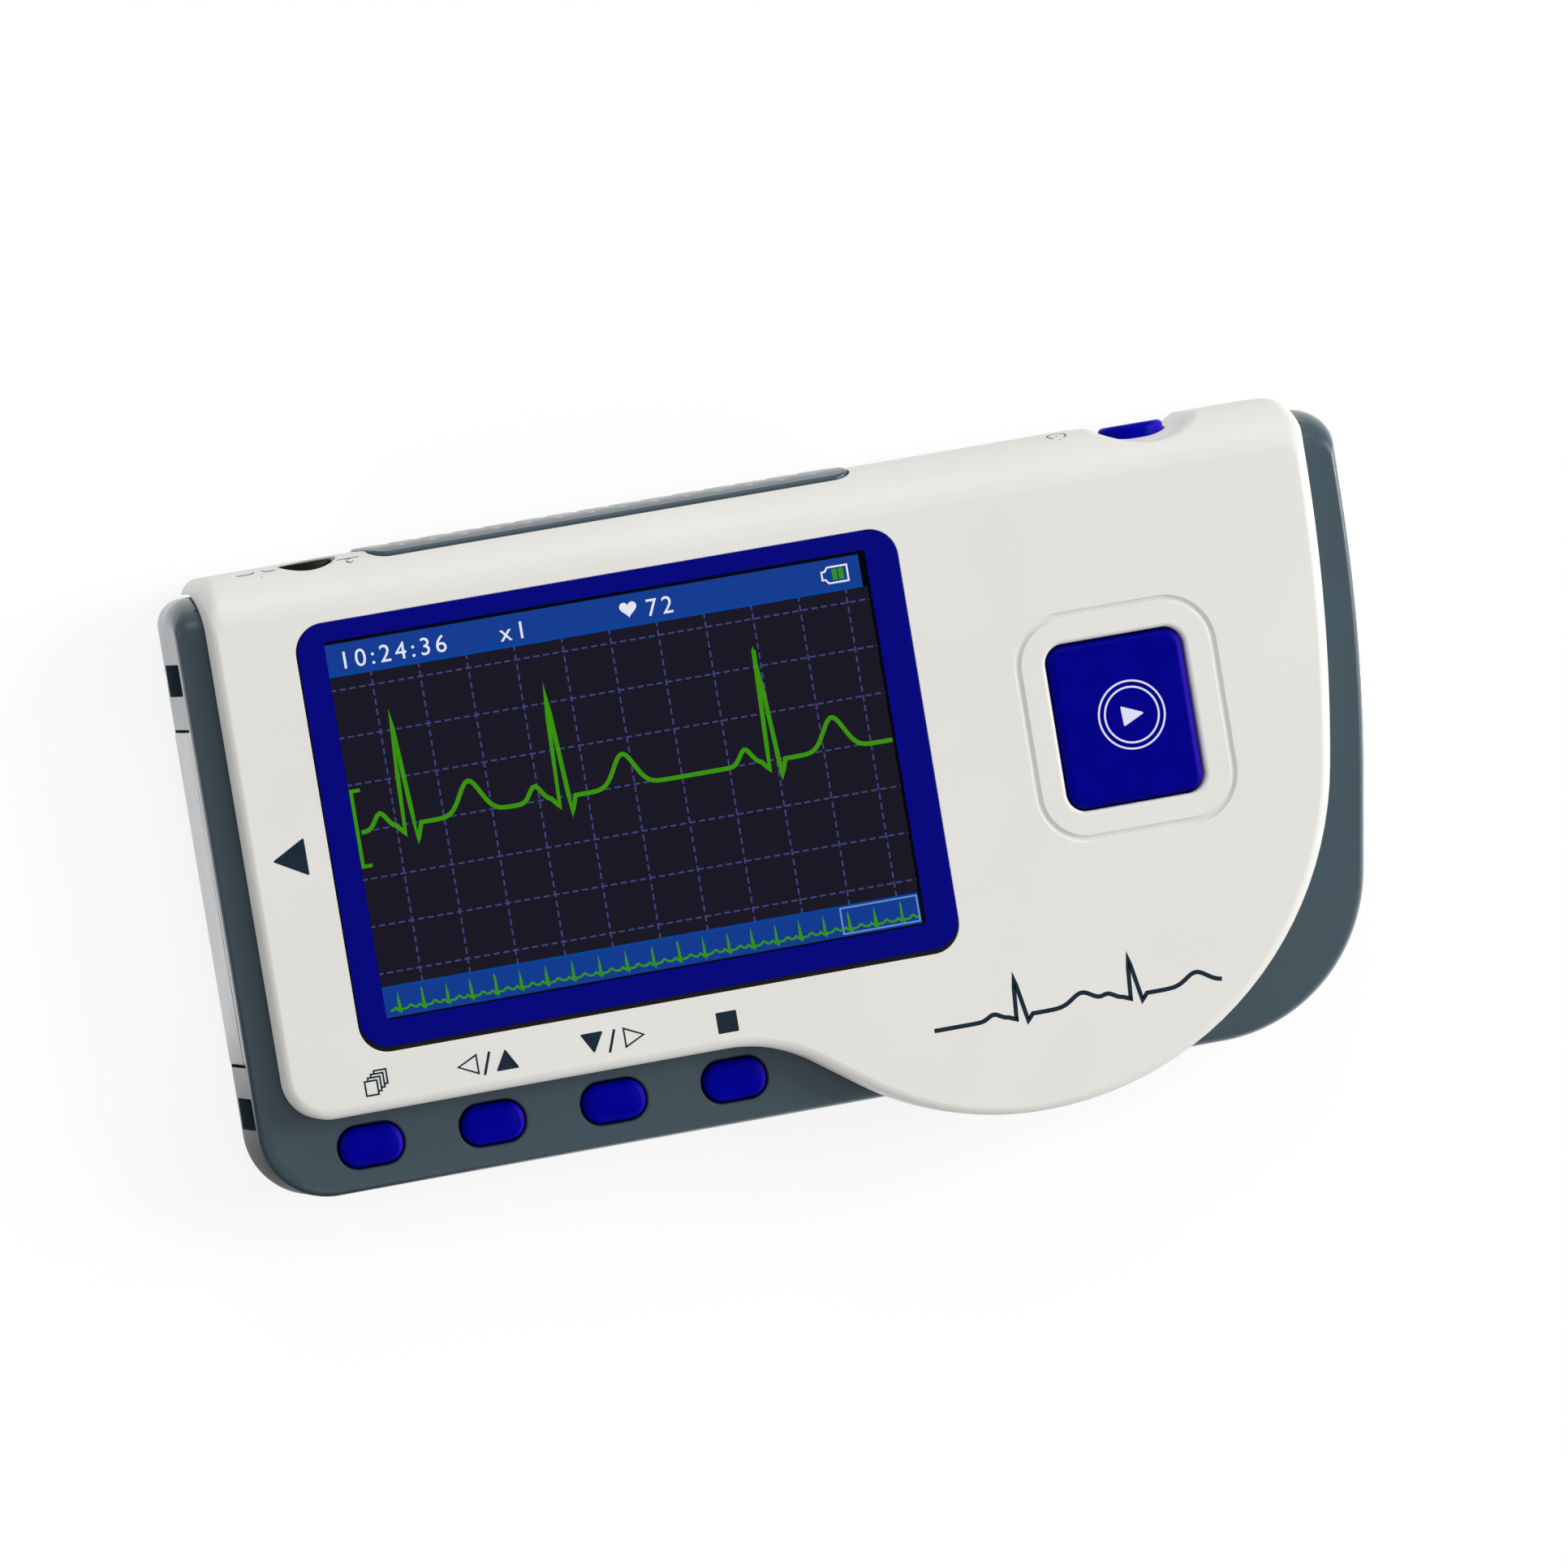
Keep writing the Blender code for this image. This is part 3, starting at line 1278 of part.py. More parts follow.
def make_board(finish):
    corners = case_corners()
    amounts = [BOARD_SIDE_INSET, BOARD_END_INSET, BOARD_END_INSET, BOARD_TOP_INSET, BOARD_END_INSET]
    board = shaped("main_board", inset(corners, amounts), [(0, BOARD_Z), (0, BOARD_TOP_Z)], finish)
    space = BAY_WALL + BOARD_NOTCH_PLAY
    notch = block(
        "bay_notch",
        (BAY_LEFT - space, BAY_BOTTOM - space, BOARD_Z - OVERRUN),
        (BAY_RIGHT + space, CASE_TOP, BOARD_TOP_Z + OVERRUN),
    )
    holes = []
    for index, place in enumerate(SCREW_PLACES):
        radius = BOSS_PIN_RADIUS + GAP
        profile = [(radius, BOARD_Z - OVERRUN), (radius, BOARD_TOP_Z + OVERRUN)]
        holes.append(turned(f"board_hole_{index}", profile, place))
    cut(board, notch, merged("board_holes", holes))


def make_switch(name, centre, side, height, base, plunger_radius, reach, travel, finishes, key):
    """A push switch on the board and the plunger in it, which moves with its key."""
    x, y = centre
    top = base + height
    half = side / 2
    body = block(name, (x - half, y - half, base), (x + half, y + half, top), finishes["steel"])
    bore_radius = plunger_radius + GAP
    bore = [(bore_radius, top - PLUNGE - travel - GAP), (bore_radius, top + OVERRUN)]
    cut(body, turned(f"{name}_bore", bore, centre))
    stem = [(plunger_radius, top - PLUNGE), (plunger_radius, reach)]
    plunger = turned(name.replace("switch", "plunger"), stem, centre, finish=finishes["black"])
    origin_at(plunger, (x, y, reach))
    ride_on(plunger, key)


def ride_on(piece, carrier):
    """Parents a piece to the one that carries it, where it stands."""
    bpy.context.view_layer.update()
    piece.parent = carrier
    piece.matrix_parent_inverse = carrier.matrix_world.inverted()


def make_front_key(name, corners, hole_z, top, edge, flange, thickness, finish):
    """A key with a round top edge and a flange that stays under its hole."""
    flange_top = hole_z - GAP
    levels = [(-flange, flange_top - thickness), (-flange, flange_top), (0, flange_top)]
    levels += quarter_round(edge, top - edge, 4)
    key = shaped(name, corners, levels, finish)
    x = (corners[0][0] + corners[1][0]) / 2
    y = (corners[0][1] + corners[2][1]) / 2
    origin_at(key, (x, y, top))
    return key, flange_top - thickness


def make_keys(finishes):
    key, under = make_front_key(
        "start_key",
        start_corners(),
        SKIN_Z,
        FRONT_Z,
        START_EDGE,
        START_FLANGE,
        START_FLANGE_THICKNESS,
        finishes["blue"],
    )
    make_switch(
        "start_switch",
        (START_X, START_Y),
        START_SWITCH_SIDE,
        START_SWITCH_HEIGHT,
        ON_BOARD,
        START_PLUNGER_RADIUS,
        under - GAP,
        START_TRAVEL,
        finishes,
        key,
    )
    for index, name in enumerate(ROW_KEYS):
        key, under = make_front_key(
            f"{name}_key",
            row_corners(index),
            SHELF_Z - CASE_WALL,
            SHELF_Z + ROW_STAND,
            ROW_EDGE,
            ROW_FLANGE,
            ROW_FLANGE_THICKNESS,
            finishes["blue"],
        )
        make_switch(
            f"{name}_switch",
            (row_x(index), ROW_Y),
            ROW_SWITCH_SIDE,
            ROW_SWITCH_HEIGHT,
            ON_BOARD,
            ROW_PLUNGER_RADIUS,
            under - GAP,
            ROW_TRAVEL,
            finishes,
            key,
        )


def make_power_button(finishes):
    """The oval button on the top side, with its switch at the board's edge."""
    face = COVER_TOP - POWER_SINK
    flange_face = COVER_TOP - COVER_TOP_WALL - POWER_FLANGE_SETBACK
    flange_back = flange_face - POWER_FLANGE_THICKNESS
    levels = [(-POWER_FLANGE, flange_back), (-POWER_FLANGE, flange_face), (0, flange_face)]
    levels += quarter_round(POWER_EDGE, face - POWER_EDGE, 4)
    button = shaped("power_button", power_corners(), levels, finishes["blue"], axis="Y")
    origin_at(button, (POWER_X, face, POWER_Z))
    half_length = POWER_SWITCH_LENGTH / 2
    switch = block(
        "power_switch",
        (POWER_X - half_length, BOARD_TOP_Y - POWER_SWITCH_DEPTH, ON_BOARD),
        (POWER_X + half_length, BOARD_TOP_Y, 2 * POWER_Z - ON_BOARD),
        finishes["steel"],
    )
    centre = (POWER_X, POWER_Z)
    bore_radius = ROW_PLUNGER_RADIUS + GAP
    bore = [(bore_radius, BOARD_TOP_Y - PLUNGE - POWER_TRAVEL - GAP), (bore_radius, BOARD_TOP_Y + OVERRUN)]
    cut(switch, turned("power_switch_bore", bore, centre, axis="Y"))
    stem = [(ROW_PLUNGER_RADIUS, BOARD_TOP_Y - PLUNGE), (ROW_PLUNGER_RADIUS, flange_back - GAP)]
    plunger = turned("power_plunger", stem, centre, axis="Y", finish=finishes["black"])
    origin_at(plunger, (POWER_X, flange_back - GAP, POWER_Z))
    ride_on(plunger, button)


def make_jack(finish):
    """The lead socket: a nose in the cover's hole, a barrel at the board's edge and a body on the board."""
    barrel_start = CASE_TOP - JACK_BARREL_START
    barrel_end = barrel_start + JACK_BARREL_LENGTH
    mouth = COVER_TOP - JACK_SINK
    nose = JACK_HOLE_RADIUS - GAP
    profile = [
        (JACK_BARREL_RADIUS, barrel_start),
        (JACK_BARREL_RADIUS, barrel_end),
        (nose, barrel_end),
        (nose, mouth - GAP),
        (nose - GAP, mouth),
    ]
    jack = turned("lead_jack", profile, (JACK_X, JACK_Z), axis="Y", finish=finish)
    body_start = barrel_start - JACK_BODY_LENGTH
    body = block(
        "jack_body",
        (JACK_X - JACK_BODY_WIDTH / 2, body_start, ON_BOARD),
        (JACK_X + JACK_BODY_WIDTH / 2, barrel_start + OVERRUN / 2, ON_BOARD + JACK_BODY_HEIGHT),
    )
    join(jack, body)
    bore = [(JACK_BORE_RADIUS, body_start + JACK_BODY_LENGTH / 4), (JACK_BORE_RADIUS, mouth + OVERRUN)]
    cut(jack, turned("jack_bore", bore, (JACK_X, JACK_Z), axis="Y"))


def make_cell(name, across, left, nub_side, finish):
    """An AAA cell whose nub points to one end."""
    half = CELL_LENGTH / 2
    middle = left + half
    radius = CELL_DIAMETER / 2
    shoulder = half - NUB_LENGTH
    profile = [
        (radius - CELL_EDGE, -half),
        (radius, -half + CELL_EDGE),
        (radius, shoulder - CELL_EDGE),
        (radius - CELL_EDGE, shoulder),
        (NUB_RADIUS, shoulder),
        (NUB_RADIUS, half),
    ]
    profile = [(size, middle + nub_side * along) for size, along in profile]
    turned(name, profile, (across, CELL_Z), axis="X", finish=finish)


def make_spring(name, across, base, tip, finish):
    """A conical coil of wire along X, wide at its base."""
    points = []
    facets = 10
    count = SPRING_TURNS * facets
    margin = SPRING_WIRE / 2 if tip > base else -SPRING_WIRE / 2
    for index in range(count + 1):
        share = index / count
        radius = SPRING_RADIUS + (SPRING_TIP_RADIUS - SPRING_RADIUS) * share
        angle = 2 * math.pi * index / facets
        along = base + margin + (tip - base - 2 * margin) * share
        points.append((along, across + radius * math.cos(angle), CELL_Z + radius * math.sin(angle)))
    curve = bpy.data.curves.new(name, "CURVE")
    curve.dimensions = "3D"
    curve.bevel_depth = SPRING_WIRE / 2
    curve.bevel_resolution = 1
    curve.use_fill_caps = True
    spline = curve.splines.new("POLY")
    spline.points.add(len(points) - 1)
    for target, point in zip(spline.points, points):
        target.co = (*point, 1)
    curve.materials.append(finish)
    spring = bpy.data.objects.new(name, curve)
    bpy.context.scene.collection.objects.link(spring)
    turn_length = abs(tip - base) / SPRING_TURNS
    slant = (SPRING_RADIUS - SPRING_TIP_RADIUS) / SPRING_TURNS
    clear = math.hypot(turn_length, slant) - SPRING_WIRE
    print(f"{name}: least gap between turns {clear * 1000:.2f} mm")


def make_power_supply(finishes):
    """The two cells end to end in opposite directions, with a spring at each flat end."""
    contact_left = BAY_LEFT + GAP
    contact_right = BAY_RIGHT - GAP
    inner_left = contact_left + CONTACT_THICKNESS + GAP
    inner_right = contact_right - CONTACT_THICKNESS - GAP
    make_cell("battery_1", UPPER_CELL_Y, inner_right - CELL_LENGTH, 1, finishes["cell"])
    make_cell("battery_2", LOWER_CELL_Y, inner_left, -1, finishes["cell"])
    upper_end = inner_right - CELL_LENGTH - GAP
    lower_end = inner_left + CELL_LENGTH + GAP
    make_spring("cell_spring_1", UPPER_CELL_Y, inner_left, upper_end, finishes["steel"])
    make_spring("cell_spring_2", LOWER_CELL_Y, inner_right, lower_end, finishes["steel"])
    top = CONTACT_Z + CONTACT_HEIGHT
    half = CONTACT_WIDTH / 2
    block(
        "bridge_contact",
        (contact_left, LOWER_CELL_Y - half, CONTACT_Z),
        (contact_left + CONTACT_THICKNESS, UPPER_CELL_Y + half, top),
        finishes["steel"],
    )
    for name, across in (("positive_contact", UPPER_CELL_Y), ("negative_contact", LOWER_CELL_Y)):
        block(
            name,
            (contact_right - CONTACT_THICKNESS, across - half, CONTACT_Z),
            (contact_right, across + half, top),
            finishes["steel"],
        )


def make_board_parts(finishes, connector_end):
    """The shield can, three chips and the buzzer, in a row under the display and beside the bay."""
    low = connector_end + BOARD_PART_SPACING / 2
    left = SCREEN_X - SCREEN_LENGTH / 2 + BOARD_PART_SPACING
    can_top = ON_BOARD + CAN_HEIGHT
    can = block(
        "shield_can",
        (left, low, ON_BOARD),
        (left + CAN_LENGTH, low + CAN_WIDTH, can_top),
        finishes["steel"],
    )
    can_space = block(
        "can_space",
        (left + CAN_WALL, low + CAN_WALL, ON_BOARD - OVERRUN),
        (left + CAN_LENGTH - CAN_WALL, low + CAN_WIDTH - CAN_WALL, can_top - CAN_WALL),
    )
    cut(can, can_space)
    left += CAN_LENGTH + BOARD_PART_SPACING
    chip_top = ON_BOARD + CHIP_HEIGHT
    chips = (("processor", PROCESSOR_SIDE, PROCESSOR_SIDE), ("memory_chip", MEMORY_LENGTH, MEMORY_WIDTH))
    for name, length, width in chips:
        block(name, (left, low, ON_BOARD), (left + length, low + width, chip_top), finishes["black"])
        left += length + BOARD_PART_SPACING
    jack_back = CASE_TOP - JACK_BARREL_START - JACK_BODY_LENGTH
    side = AMPLIFIER_SIDE
    block(
        "lead_amplifier",
        (JACK_X - side / 2, jack_back - BOARD_PART_SPACING - side, ON_BOARD),
        (JACK_X + side / 2, jack_back - BOARD_PART_SPACING, chip_top),
        finishes["black"],
    )
    place = (BAY_RIGHT + BAY_WALL + BUZZER_RADIUS + BOARD_PART_SPACING, UPPER_CELL_Y - BUZZER_RADIUS / 2)
    top = ON_BOARD + BUZZER_HEIGHT
    edge = top - CELL_EDGE
    profile = [(BUZZER_RADIUS, ON_BOARD), (BUZZER_RADIUS, edge), (BUZZER_RADIUS - CELL_EDGE, top)]
    buzzer = turned("buzzer", profile, place, finish=finishes["black"])
    hole = [(BUZZER_HOLE_RADIUS, top - BUZZER_HEIGHT / 2), (BUZZER_HOLE_RADIUS, top + OVERRUN)]
    cut(buzzer, turned("buzzer_hole", hole, place))


def main():
    clear_scene()
    finishes = {
        "cover": material("cover_plastic", (0.72, 0.72, 0.69), 0.42),
        "case": material("case_plastic", (0.07, 0.10, 0.12), 0.45),
        "blue": material("blue_plastic", (0.002, 0.002, 0.25), 0.30),
        "clear": material("clear_acrylic", (1.0, 1.0, 1.0), 0.05, transmission=1.0),
        "glass": material("display_glass", (0.012, 0.011, 0.020), 0.15),
        "white": material("white_plastic", (0.80, 0.80, 0.78), 0.50),
        "film": material("flat_cable", (0.45, 0.20, 0.03), 0.40),
        "board": material("board_green", (0.01, 0.12, 0.05), 0.50),
        "steel": material("plated_steel", (0.62, 0.62, 0.60), 0.25, metallic=1.0),
        "black": material("black_plastic", (0.012, 0.012, 0.012), 0.50),
        "cell": material("cell_wrap", (0.05, 0.05, 0.06), 0.35),
    }
    make_front_cover(finishes["cover"])
    make_rear_case(finishes["case"])
    make_battery_door(finishes["case"])
    make_screen(finishes)
    connector_end = make_flex(finishes)
    make_board(finishes["board"])
    make_keys(finishes)
    make_power_button(finishes)
    make_jack(finishes["black"])
    make_end_electrode("left_electrode", -1, finishes["steel"])
    make_end_electrode("right_electrode", 1, finishes["steel"])
    make_end_leaf("left_contact", -1, finishes["steel"])
    make_end_leaf("right_contact", 1, finishes["steel"])
    make_rear_electrode(finishes["steel"])
    make_rear_leaf(finishes["steel"])
    make_power_supply(finishes)
    make_board_parts(finishes, connector_end)
    for index, place in enumerate(SCREW_PLACES):
        make_screw(index + 1, place, finishes["steel"])


main()
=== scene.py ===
"""Looks of a hand-held heart recorder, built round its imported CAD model.

Every length is in metres in the model's frame: +X along the recorder, +Y to the side with the power
button and +Z out of the screen. MM turns millimetres into metres.
"""

import math

import bmesh
import bpy
import numpy as np
from mathutils import Matrix, Vector


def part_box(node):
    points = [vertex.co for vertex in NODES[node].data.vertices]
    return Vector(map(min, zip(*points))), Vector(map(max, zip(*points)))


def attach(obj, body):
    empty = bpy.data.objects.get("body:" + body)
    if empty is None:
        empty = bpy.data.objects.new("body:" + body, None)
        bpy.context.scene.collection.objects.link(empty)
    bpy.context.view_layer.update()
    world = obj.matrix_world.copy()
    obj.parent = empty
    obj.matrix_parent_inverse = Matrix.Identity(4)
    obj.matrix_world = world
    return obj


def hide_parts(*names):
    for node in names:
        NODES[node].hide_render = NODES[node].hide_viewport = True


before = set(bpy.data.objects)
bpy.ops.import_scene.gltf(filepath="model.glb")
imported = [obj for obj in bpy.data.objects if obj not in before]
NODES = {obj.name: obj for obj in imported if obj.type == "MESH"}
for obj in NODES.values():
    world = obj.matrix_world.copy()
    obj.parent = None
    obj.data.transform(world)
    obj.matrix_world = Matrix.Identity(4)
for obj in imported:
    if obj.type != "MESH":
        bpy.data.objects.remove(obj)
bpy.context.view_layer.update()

bl_info = {
    "name": "Portable Heart Recorder",
    "version": (1, 0, 0),
    "blender": (4, 5, 0),
    "location": "3D View > Sidebar > Recorder",
    "description": "Builds the shells, keys, screen and plates of a hand-held heart recorder",
    "category": "Add Mesh",
}

MM = 0.001


def node_box(node):
    """The lowest and highest corner of a CAD node, as arrays."""
    low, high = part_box(node)
    return np.array(low), np.array(high)


def node_middle(node):
    """The middle of a CAD node's box."""
    low, high = node_box(node)
    return (low + high) / 2


# Fits and accuracy
GAP = 0.3 * MM
KEY_GAP = 0.25 * MM
PAST = 1.0 * MM  # how far a cut passes the face that it opens
STEP = 0.05 * MM  # keeps two faces out of one plane
SMALL_RADIUS = 0.3 * MM
STRAIGHT_SHARE = 0.995  # of an edge, which the arcs at its ends may take up
LEVEL_GRID = 0.002 * MM  # levels that lie closer than this become one
WELD = 0.0001 * MM
CREASE = math.radians(32)
FACETS = 24

# Places of the shells, from their boxes
cover_low, cover_high = node_box("front_cover")
_, case_high = node_box("rear_case")
lens_low, lens_high = node_box("screen_lens")
panel_low, panel_high = node_box("lcd_panel")
mask_low, mask_high = node_box("window_mask")
door_low, door_high = node_box("battery_door")
start_low, start_high = node_box("start_key")
power_low, power_high = node_box("power_button")
jack_low, jack_high = node_box("lead_jack")
left_low, left_high = node_box("left_electrode")
right_low, right_high = node_box("right_electrode")
rear_low, rear_high = node_box("rear_electrode")

COVER_LENGTH = 127.95 * MM
COVER_RIGHT = cover_high[0]
COVER_LEFT = COVER_RIGHT - COVER_LENGTH
COVER_TOP = cover_high[1]
BULGE_BOTTOM = cover_low[1]
BULGE_DROP = 13.2 * MM
COVER_BOTTOM = BULGE_BOTTOM + BULGE_DROP
PLATE_STAND = 0.1 * MM  # how far an end plate stands out of the case
CASE_LEFT = left_low[0] + PLATE_STAND
CASE_RIGHT = right_high[0] - PLATE_STAND
CASE_TOP = case_high[1]
BULGE_OVERHANG = 4.4 * MM
CASE_BOTTOM = BULGE_BOTTOM + BULGE_OVERHANG
SHELF_Z = case_high[2]
FRONT_Z = lens_high[2] - STEP

# Front cover
COVER_SKIN = 1.8 * MM
COVER_WALL = 1.8 * MM
COVER_TOP_WALL = 1.6 * MM
COVER_EDGES = np.array((1.2, 1.1, 0.9, 1.5, 1.6, 0.6, 0.6)) * MM  # each side's, from the lower left
TOP_REACH = 6.0 * MM
TOP_DROP = 8.0 * MM
TOP_WALL_BASE = cover_low[2]
COVER_CORNER = 4.8 * MM
TOP_RIGHT_CORNER, TOP_LEFT_CORNER = 2.4 * MM, 2.2 * MM
TOP_CORNER_END = 1.3 * MM  # radius of the two top corners where they meet the face
KNEE_INSET = 55.9 * MM
KNEE_RADIUS = 18 * MM
HEEL_RADIUS = 34 * MM
BULGE_ANGLE = math.radians(36)
BULGE_RADIUS = 40 * MM
BULGE_TAPER = 8.8 * MM
BULGE_TAPER_HEIGHT = 50.2 * MM
SIDE_RADIUS = 200 * MM
SKIN_Z = FRONT_Z - COVER_SKIN
BULGE_EDGE, TOP_EDGE = 2, 5  # the outline's sides along the bulge's foot and along the top
COVER_BOSS_RADIUS = 2.6 * MM

# Rear case
CASE_WALL = 1.8 * MM
CASE_TOP_WALL = 1.5 * MM
FLOOR = 1.6 * MM
BACK_ROUND = 3.0 * MM
CASE_CORNER = 7.9 * MM
CASE_TAPER = 7.4 * MM
CASE_TAPER_HEIGHT = 43.4 * MM
CASE_HEEL = 0.65 * MM  # how far the case's right part reaches below its apron
CASE_HEEL_START, CASE_HEEL_END = 20 * MM, 30 * MM
CASE_HEEL_RADIUS = 20 * MM
CASE_TOP_CORNERS = (4.0 * MM, 3.0 * MM)  # radii of the right and the left one
CASE_TOP_CORNER_ENDS = (2.0 * MM, 1.4 * MM)  # their radii where they meet the shelf
PARTING_START = CASE_TOP - 4.5 * MM
PARTING_REACH = 4.7 * MM
PARTING_DROP = 8.5 * MM
RELIEF_INSET = 6.5 * MM
RELIEF_Z = 6.8 * MM
CASE_TOP_EDGE = 5  # the outline's side along the top
RIGHT_REACH, RIGHT_DROP = 1.3 * MM, 4.5 * MM  # the half axes of the right side's rounding
TONGUE_INSET = 1.0 * MM
TONGUE_HEIGHT = 1.4 * MM
TONGUE_REACH = 1.0 * MM  # how far the tongue reaches past the case's lower edge

# Window and display
WINDOW_LOW = lens_low[:2] - GAP
WINDOW_HIGH = lens_high[:2] + GAP
WINDOW_RADIUS = 3.3 * MM
# Painted shadow: a dark band in the window's gap at the left and foot stands for the shade beside the
# pane's edge
GAP_SHADOW_LEFT, GAP_SHADOW_BELOW = 0.18 * MM, 0.55 * MM
GAP_SHADOW_SETBACK = 0.12 * MM
GAP_SHADOW_UNDER = 0.04 * MM  # how far the dark band of painted shadow reaches under the pane
PRINT_THICKNESS = 0.012 * MM
SIGHT_SLOPE = np.array((-0.23, 0.04))  # how far a sight line shifts for each length that it rises
PANEL_BORDER = 1.2 * MM
SCREEN_LOW = panel_low[:2] + PANEL_BORDER
SCREEN_HIGH = panel_high[:2] - PANEL_BORDER
SCREEN_RADIUS = 0.5 * MM
LIGHT_THICKNESS = 0.04 * MM  # of the drawings on the display, half of it sunk
READING_FOOT, READING_HEIGHT = 24.85 * MM, 1.95 * MM
SCREEN_MARGIN = 0.5 * MM  # dark, beyond the right end of the field, as painted shade
BRIGHT_LINE = 0.3 * MM
DASH_SHARE = 0.64
OPEN_LOW = SCREEN_LOW + np.array((0.1, -0.18)) * MM
OPEN_HIGH = SCREEN_HIGH + np.array((0.73, 0.27)) * MM
LEDGE_TOP = mask_low[2] - GAP
LEDGE_THICKNESS = 0.8 * MM
RIM_WIDTH = 1.2 * MM

# Keys
START_FLANGE = 1.2 * MM
START_FLANGE_THICKNESS = 1.0 * MM
START_RADIUS = 2.0 * MM
START_LOW = start_low[:2] + START_FLANGE
START_HIGH = start_high[:2] - START_FLANGE
START_MIDDLE = (START_LOW + START_HIGH) / 2
RING_HALF = np.array((23.9, 26.3)) * MM / 2
RING_RADIUS = 6.0 * MM
ROW_KEYS = ("menu", "up", "down", "stop")
ROW_FLANGE = 0.8 * MM
ROW_FLANGE_THICKNESS = 0.8 * MM
ROW_EDGE = 0.8 * MM
ROW_CROWN_WIDTH = 1.15 * MM
ROUND_END_SHARE = 0.48  # of a key's width, as the radius of its ends
POWER_FLANGE = 0.6 * MM
POWER_FLANGE_THICKNESS = 0.8 * MM
POWER_EDGE = 0.6 * MM
POWER_LOW = power_low[[0, 2]] + POWER_FLANGE
POWER_HIGH = power_high[[0, 2]] - POWER_FLANGE
POWER_FACE = power_high[1]
POWER_ARCH = 0.9 * MM
POWER_ARCH_RADIUS = 3.5 * MM
SCOOP_OFFSET = 1.0 * MM
SCOOP_X = (POWER_LOW[0] + POWER_HIGH[0]) / 2 + SCOOP_OFFSET
SCOOP_Z = 12.0 * MM
SCOOP_HALF_LENGTH = 6.6 * MM
SCOOP_HALF_HEIGHT = 5.0 * MM
SCOOP_SOFTNESS = 0.42

# Lead jack
JACK_X = (jack_low[0] + jack_high[0]) / 2
JACK_Z = 11.0 * MM
JACK_HOLE_RADIUS = 3.5 * MM
COLLAR_RADIUS = 4.0 * MM
COLLAR_BACK, COLLAR_FRONT = 30.95 * MM, 33.25 * MM
SOCKET_RADIUS = 3.0 * MM
SOCKET_EDGE = 0.15 * MM
FUNNEL_RADII = np.array((2.85, 2.6, 2.35, 2.05)) * MM
FUNNEL_DEPTHS = np.array((0, 0, 0.12, 0.6)) * MM
FUNNEL_DEPTH = 1.2 * MM
BORE_RADIUS = 1.8 * MM
BORE_DEPTH = 9.0 * MM
BORE_START, BORE_END = 24.2 * MM, 34 * MM
BODY_INSET = 0.2 * MM
BODY_FRONT = 31.45 * MM
BODY_LOW, BODY_HIGH = 7.8 * MM, 13.0 * MM

# Battery bay and door
CELL_RADIUS = 5.25 * MM
CELL_PLAY = 0.3 * MM
CELL_BAND = 12 * MM
CRIMP_RADIUS = 4.7 * MM
SPRING_WIDE, SPRING_NARROW = 3.35 * MM, 2.3 * MM
SPRING_WIRE = 0.3 * MM
SPRING_TURNS = 4.5
BAY_WALL = 0.8 * MM
DOOR_LEFT, DOOR_RIGHT = door_low[0], door_high[0]
DOOR_BOTTOM, DOOR_TOP = door_low[1], door_high[1]
DOOR_OVERLAP = 2.05 * MM
DOOR_THICKNESS = 1.4 * MM
DOOR_ROUND = 2.2 * MM
DOOR_STAND = DOOR_TOP - COVER_TOP
LIP_TOP = door_high[2]
LIP_CORNER = 2.0 * MM
BAY_LEFT = DOOR_LEFT + DOOR_OVERLAP
BAY_RIGHT = DOOR_RIGHT - DOOR_OVERLAP
BAY_TOP = CASE_TOP - CASE_TOP_WALL
BAY_BOTTOM = DOOR_BOTTOM + DOOR_OVERLAP
BAY_CEILING = DOOR_THICKNESS + 2 * (CELL_PLAY + CELL_RADIUS)
RIM_HEIGHT = 4.0 * MM
RAIL_WALL = 0.6 * MM
RAIL_FOOT = 0.6 * MM
RAIL_FOOT_THICKNESS = 0.45 * MM
RAIL_Z = 2.9 * MM
RAIL_SETBACK = 2.0 * MM

# Electrode plates
PLATE_THICKNESS = 0.8 * MM
END_PLATES = {-1: (left_low, left_high), 1: (right_low, right_high)}
TAB_WIDTH = 5.0 * MM
TAB_THICKNESS = 1.0 * MM
TAB_Z = 9.2 * MM
TAB_REACH = 5.5 * MM
REAR_PLATE_TOP = 0.6 * MM
REAR_PLATE_RADIUS = 1.0 * MM

# Snap windows, bosses and screws
SNAP_WIDTH = 3.6 * MM
SNAP_Z = 3.4 * MM
SNAP_HEIGHT = 7.8 * MM
SNAP_FROM_TOP, SNAP_FROM_BOTTOM = 8.95 * MM, 10.5 * MM
SNAP_Y = (CASE_TOP - SNAP_FROM_TOP, CASE_BOTTOM + SNAP_FROM_BOTTOM)
HOOK_CLEARANCE = 0.4 * MM
HOOK_HEIGHT = 1.3 * MM
HOOK_THICKNESS = 1.2 * MM
BOARD_Z = 6.3 * MM
CASE_BOSS_RADIUS, CASE_BOSS_TIP = 3.2 * MM, 2.0 * MM
BOSS_SPLIT_Z = 10.5 * MM
SCREW_END_Z = 14.5 * MM
SCREW_RADIUS = 1.1 * MM
SCREW_HEAD_RADIUS = 1.9 * MM
SCREW_HEAD_TOP = 1.7 * MM
SCREW_CHAMFER = 0.3 * MM
SCREWS = tuple(f"case_screw_{number}" for number in (1, 2, 3, 4))


# Shapes

def across(vectors):
    """Each plane vector turned a quarter turn to the left: (x, y) becomes (-y, x)."""
    return np.stack([-vectors[..., 1], vectors[..., 0]], axis=-1)


def headings(places):
    """The unit vectors along the edges that arrive at each corner, and that leave it."""
    arriving = places - np.roll(places, 1, axis=-2)
    arriving = arriving / np.linalg.norm(arriving, axis=-1, keepdims=True)
    return arriving, np.roll(arriving, -1, axis=-2)


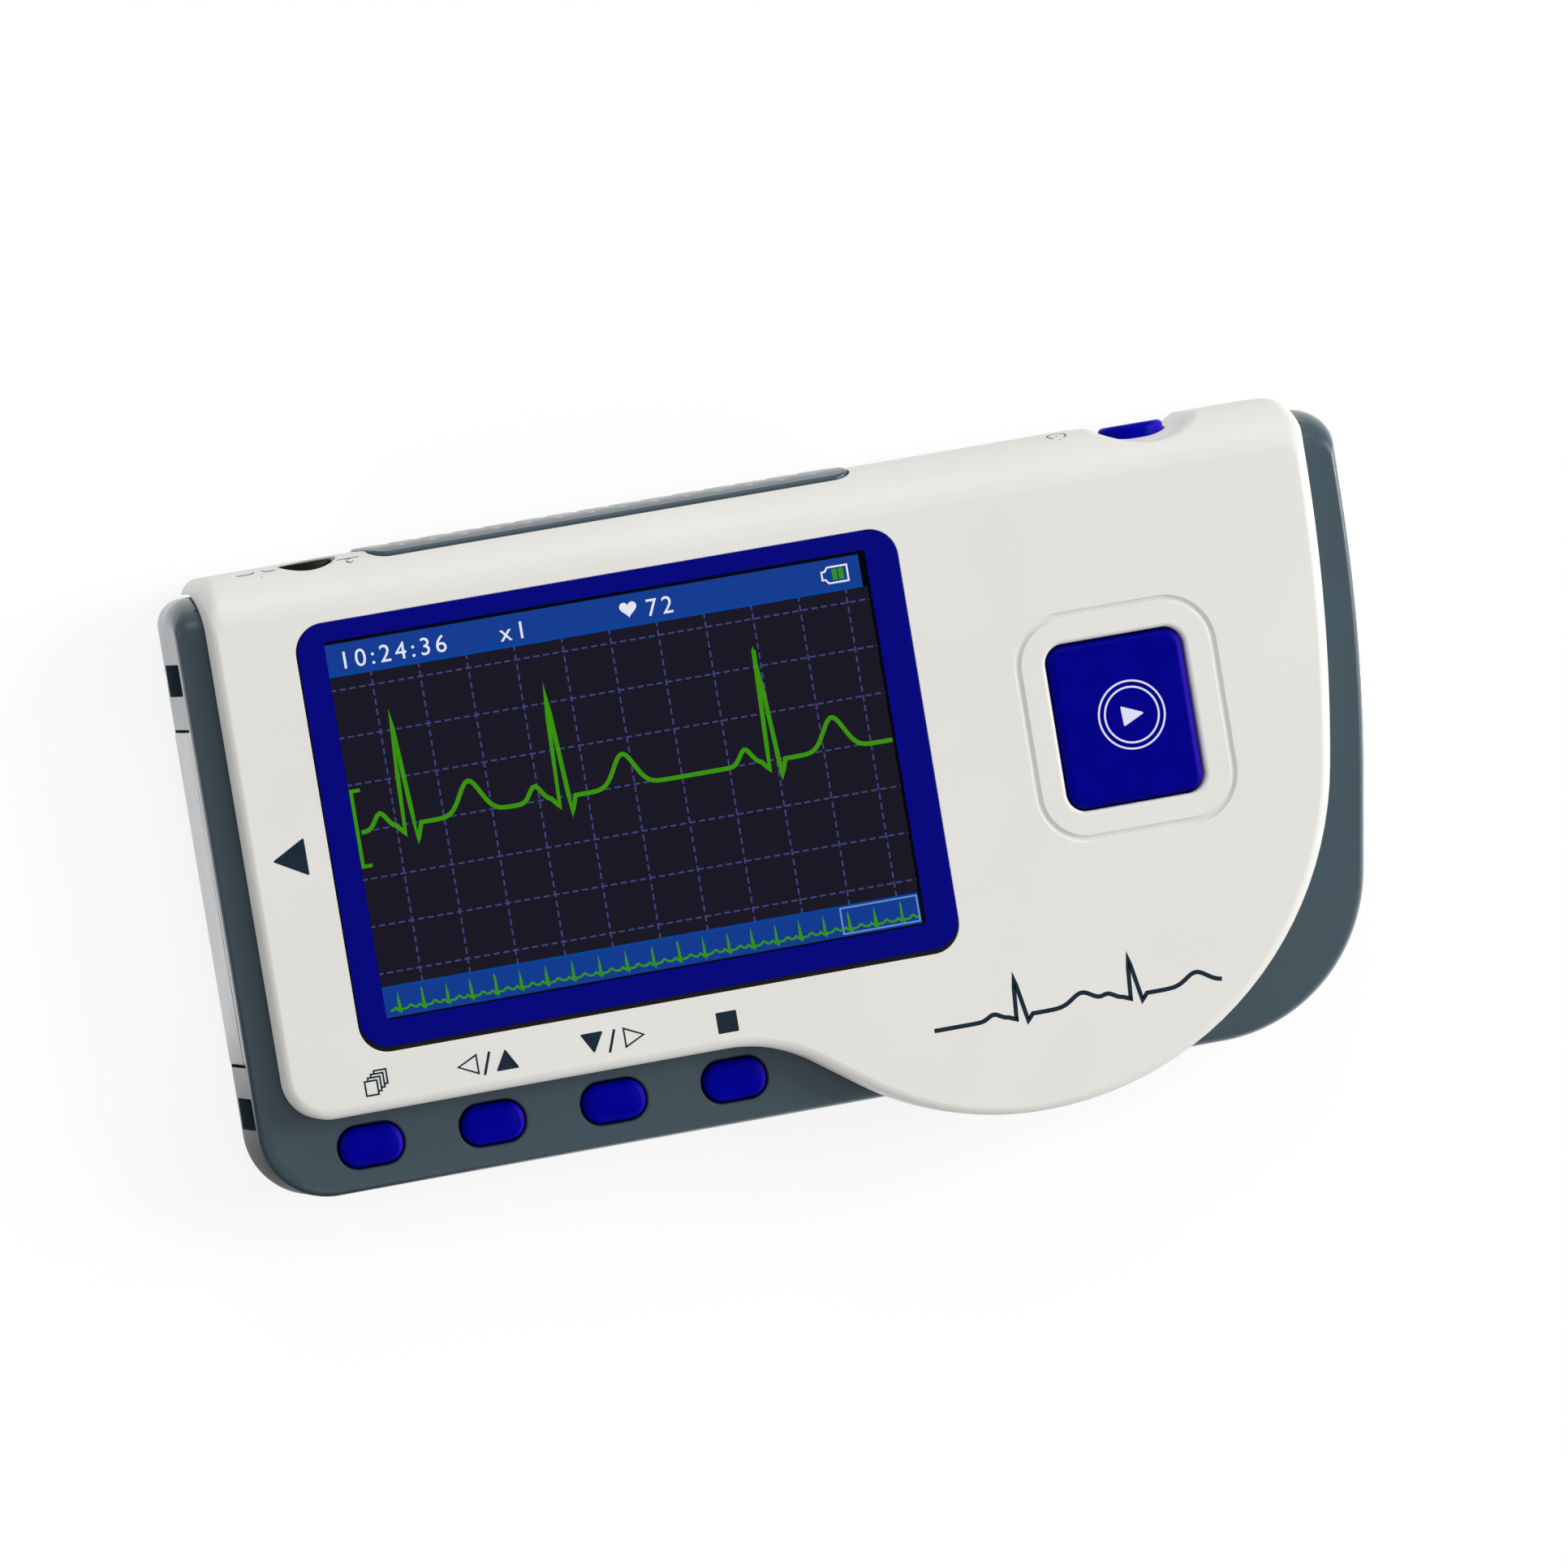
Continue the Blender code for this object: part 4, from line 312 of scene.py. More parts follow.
def cross(first, second):
    """The cross product of plane vectors: x1 y2 - y1 x2."""
    return first[..., 0] * second[..., 1] - first[..., 1] * second[..., 0]


def rounded(corners, facets=FACETS):
    """Points round outlines whose corners (x, y, radius) become arcs.

    An arc starts at radius times the tangent of half the turn before its corner. Its points are its
    centre plus a spoke turned in even steps. Two arcs that would meet on an edge shrink together.
    """
    corners = np.asarray(corners, float)
    places = corners[..., :2]
    arriving, leaving = headings(places)
    turn = np.arctan2(cross(arriving, leaving), (arriving * leaving).sum(-1))
    tangent = np.tan(np.abs(turn) / 2)
    reach = corners[..., 2] * tangent
    length = np.linalg.norm(np.roll(places, -1, -2) - places, axis=-1) * STRAIGHT_SHARE
    share = np.minimum(1, length / (reach + np.roll(reach, -1, -1)))
    reach = reach * np.minimum(share, np.roll(share, 1, -1))
    bend = (reach / tangent * np.sign(turn))[..., None]
    inwards = across(arriving)
    centre = places - arriving * reach[..., None] + inwards * bend
    spoke = (-inwards * bend)[..., None, :]
    angle = turn[..., None, None] * np.linspace(0, 1, facets + 1)[:, None]
    return centre[..., None, :] + spoke * np.cos(angle) + across(spoke) * np.sin(angle)


def ring_of(points):
    """Arc points (..., corners, points, 2) run together into one ring."""
    return points.reshape(*points.shape[:-3], -1, 2)


def moved_in(corners, amounts):
    """Outlines moved inwards, each edge by its own amount, the first one leaving the first corner.

    A corner moves by the vector whose products with the two inward normals are the two amounts, and
    its radius loses their mean where the outline turns left, or gains it where it turns right.
    """
    corners = np.asarray(corners, float)
    arriving, leaving = headings(corners[..., :2])
    before, after = across(arriving), across(leaving)
    second = np.broadcast_to(amounts, np.broadcast_shapes(np.shape(amounts), corners.shape[:-1]))
    first = np.roll(second, 1, -1)
    scale = cross(before, after)
    x = corners[..., 0] + (first * after[..., 1] - second * before[..., 1]) / scale
    y = corners[..., 1] + (second * before[..., 0] - first * after[..., 0]) / scale
    radius = corners[..., 2] - np.sign(cross(arriving, leaving)) * (first + second) / 2
    return np.stack([x, y, np.maximum(radius, SMALL_RADIUS)], axis=-1)


def rectangle(low, high, radius, border=0.0):
    """A rectangle's corners for rounded(), anticlockwise, grown on all sides by a border."""
    left, bottom = np.asarray(low[:2]) - border
    right, top = np.asarray(high[:2]) + border
    places = ((left, bottom), (right, bottom), (right, top), (left, top))
    return np.array([(*place, radius) for place in places])


def circle(middle, radius, facets=4 * FACETS):
    """Points on a circle: its middle plus the radius times cosine and sine of even steps."""
    angle = np.linspace(0, 2 * math.pi, facets, endpoint=False)
    return np.asarray(middle) + radius * np.stack([np.cos(angle), np.sin(angle)], axis=-1)


def placed(points, along, axis="Z"):
    """Plane points given their third coordinate, along the axis named."""
    first, second = points[..., 0], points[..., 1]
    along = np.broadcast_to(along, first.shape)
    order = {"X": (along, first, second), "Y": (first, along, second), "Z": (first, second, along)}
    return np.stack(order[axis], axis=-1)


def quarter_round(radius, low, steps=10):
    """Insets and heights of a rounding that starts upright at a height and ends level."""
    angle = np.linspace(0, math.pi / 2, steps + 1)
    return radius * (1 - np.cos(angle)), low + radius * np.sin(angle)


def linked(name, data):
    """A new object with the data given, put into the scene."""
    made = bpy.data.objects.new(name, data)
    bpy.context.scene.collection.objects.link(made)
    return made


def from_faces(name, points, faces):
    """A closed object from points and faces, with doubles merged and all faces turned outwards."""
    data = bpy.data.meshes.new(name)
    data.from_pydata(np.asarray(points).tolist(), [], faces)
    mesh = bmesh.new()
    mesh.from_mesh(data)
    bmesh.ops.remove_doubles(mesh, verts=mesh.verts, dist=WELD)
    bmesh.ops.recalc_face_normals(mesh, faces=mesh.faces)
    mesh.to_mesh(data)
    mesh.free()
    return linked(name, data)


def surface(name, grid, closed=False):
    """The surface over a grid of points (rings, points round each ring, 3).

    Each quad joins two neighbours on one ring to the same two on the next. The first and last ring
    get flat caps, unless closed joins them to each other.
    """
    count = grid.shape[1]
    index = np.arange(grid.shape[0] * count).reshape(-1, count)
    ahead = np.roll(index, -1, axis=1)
    quads = np.stack([index, ahead, np.roll(ahead, -1, 0), np.roll(index, -1, 0)], axis=-1)
    if closed:
        faces = quads.reshape(-1, 4).tolist()
    else:
        faces = quads[:-1].reshape(-1, 4).tolist()
        faces += [index[0, ::-1].tolist(), index[-1].tolist()]
    return from_faces(name, grid.reshape(-1, 3), faces)


def prism(name, outline, low, high, axis="Z"):
    """An outline extruded along an axis between two places."""
    outline = np.asarray(outline, float)
    return surface(name, np.stack([placed(outline, along, axis) for along in (low, high)]))


def block(name, low, high):
    """A box between two opposite corners, given in any order."""
    low, high = np.minimum(low, high), np.maximum(low, high)
    corners = rectangle(low, high, 0)[:, :2]
    return prism(name, corners, low[2], high[2])


def shaped(name, corners, insets, heights, axis="Z", facets=FACETS):
    """One outline carried through levels, at each of which it is moved inwards by an inset."""
    amounts = np.repeat(np.asarray(insets, float)[:, None], len(corners), axis=1)
    rings = ring_of(rounded(moved_in(corners, amounts), facets))
    return surface(name, placed(rings, np.asarray(heights)[:, None], axis))


def turned(name, radii, places, middle, axis="Z", closed=False, facets=4 * FACETS):
    """A round piece: each radius makes a circle at its place along the axis."""
    angle = np.linspace(0, 2 * math.pi, facets, endpoint=False)
    unit = np.stack([np.cos(angle), np.sin(angle)], axis=-1)
    rings = np.asarray(middle) + np.asarray(radii)[:, None, None] * unit
    return surface(name, placed(rings, np.asarray(places)[:, None], axis), closed)


def coil(name, start, end, wide, narrow, turns, wire, middle):
    """A spring along X: a round wire carried along a helix that narrows evenly.

    The path is (start to end, radius cos t, radius sin t), and its first and last three quarters of a
    turn are flat. The wire's section stands in the plane of the radius and of X, which a flat pitch
    keeps nearly square to the path.
    """
    share = np.linspace(0, 1, int(turns * 48) + 1)
    lead = np.clip((share * turns - 0.75) / (turns - 1.5), 0, 1)
    radius = wide + (narrow - wide) * lead
    angle = 2 * math.pi * turns * share
    around = np.linspace(0, 2 * math.pi, 12, endpoint=False)
    out = radius[:, None] + wire * np.cos(around)
    x = (start + (end - start) * lead)[:, None] + wire * np.sin(around)
    y = middle[0] + out * np.cos(angle)[:, None]
    z = middle[1] + out * np.sin(angle)[:, None]
    return surface(name, np.stack([x, y, z], axis=-1))


def remove(*objects):
    """Deletes objects with their meshes."""
    for old in objects:
        data = old.data
        bpy.data.objects.remove(old)
        bpy.data.meshes.remove(data)


def merged(name, parts):
    """One object made of several, which lose their own."""
    mesh = bmesh.new()
    for part in parts:
        mesh.from_mesh(part.data)
    remove(*parts)
    data = bpy.data.meshes.new(name)
    mesh.to_mesh(data)
    mesh.free()
    return linked(name, data)


def carve(piece, operation, *tools):
    """Joins tools to a piece, or cuts them out of it, and removes them."""
    for tool in tools:
        modifier = piece.modifiers.new(tool.name, "BOOLEAN")
        modifier.operation = operation
        modifier.solver = "EXACT"
        modifier.object = tool
    graph = bpy.context.evaluated_depsgraph_get()
    result = bpy.data.meshes.new_from_object(piece.evaluated_get(graph))
    old = piece.data
    piece.modifiers.clear()
    piece.data = result
    bpy.data.meshes.remove(old)
    remove(*tools)
    return piece


def finish(piece, body, slot, finish_material, *nodes):
    """Gives a piece smooth faces with sharp creases, a finish, a body and the nodes it stands for."""
    piece.data.shade_smooth()
    piece.data.set_sharp_from_angle(angle=CREASE)
    weighted = piece.modifiers.new("even_normals", "WEIGHTED_NORMAL")
    weighted.keep_sharp = True
    piece.data.materials.clear()
    piece.data.materials.append(finish_material)
    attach(piece, body)
    if nodes:
        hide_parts(*nodes)
    return piece


def ribbon(name, path, width, low, high, closed=False):
    """A flat strip along a line: at each point its two sides lie half a width off, along the mitre.

    The mitre is the sum of both neighbours' normals, stretched so that the strip keeps its width, by
    twice at most.
    """
    path = np.asarray(path, float)
    steps = np.roll(path, -1, axis=0) - path
    if not closed:
        steps[-1] = steps[-2]
    normal = across(steps / np.linalg.norm(steps, axis=1, keepdims=True))
    before = np.roll(normal, 1, axis=0)
    if not closed:
        before[0] = normal[0]
    mitre = normal + before
    mitre /= np.linalg.norm(mitre, axis=1, keepdims=True)
    stretch = np.clip((mitre * normal).sum(1, keepdims=True), 0.5, 1)
    side = mitre / stretch * width / 2
    rings = [placed(path + sign * side, z) for sign, z in ((1, low), (-1, low), (-1, high), (1, high))]
    return surface(name, np.stack(rings, axis=1), closed)


CAPITAL_HEIGHT = 0.7  # of Blender's own font at size 1


def lettering(name, words, place, height, low, thickness):
    """Words in Blender's own font, as a thin closed solid whose foot stands at a place."""
    curve = bpy.data.curves.new(name, "FONT")
    curve.body = words
    curve.space_character = 1.3
    curve.resolution_u = 6
    curve.extrude = 0.5
    holder = linked(name, curve)
    graph = bpy.context.evaluated_depsgraph_get()
    data = bpy.data.meshes.new_from_object(holder.evaluated_get(graph))
    bpy.data.objects.remove(holder)
    bpy.data.curves.remove(curve)
    scale = height / CAPITAL_HEIGHT
    data.transform(
        Matrix.Translation((place[0], place[1], low + thickness / 2))
        @ Matrix.Diagonal((scale, scale, thickness, 1))
    )
    return linked(name, data)


# Finishes

def tone(red, green, blue):
    """A colour as a screen shows it, from 0 to 255, turned into linear light."""
    shown = np.array((red, green, blue)) / 255
    linear = np.where(shown <= 0.04045, shown / 12.92, ((shown + 0.055) / 1.055) ** 2.4)
    return (*linear.tolist(), 1.0)


def grey(level):
    """An opaque grey in linear light."""
    return (level, level, level, 1.0)


class Shade:
    """A node's output in a Python expression: each operator adds the Math node of its name."""

    def __init__(self, surface_of, socket):
        self.surface = surface_of
        self.socket = socket

    def math(self, operation, *values):
        """Adds a Math node whose inputs are the values."""
        return self.surface.node("ShaderNodeMath", {"operation": operation}, dict(enumerate(values)))

    def __add__(self, other):
        return self.math("ADD", self, other)

    def __sub__(self, other):
        return self.math("SUBTRACT", self, other)

    def __mul__(self, other):
        return self.math("MULTIPLY", self, other)

    def __truediv__(self, other):
        return self.math("DIVIDE", self, other)

    def __rsub__(self, other):
        return self.math("SUBTRACT", other, self)

    def __rtruediv__(self, other):
        return self.math("DIVIDE", other, self)

    def __gt__(self, other):
        return self.math("GREATER_THAN", self, other)

    def __lt__(self, other):
        return self.math("LESS_THAN", self, other)

    def __abs__(self):
        return self.math("ABSOLUTE", self)

    def fraction(self):
        """The part after the decimal point."""
        return self.math("FRACT", self)

    __radd__ = __add__
    __rmul__ = __mul__


class Network:
    """A node tree, to which nodes are added with their settings and inputs."""

    def __init__(self, tree):
        self.tree = tree

    def feed(self, node, inputs):
        """Gives a node's inputs their values, or links them to other nodes' outputs."""
        for key, value in inputs.items():
            if isinstance(value, Shade):
                self.tree.links.new(value.socket, node.inputs[key])
            else:
                node.inputs[key].default_value = value

    def node(self, kind, settings=None, inputs=None, output=0):
        """Adds a node: its settings first, then its sockets' values or links. Gives one output."""
        made = self.tree.nodes.new(kind)
        for key, value in (settings or {}).items():
            if key == "stops":
                for index, (place, colour) in enumerate(value):
                    stops = made.color_ramp.elements
                    stop = stops[index] if index < 2 else stops.new(place)
                    stop.position = place
                    stop.color = colour
            else:
                setattr(made, key, value)
        self.feed(made, inputs or {})
        return Shade(self, made.outputs[output])

    def seen_background(self):
        """1 for what the camera sees, straight or by reflection or through glass, and 0 for light."""
        rays = [
            self.node("ShaderNodeLightPath", output=f"Is {ray} Ray")
            for ray in ("Camera", "Glossy", "Transmission")
        ]
        return rays[0].math("MAXIMUM", rays[0].math("MAXIMUM", rays[0], rays[1]), rays[2])


class Surface(Network):
    """A material with a Principled shader and the nodes that feed it."""

    def __init__(self, name, **constants):
        self.material = bpy.data.materials.new(name)
        self.material.use_nodes = True
        super().__init__(self.material.node_tree)
        self.shader = self.tree.nodes["Principled BSDF"]
        self.feed(self.shader, {key.replace("_", " "): value for key, value in constants.items()})

    def position(self):
        """The place of the shaded point, in metres."""
        return self.node("ShaderNodeTexCoord", output="Object")

    def split(self, vector):
        """The three parts of a vector."""
        parts = ("X", "Y", "Z")
        return [self.node("ShaderNodeSeparateXYZ", None, {"Vector": vector}, part) for part in parts]

    def coordinates(self):
        """The three coordinates of the shaded point, in metres."""
        return self.split(self.position())

    def facing(self):
        """The three parts of the surface's own normal."""
        return self.split(self.node("ShaderNodeTexCoord", output="Normal"))

    def stretched(self, factors):
        """The position with each coordinate multiplied, for a grain that runs one way."""
        inputs = {0: self.position(), 1: factors}
        return self.node("ShaderNodeVectorMath", {"operation": "MULTIPLY"}, inputs)

    def noise(self, size, detail=2.0, vector=None, output="Fac"):
        """Noise whose grains are about as wide as the size given."""
        inputs = {"Vector": vector or self.position(), "Scale": 1 / size, "Detail": detail}
        return self.node("ShaderNodeTexNoise", None, inputs, output)

    def mix(self, factor, first, second):
        """A colour between two others."""
        settings = {"data_type": "RGBA"}
        return self.node("ShaderNodeMix", settings, {0: factor, 6: first, 7: second}, 2)

    def span(self, value, low, high, to_low=0.0, to_high=1.0):
        """A value carried from one range to another, and held at its ends."""
        inputs = {0: value, 1: low, 2: high, 3: to_low, 4: to_high}
        return self.node("ShaderNodeMapRange", {"clamp": True}, inputs)

    def bump(self, height, distance, strength=1.0):
        """Normals of a relief whose highest point stands a distance out."""
        inputs = {"Height": height, "Distance": distance, "Strength": strength}
        return self.node("ShaderNodeBump", None, inputs)

    def set(self, **inputs):
        """Feeds the shader's inputs, and gives the material."""
        self.feed(self.shader, {key.replace("_", " "): value for key, value in inputs.items()})
        return self.material


def shaded_colour(colour, factor, lift=0.0):
    """A colour with its light multiplied and raised, and held between black and white."""
    return tuple(min(1.0, part * factor + lift) for part in colour[:3]) + (1.0,)


def moulded_plastic(name, colour, rough, grain, relief, shine=0.4, glaze=0.0):
    """Moulded plastic: spark-eroded grain, a slow drift of tone and patches that hands have polished.

    A glaze is a coat that shows only where the surface is seen aslant.
    """
    made = Surface(name, Specular_IOR_Level=shine, Coat_Roughness=0.18)
    drift = made.noise(18 * MM, 3.0)
    fine = made.noise(grain, 2.0)
    polish = made.noise(9 * MM, 4.0)
    tinted = made.mix(made.span(drift, 0.35, 0.65), shaded_colour(colour, 0.97), colour)
    tinted = made.mix(made.span(fine, 0.55, 0.75, 0.0, 0.5), tinted, shaded_colour(colour, 0.95))
    roughness = made.span(polish, 0.3, 0.7, rough - 0.05, rough + 0.05)
    if glaze:
        facing = made.node("ShaderNodeFresnel", None, {"IOR": 1.45})
        made.set(Coat_Weight=made.span(facing, 0.038, 0.075, 0.0, glaze))
    return made.set(Base_Color=tinted, Roughness=roughness, Normal=made.bump(fine, relief))


def key_plastic(name, colour, painted_highlight_colour):
    """Tinted plastic of the keys: deep blue, with a painted violet highlight where the edge faces right.

    The painted highlight grows with the normal's part along X, from nothing at 0.25 to full at 0.8.
    """
    made = Surface(name, Specular_IOR_Level=0.03)
    waves = made.noise(3 * MM, 2.0)
    fine = made.noise(0.12 * MM, 2.0)
    right, _, _ = made.facing()
    tinted = made.mix(made.span(waves, 0.35, 0.65), colour, shaded_colour(colour, 1.15))
    # painted highlight: violet on edges that face right, towards the key lamp
    tinted = made.mix(made.span(right, 0.25, 0.8), tinted, painted_highlight_colour)
    roughness = made.span(waves, 0.3, 0.7, 0.3, 0.38)
    return made.set(Base_Color=tinted, Roughness=roughness, Normal=made.bump(fine, 0.001 * MM))


def border_print(name, colour):
    """Blue print on the pane: a faint screen-printed mottle under a gloss that shows only aslant."""
    made = Surface(name, Specular_IOR_Level=0.02, Roughness=0.5, Coat_Roughness=0.1)
    mottle = made.noise(0.3 * MM, 3.0)
    gloss = made.span(made.node("ShaderNodeFresnel", None, {"IOR": 1.4}), 0.05, 0.3, 0.0, 1.0)
    tinted = made.mix(made.span(mottle, 0.4, 0.7), colour, shaded_colour(colour, 0.94))
    return made.set(Base_Color=tinted, Coat_Weight=gloss)


def brushed_steel(name, along, colour=(0.66, 0.67, 0.67, 1.0), rough=0.3):
    """Brushed plate: fine scratches drawn out along one axis, with a few deeper ones."""
    made = Surface(name, Metallic=1.0)
    factors = [1.0, 1.0, 1.0]
    factors["XYZ".index(along)] = 0.03
    drawn = made.stretched(factors)
    hair = made.noise(0.05 * MM, 3.0, drawn)
    scratch = made.noise(0.22 * MM, 2.0, drawn)
    tinted = made.mix(made.span(scratch, 0.35, 0.7), colour, shaded_colour(colour, 0.78))
    roughness = made.span(hair, 0.3, 0.7, rough - 0.08, rough + 0.1)
    return made.set(Base_Color=tinted, Roughness=roughness, Normal=made.bump(hair, 0.003 * MM))


def ink(name, colour):
    """Printed ink: flat, a little uneven in density, with a soft sheen."""
    made = Surface(name, Specular_IOR_Level=0.1)
    density = made.noise(0.25 * MM, 3.0)
    tinted = made.mix(made.span(density, 0.45, 0.75), colour, shaded_colour(colour, 0.9, 0.012))
    return made.set(Base_Color=tinted, Roughness=made.span(density, 0.3, 0.7, 0.4, 0.5))


def glowing(name, colour):
    """A lit mark on the display, a little uneven from pixel to pixel."""
    made = Surface(name, Emission_Strength=1.0, Roughness=0.6, Specular_IOR_Level=0.0)
    pixel = made.noise(0.12 * MM, 1.0)
    lit = made.mix(made.span(pixel, 0.4, 0.6), shaded_colour(colour, 0.88), colour)
    return made.set(Base_Color=grey(0.0), Emission_Color=lit)


def clear_pane(name):
    """Clear acrylic over the screen: it passes light straight through, and mirrors when seen aslant."""
    made = Surface(name)
    waves = made.noise(7 * MM, 2.0)
    clear = made.node("ShaderNodeBsdfTransparent")
    mirror = made.node("ShaderNodeBsdfGlossy", None, {"Roughness": 0.1, "Color": (0.9, 0.93, 1.0, 1.0)})
    facing = made.node("ShaderNodeFresnel", None, {"IOR": 1.4, "Normal": made.bump(waves, 0.002 * MM)})
    mirrored = made.span(facing, 0.04, 1.0, 0.0, 0.4)
    mixed = made.node("ShaderNodeMixShader", None, {0: mirrored, 1: clear, 2: mirror})
    output = made.tree.nodes["Material Output"]
    made.tree.links.new(mixed.socket, output.inputs["Surface"])
    return made.material


def display(name, sizes):
    """The lit display: two bars with a bright line, a field with a dashed grid, and a dark margin of
    painted shade.

    A grid line shows where the distance to the nearest multiple of the pitch is under half its
    width, and its dashes where the fraction of the place along it is under a share.
    """
    made = Surface(name, Emission_Strength=1.0, Roughness=0.5, Specular_IOR_Level=0.0)
    x, y, _ = made.coordinates()
    lines = []
    for place, along, start, pitch in (
        (x, y, SCREEN_LOW[0] + sizes.grid_left, sizes.grid_pitch),
        (y, x, SCREEN_LOW[1] + sizes.grid_bottom, sizes.grid_rise),
    ):
        turns = (place - start) / pitch + 0.5
        near = abs(turns.fraction() - 0.5) < sizes.grid_width / pitch / 2
        dash = ((along - SCREEN_LOW[0]) / sizes.grid_dash).fraction() < DASH_SHARE
        lines.append(near * dash)
    grid = lines[0].math("MAXIMUM", lines[0], lines[1])
    field = made.mix(grid, tone(28, 26, 38), tone(66, 68, 124))
    bar_foot = SCREEN_HIGH[1] - sizes.top_bar
    strip_top = SCREEN_LOW[1] + sizes.bottom_bar
    bar = made.mix(y > bar_foot + BRIGHT_LINE, tone(9, 69, 157), tone(23, 62, 146))
    strip = made.mix(y > strip_top - BRIGHT_LINE, tone(21, 60, 144), tone(12, 68, 152))
    shown = made.mix(y > bar_foot, field, bar)
    shown = made.mix(y < strip_top, shown, strip)
    right = SCREEN_HIGH[0] + SCREEN_MARGIN
    right = right - (y > bar_foot) * SCREEN_MARGIN - (y < strip_top) * (0.1 * MM)
    # painted shade: outside the lit area the panel turns near black, standing for the shadow line at the
    # window's inner edge
    lit = (x > SCREEN_LOW[0] + 0.2 * MM) * (x < right)
    lit = lit * (y > SCREEN_LOW[1]) * (y < SCREEN_HIGH[1] - 0.1 * MM)
    shown = made.mix(lit, tone(6, 8, 14), shown)
    pixel = made.noise(0.1 * MM, 1.0)
    shown = made.mix(made.span(pixel, 0.3, 0.7, 0.0, 0.06), shown, grey(0.0))
    return made.set(Base_Color=grey(0.0), Emission_Color=shown)


def cell_wrap(name, node, points_right):
    """A battery cell: a dark printed wrap with a lighter band at the nub's end, and bright steel ends.

    The ends are bare where the point lies nearer to the cell's axis than the crimp's radius.
    """
    low, high = node_box(node)
    made = Surface(name, Specular_IOR_Level=0.4)
    x, y, z = made.coordinates()
    middle = node_middle(node)
    height, depth = y - float(middle[1]), z - float(middle[2])
    square = height * height + depth * depth
    inside = square.math("SQRT", square) < CRIMP_RADIUS
    print_edge = float(high[0] - CELL_BAND if points_right else low[0] + CELL_BAND)
    banded = (x > print_edge) if points_right else (x < print_edge)
    paper = made.noise(0.6 * MM, 3.0)
    wrap = made.mix(banded, tone(38, 40, 46), tone(150, 152, 150))
    wrap = made.mix(made.span(paper, 0.4, 0.8, 0.0, 0.3), wrap, tone(20, 20, 22))
    tinted = made.mix(inside, wrap, (0.66, 0.65, 0.62, 1.0))
    roughness = made.span(made.noise(1.5 * MM, 3.0), 0.3, 0.7, 0.25, 0.35)
    return made.set(Base_Color=tinted, Roughness=roughness, Metallic=inside)


def circuit_board(name):
    """Solder mask over copper, with a fine weave.

    A track shows where the fraction of six times a cell pattern's distance lies near a half.
    """
    made = Surface(name, Specular_IOR_Level=0.5)
    settings = {"distance": "MANHATTAN", "feature": "F1"}
    inputs = {"Vector": made.position(), "Scale": 1 / (4 * MM)}
    run = made.node("ShaderNodeTexVoronoi", settings, inputs, "Distance")
    track = abs((run * 6).fraction() - 0.5) < 0.14
    weave = made.noise(0.3 * MM, 2.0)
    mask = made.mix(made.span(weave, 0.4, 0.6, 0.0, 0.4), tone(10, 84, 52), tone(8, 66, 42))
    tinted = made.mix(track, mask, tone(34, 122, 70))
    return made.set(Base_Color=tinted, Roughness=made.span(weave, 0.3, 0.7, 0.3, 0.42))


def flat_cable(name):
    """Polyimide film over fine copper lines that run along Y, half a millimetre apart."""
    made = Surface(name, Specular_IOR_Level=0.5)
    x, _, _ = made.coordinates()
    line = (x / (0.5 * MM)).fraction() < 0.5
    mottle = made.noise(0.8 * MM, 3.0)
    film = made.mix(line, tone(196, 120, 32), tone(176, 92, 22))
    film = made.mix(made.span(mottle, 0.4, 0.7, 0.0, 0.3), film, tone(150, 80, 20))
    return made.set(Base_Color=film, Roughness=made.span(mottle, 0.3, 0.7, 0.22, 0.34))


# Front cover

def cover_outline():
    """The cover's outline: straight at the left and top, and bulged at the lower right."""
    knee = COVER_LEFT + KNEE_INSET
    heel = knee + BULGE_DROP / math.tan(BULGE_ANGLE)
    return np.array([
        (COVER_LEFT, COVER_BOTTOM, COVER_CORNER),
        (knee, COVER_BOTTOM, KNEE_RADIUS),
        (heel, BULGE_BOTTOM, HEEL_RADIUS),
        (COVER_RIGHT - BULGE_TAPER, BULGE_BOTTOM, BULGE_RADIUS),
        (COVER_RIGHT, BULGE_BOTTOM + BULGE_TAPER_HEIGHT, SIDE_RADIUS),
        (COVER_RIGHT, COVER_TOP, TOP_RIGHT_CORNER),
        (COVER_LEFT, COVER_TOP, TOP_LEFT_CORNER),
    ])


def scoop_depth(x, z, depth):
    """How far the top side dips round the power button.

    The distance from its middle line is measured in half lengths, and above its middle height in
    half heights too, and the depth falls smoothly as 3 s^2 - 2 s^3 to the rim.
    """
    rise = np.maximum(0, z - SCOOP_Z) / SCOOP_HALF_HEIGHT
    away = np.hypot((x - SCOOP_X) / SCOOP_HALF_LENGTH, rise)
    share = np.clip((1 - away) / SCOOP_SOFTNESS, 0, 1)
    return depth * share * share * (3 - 2 * share)


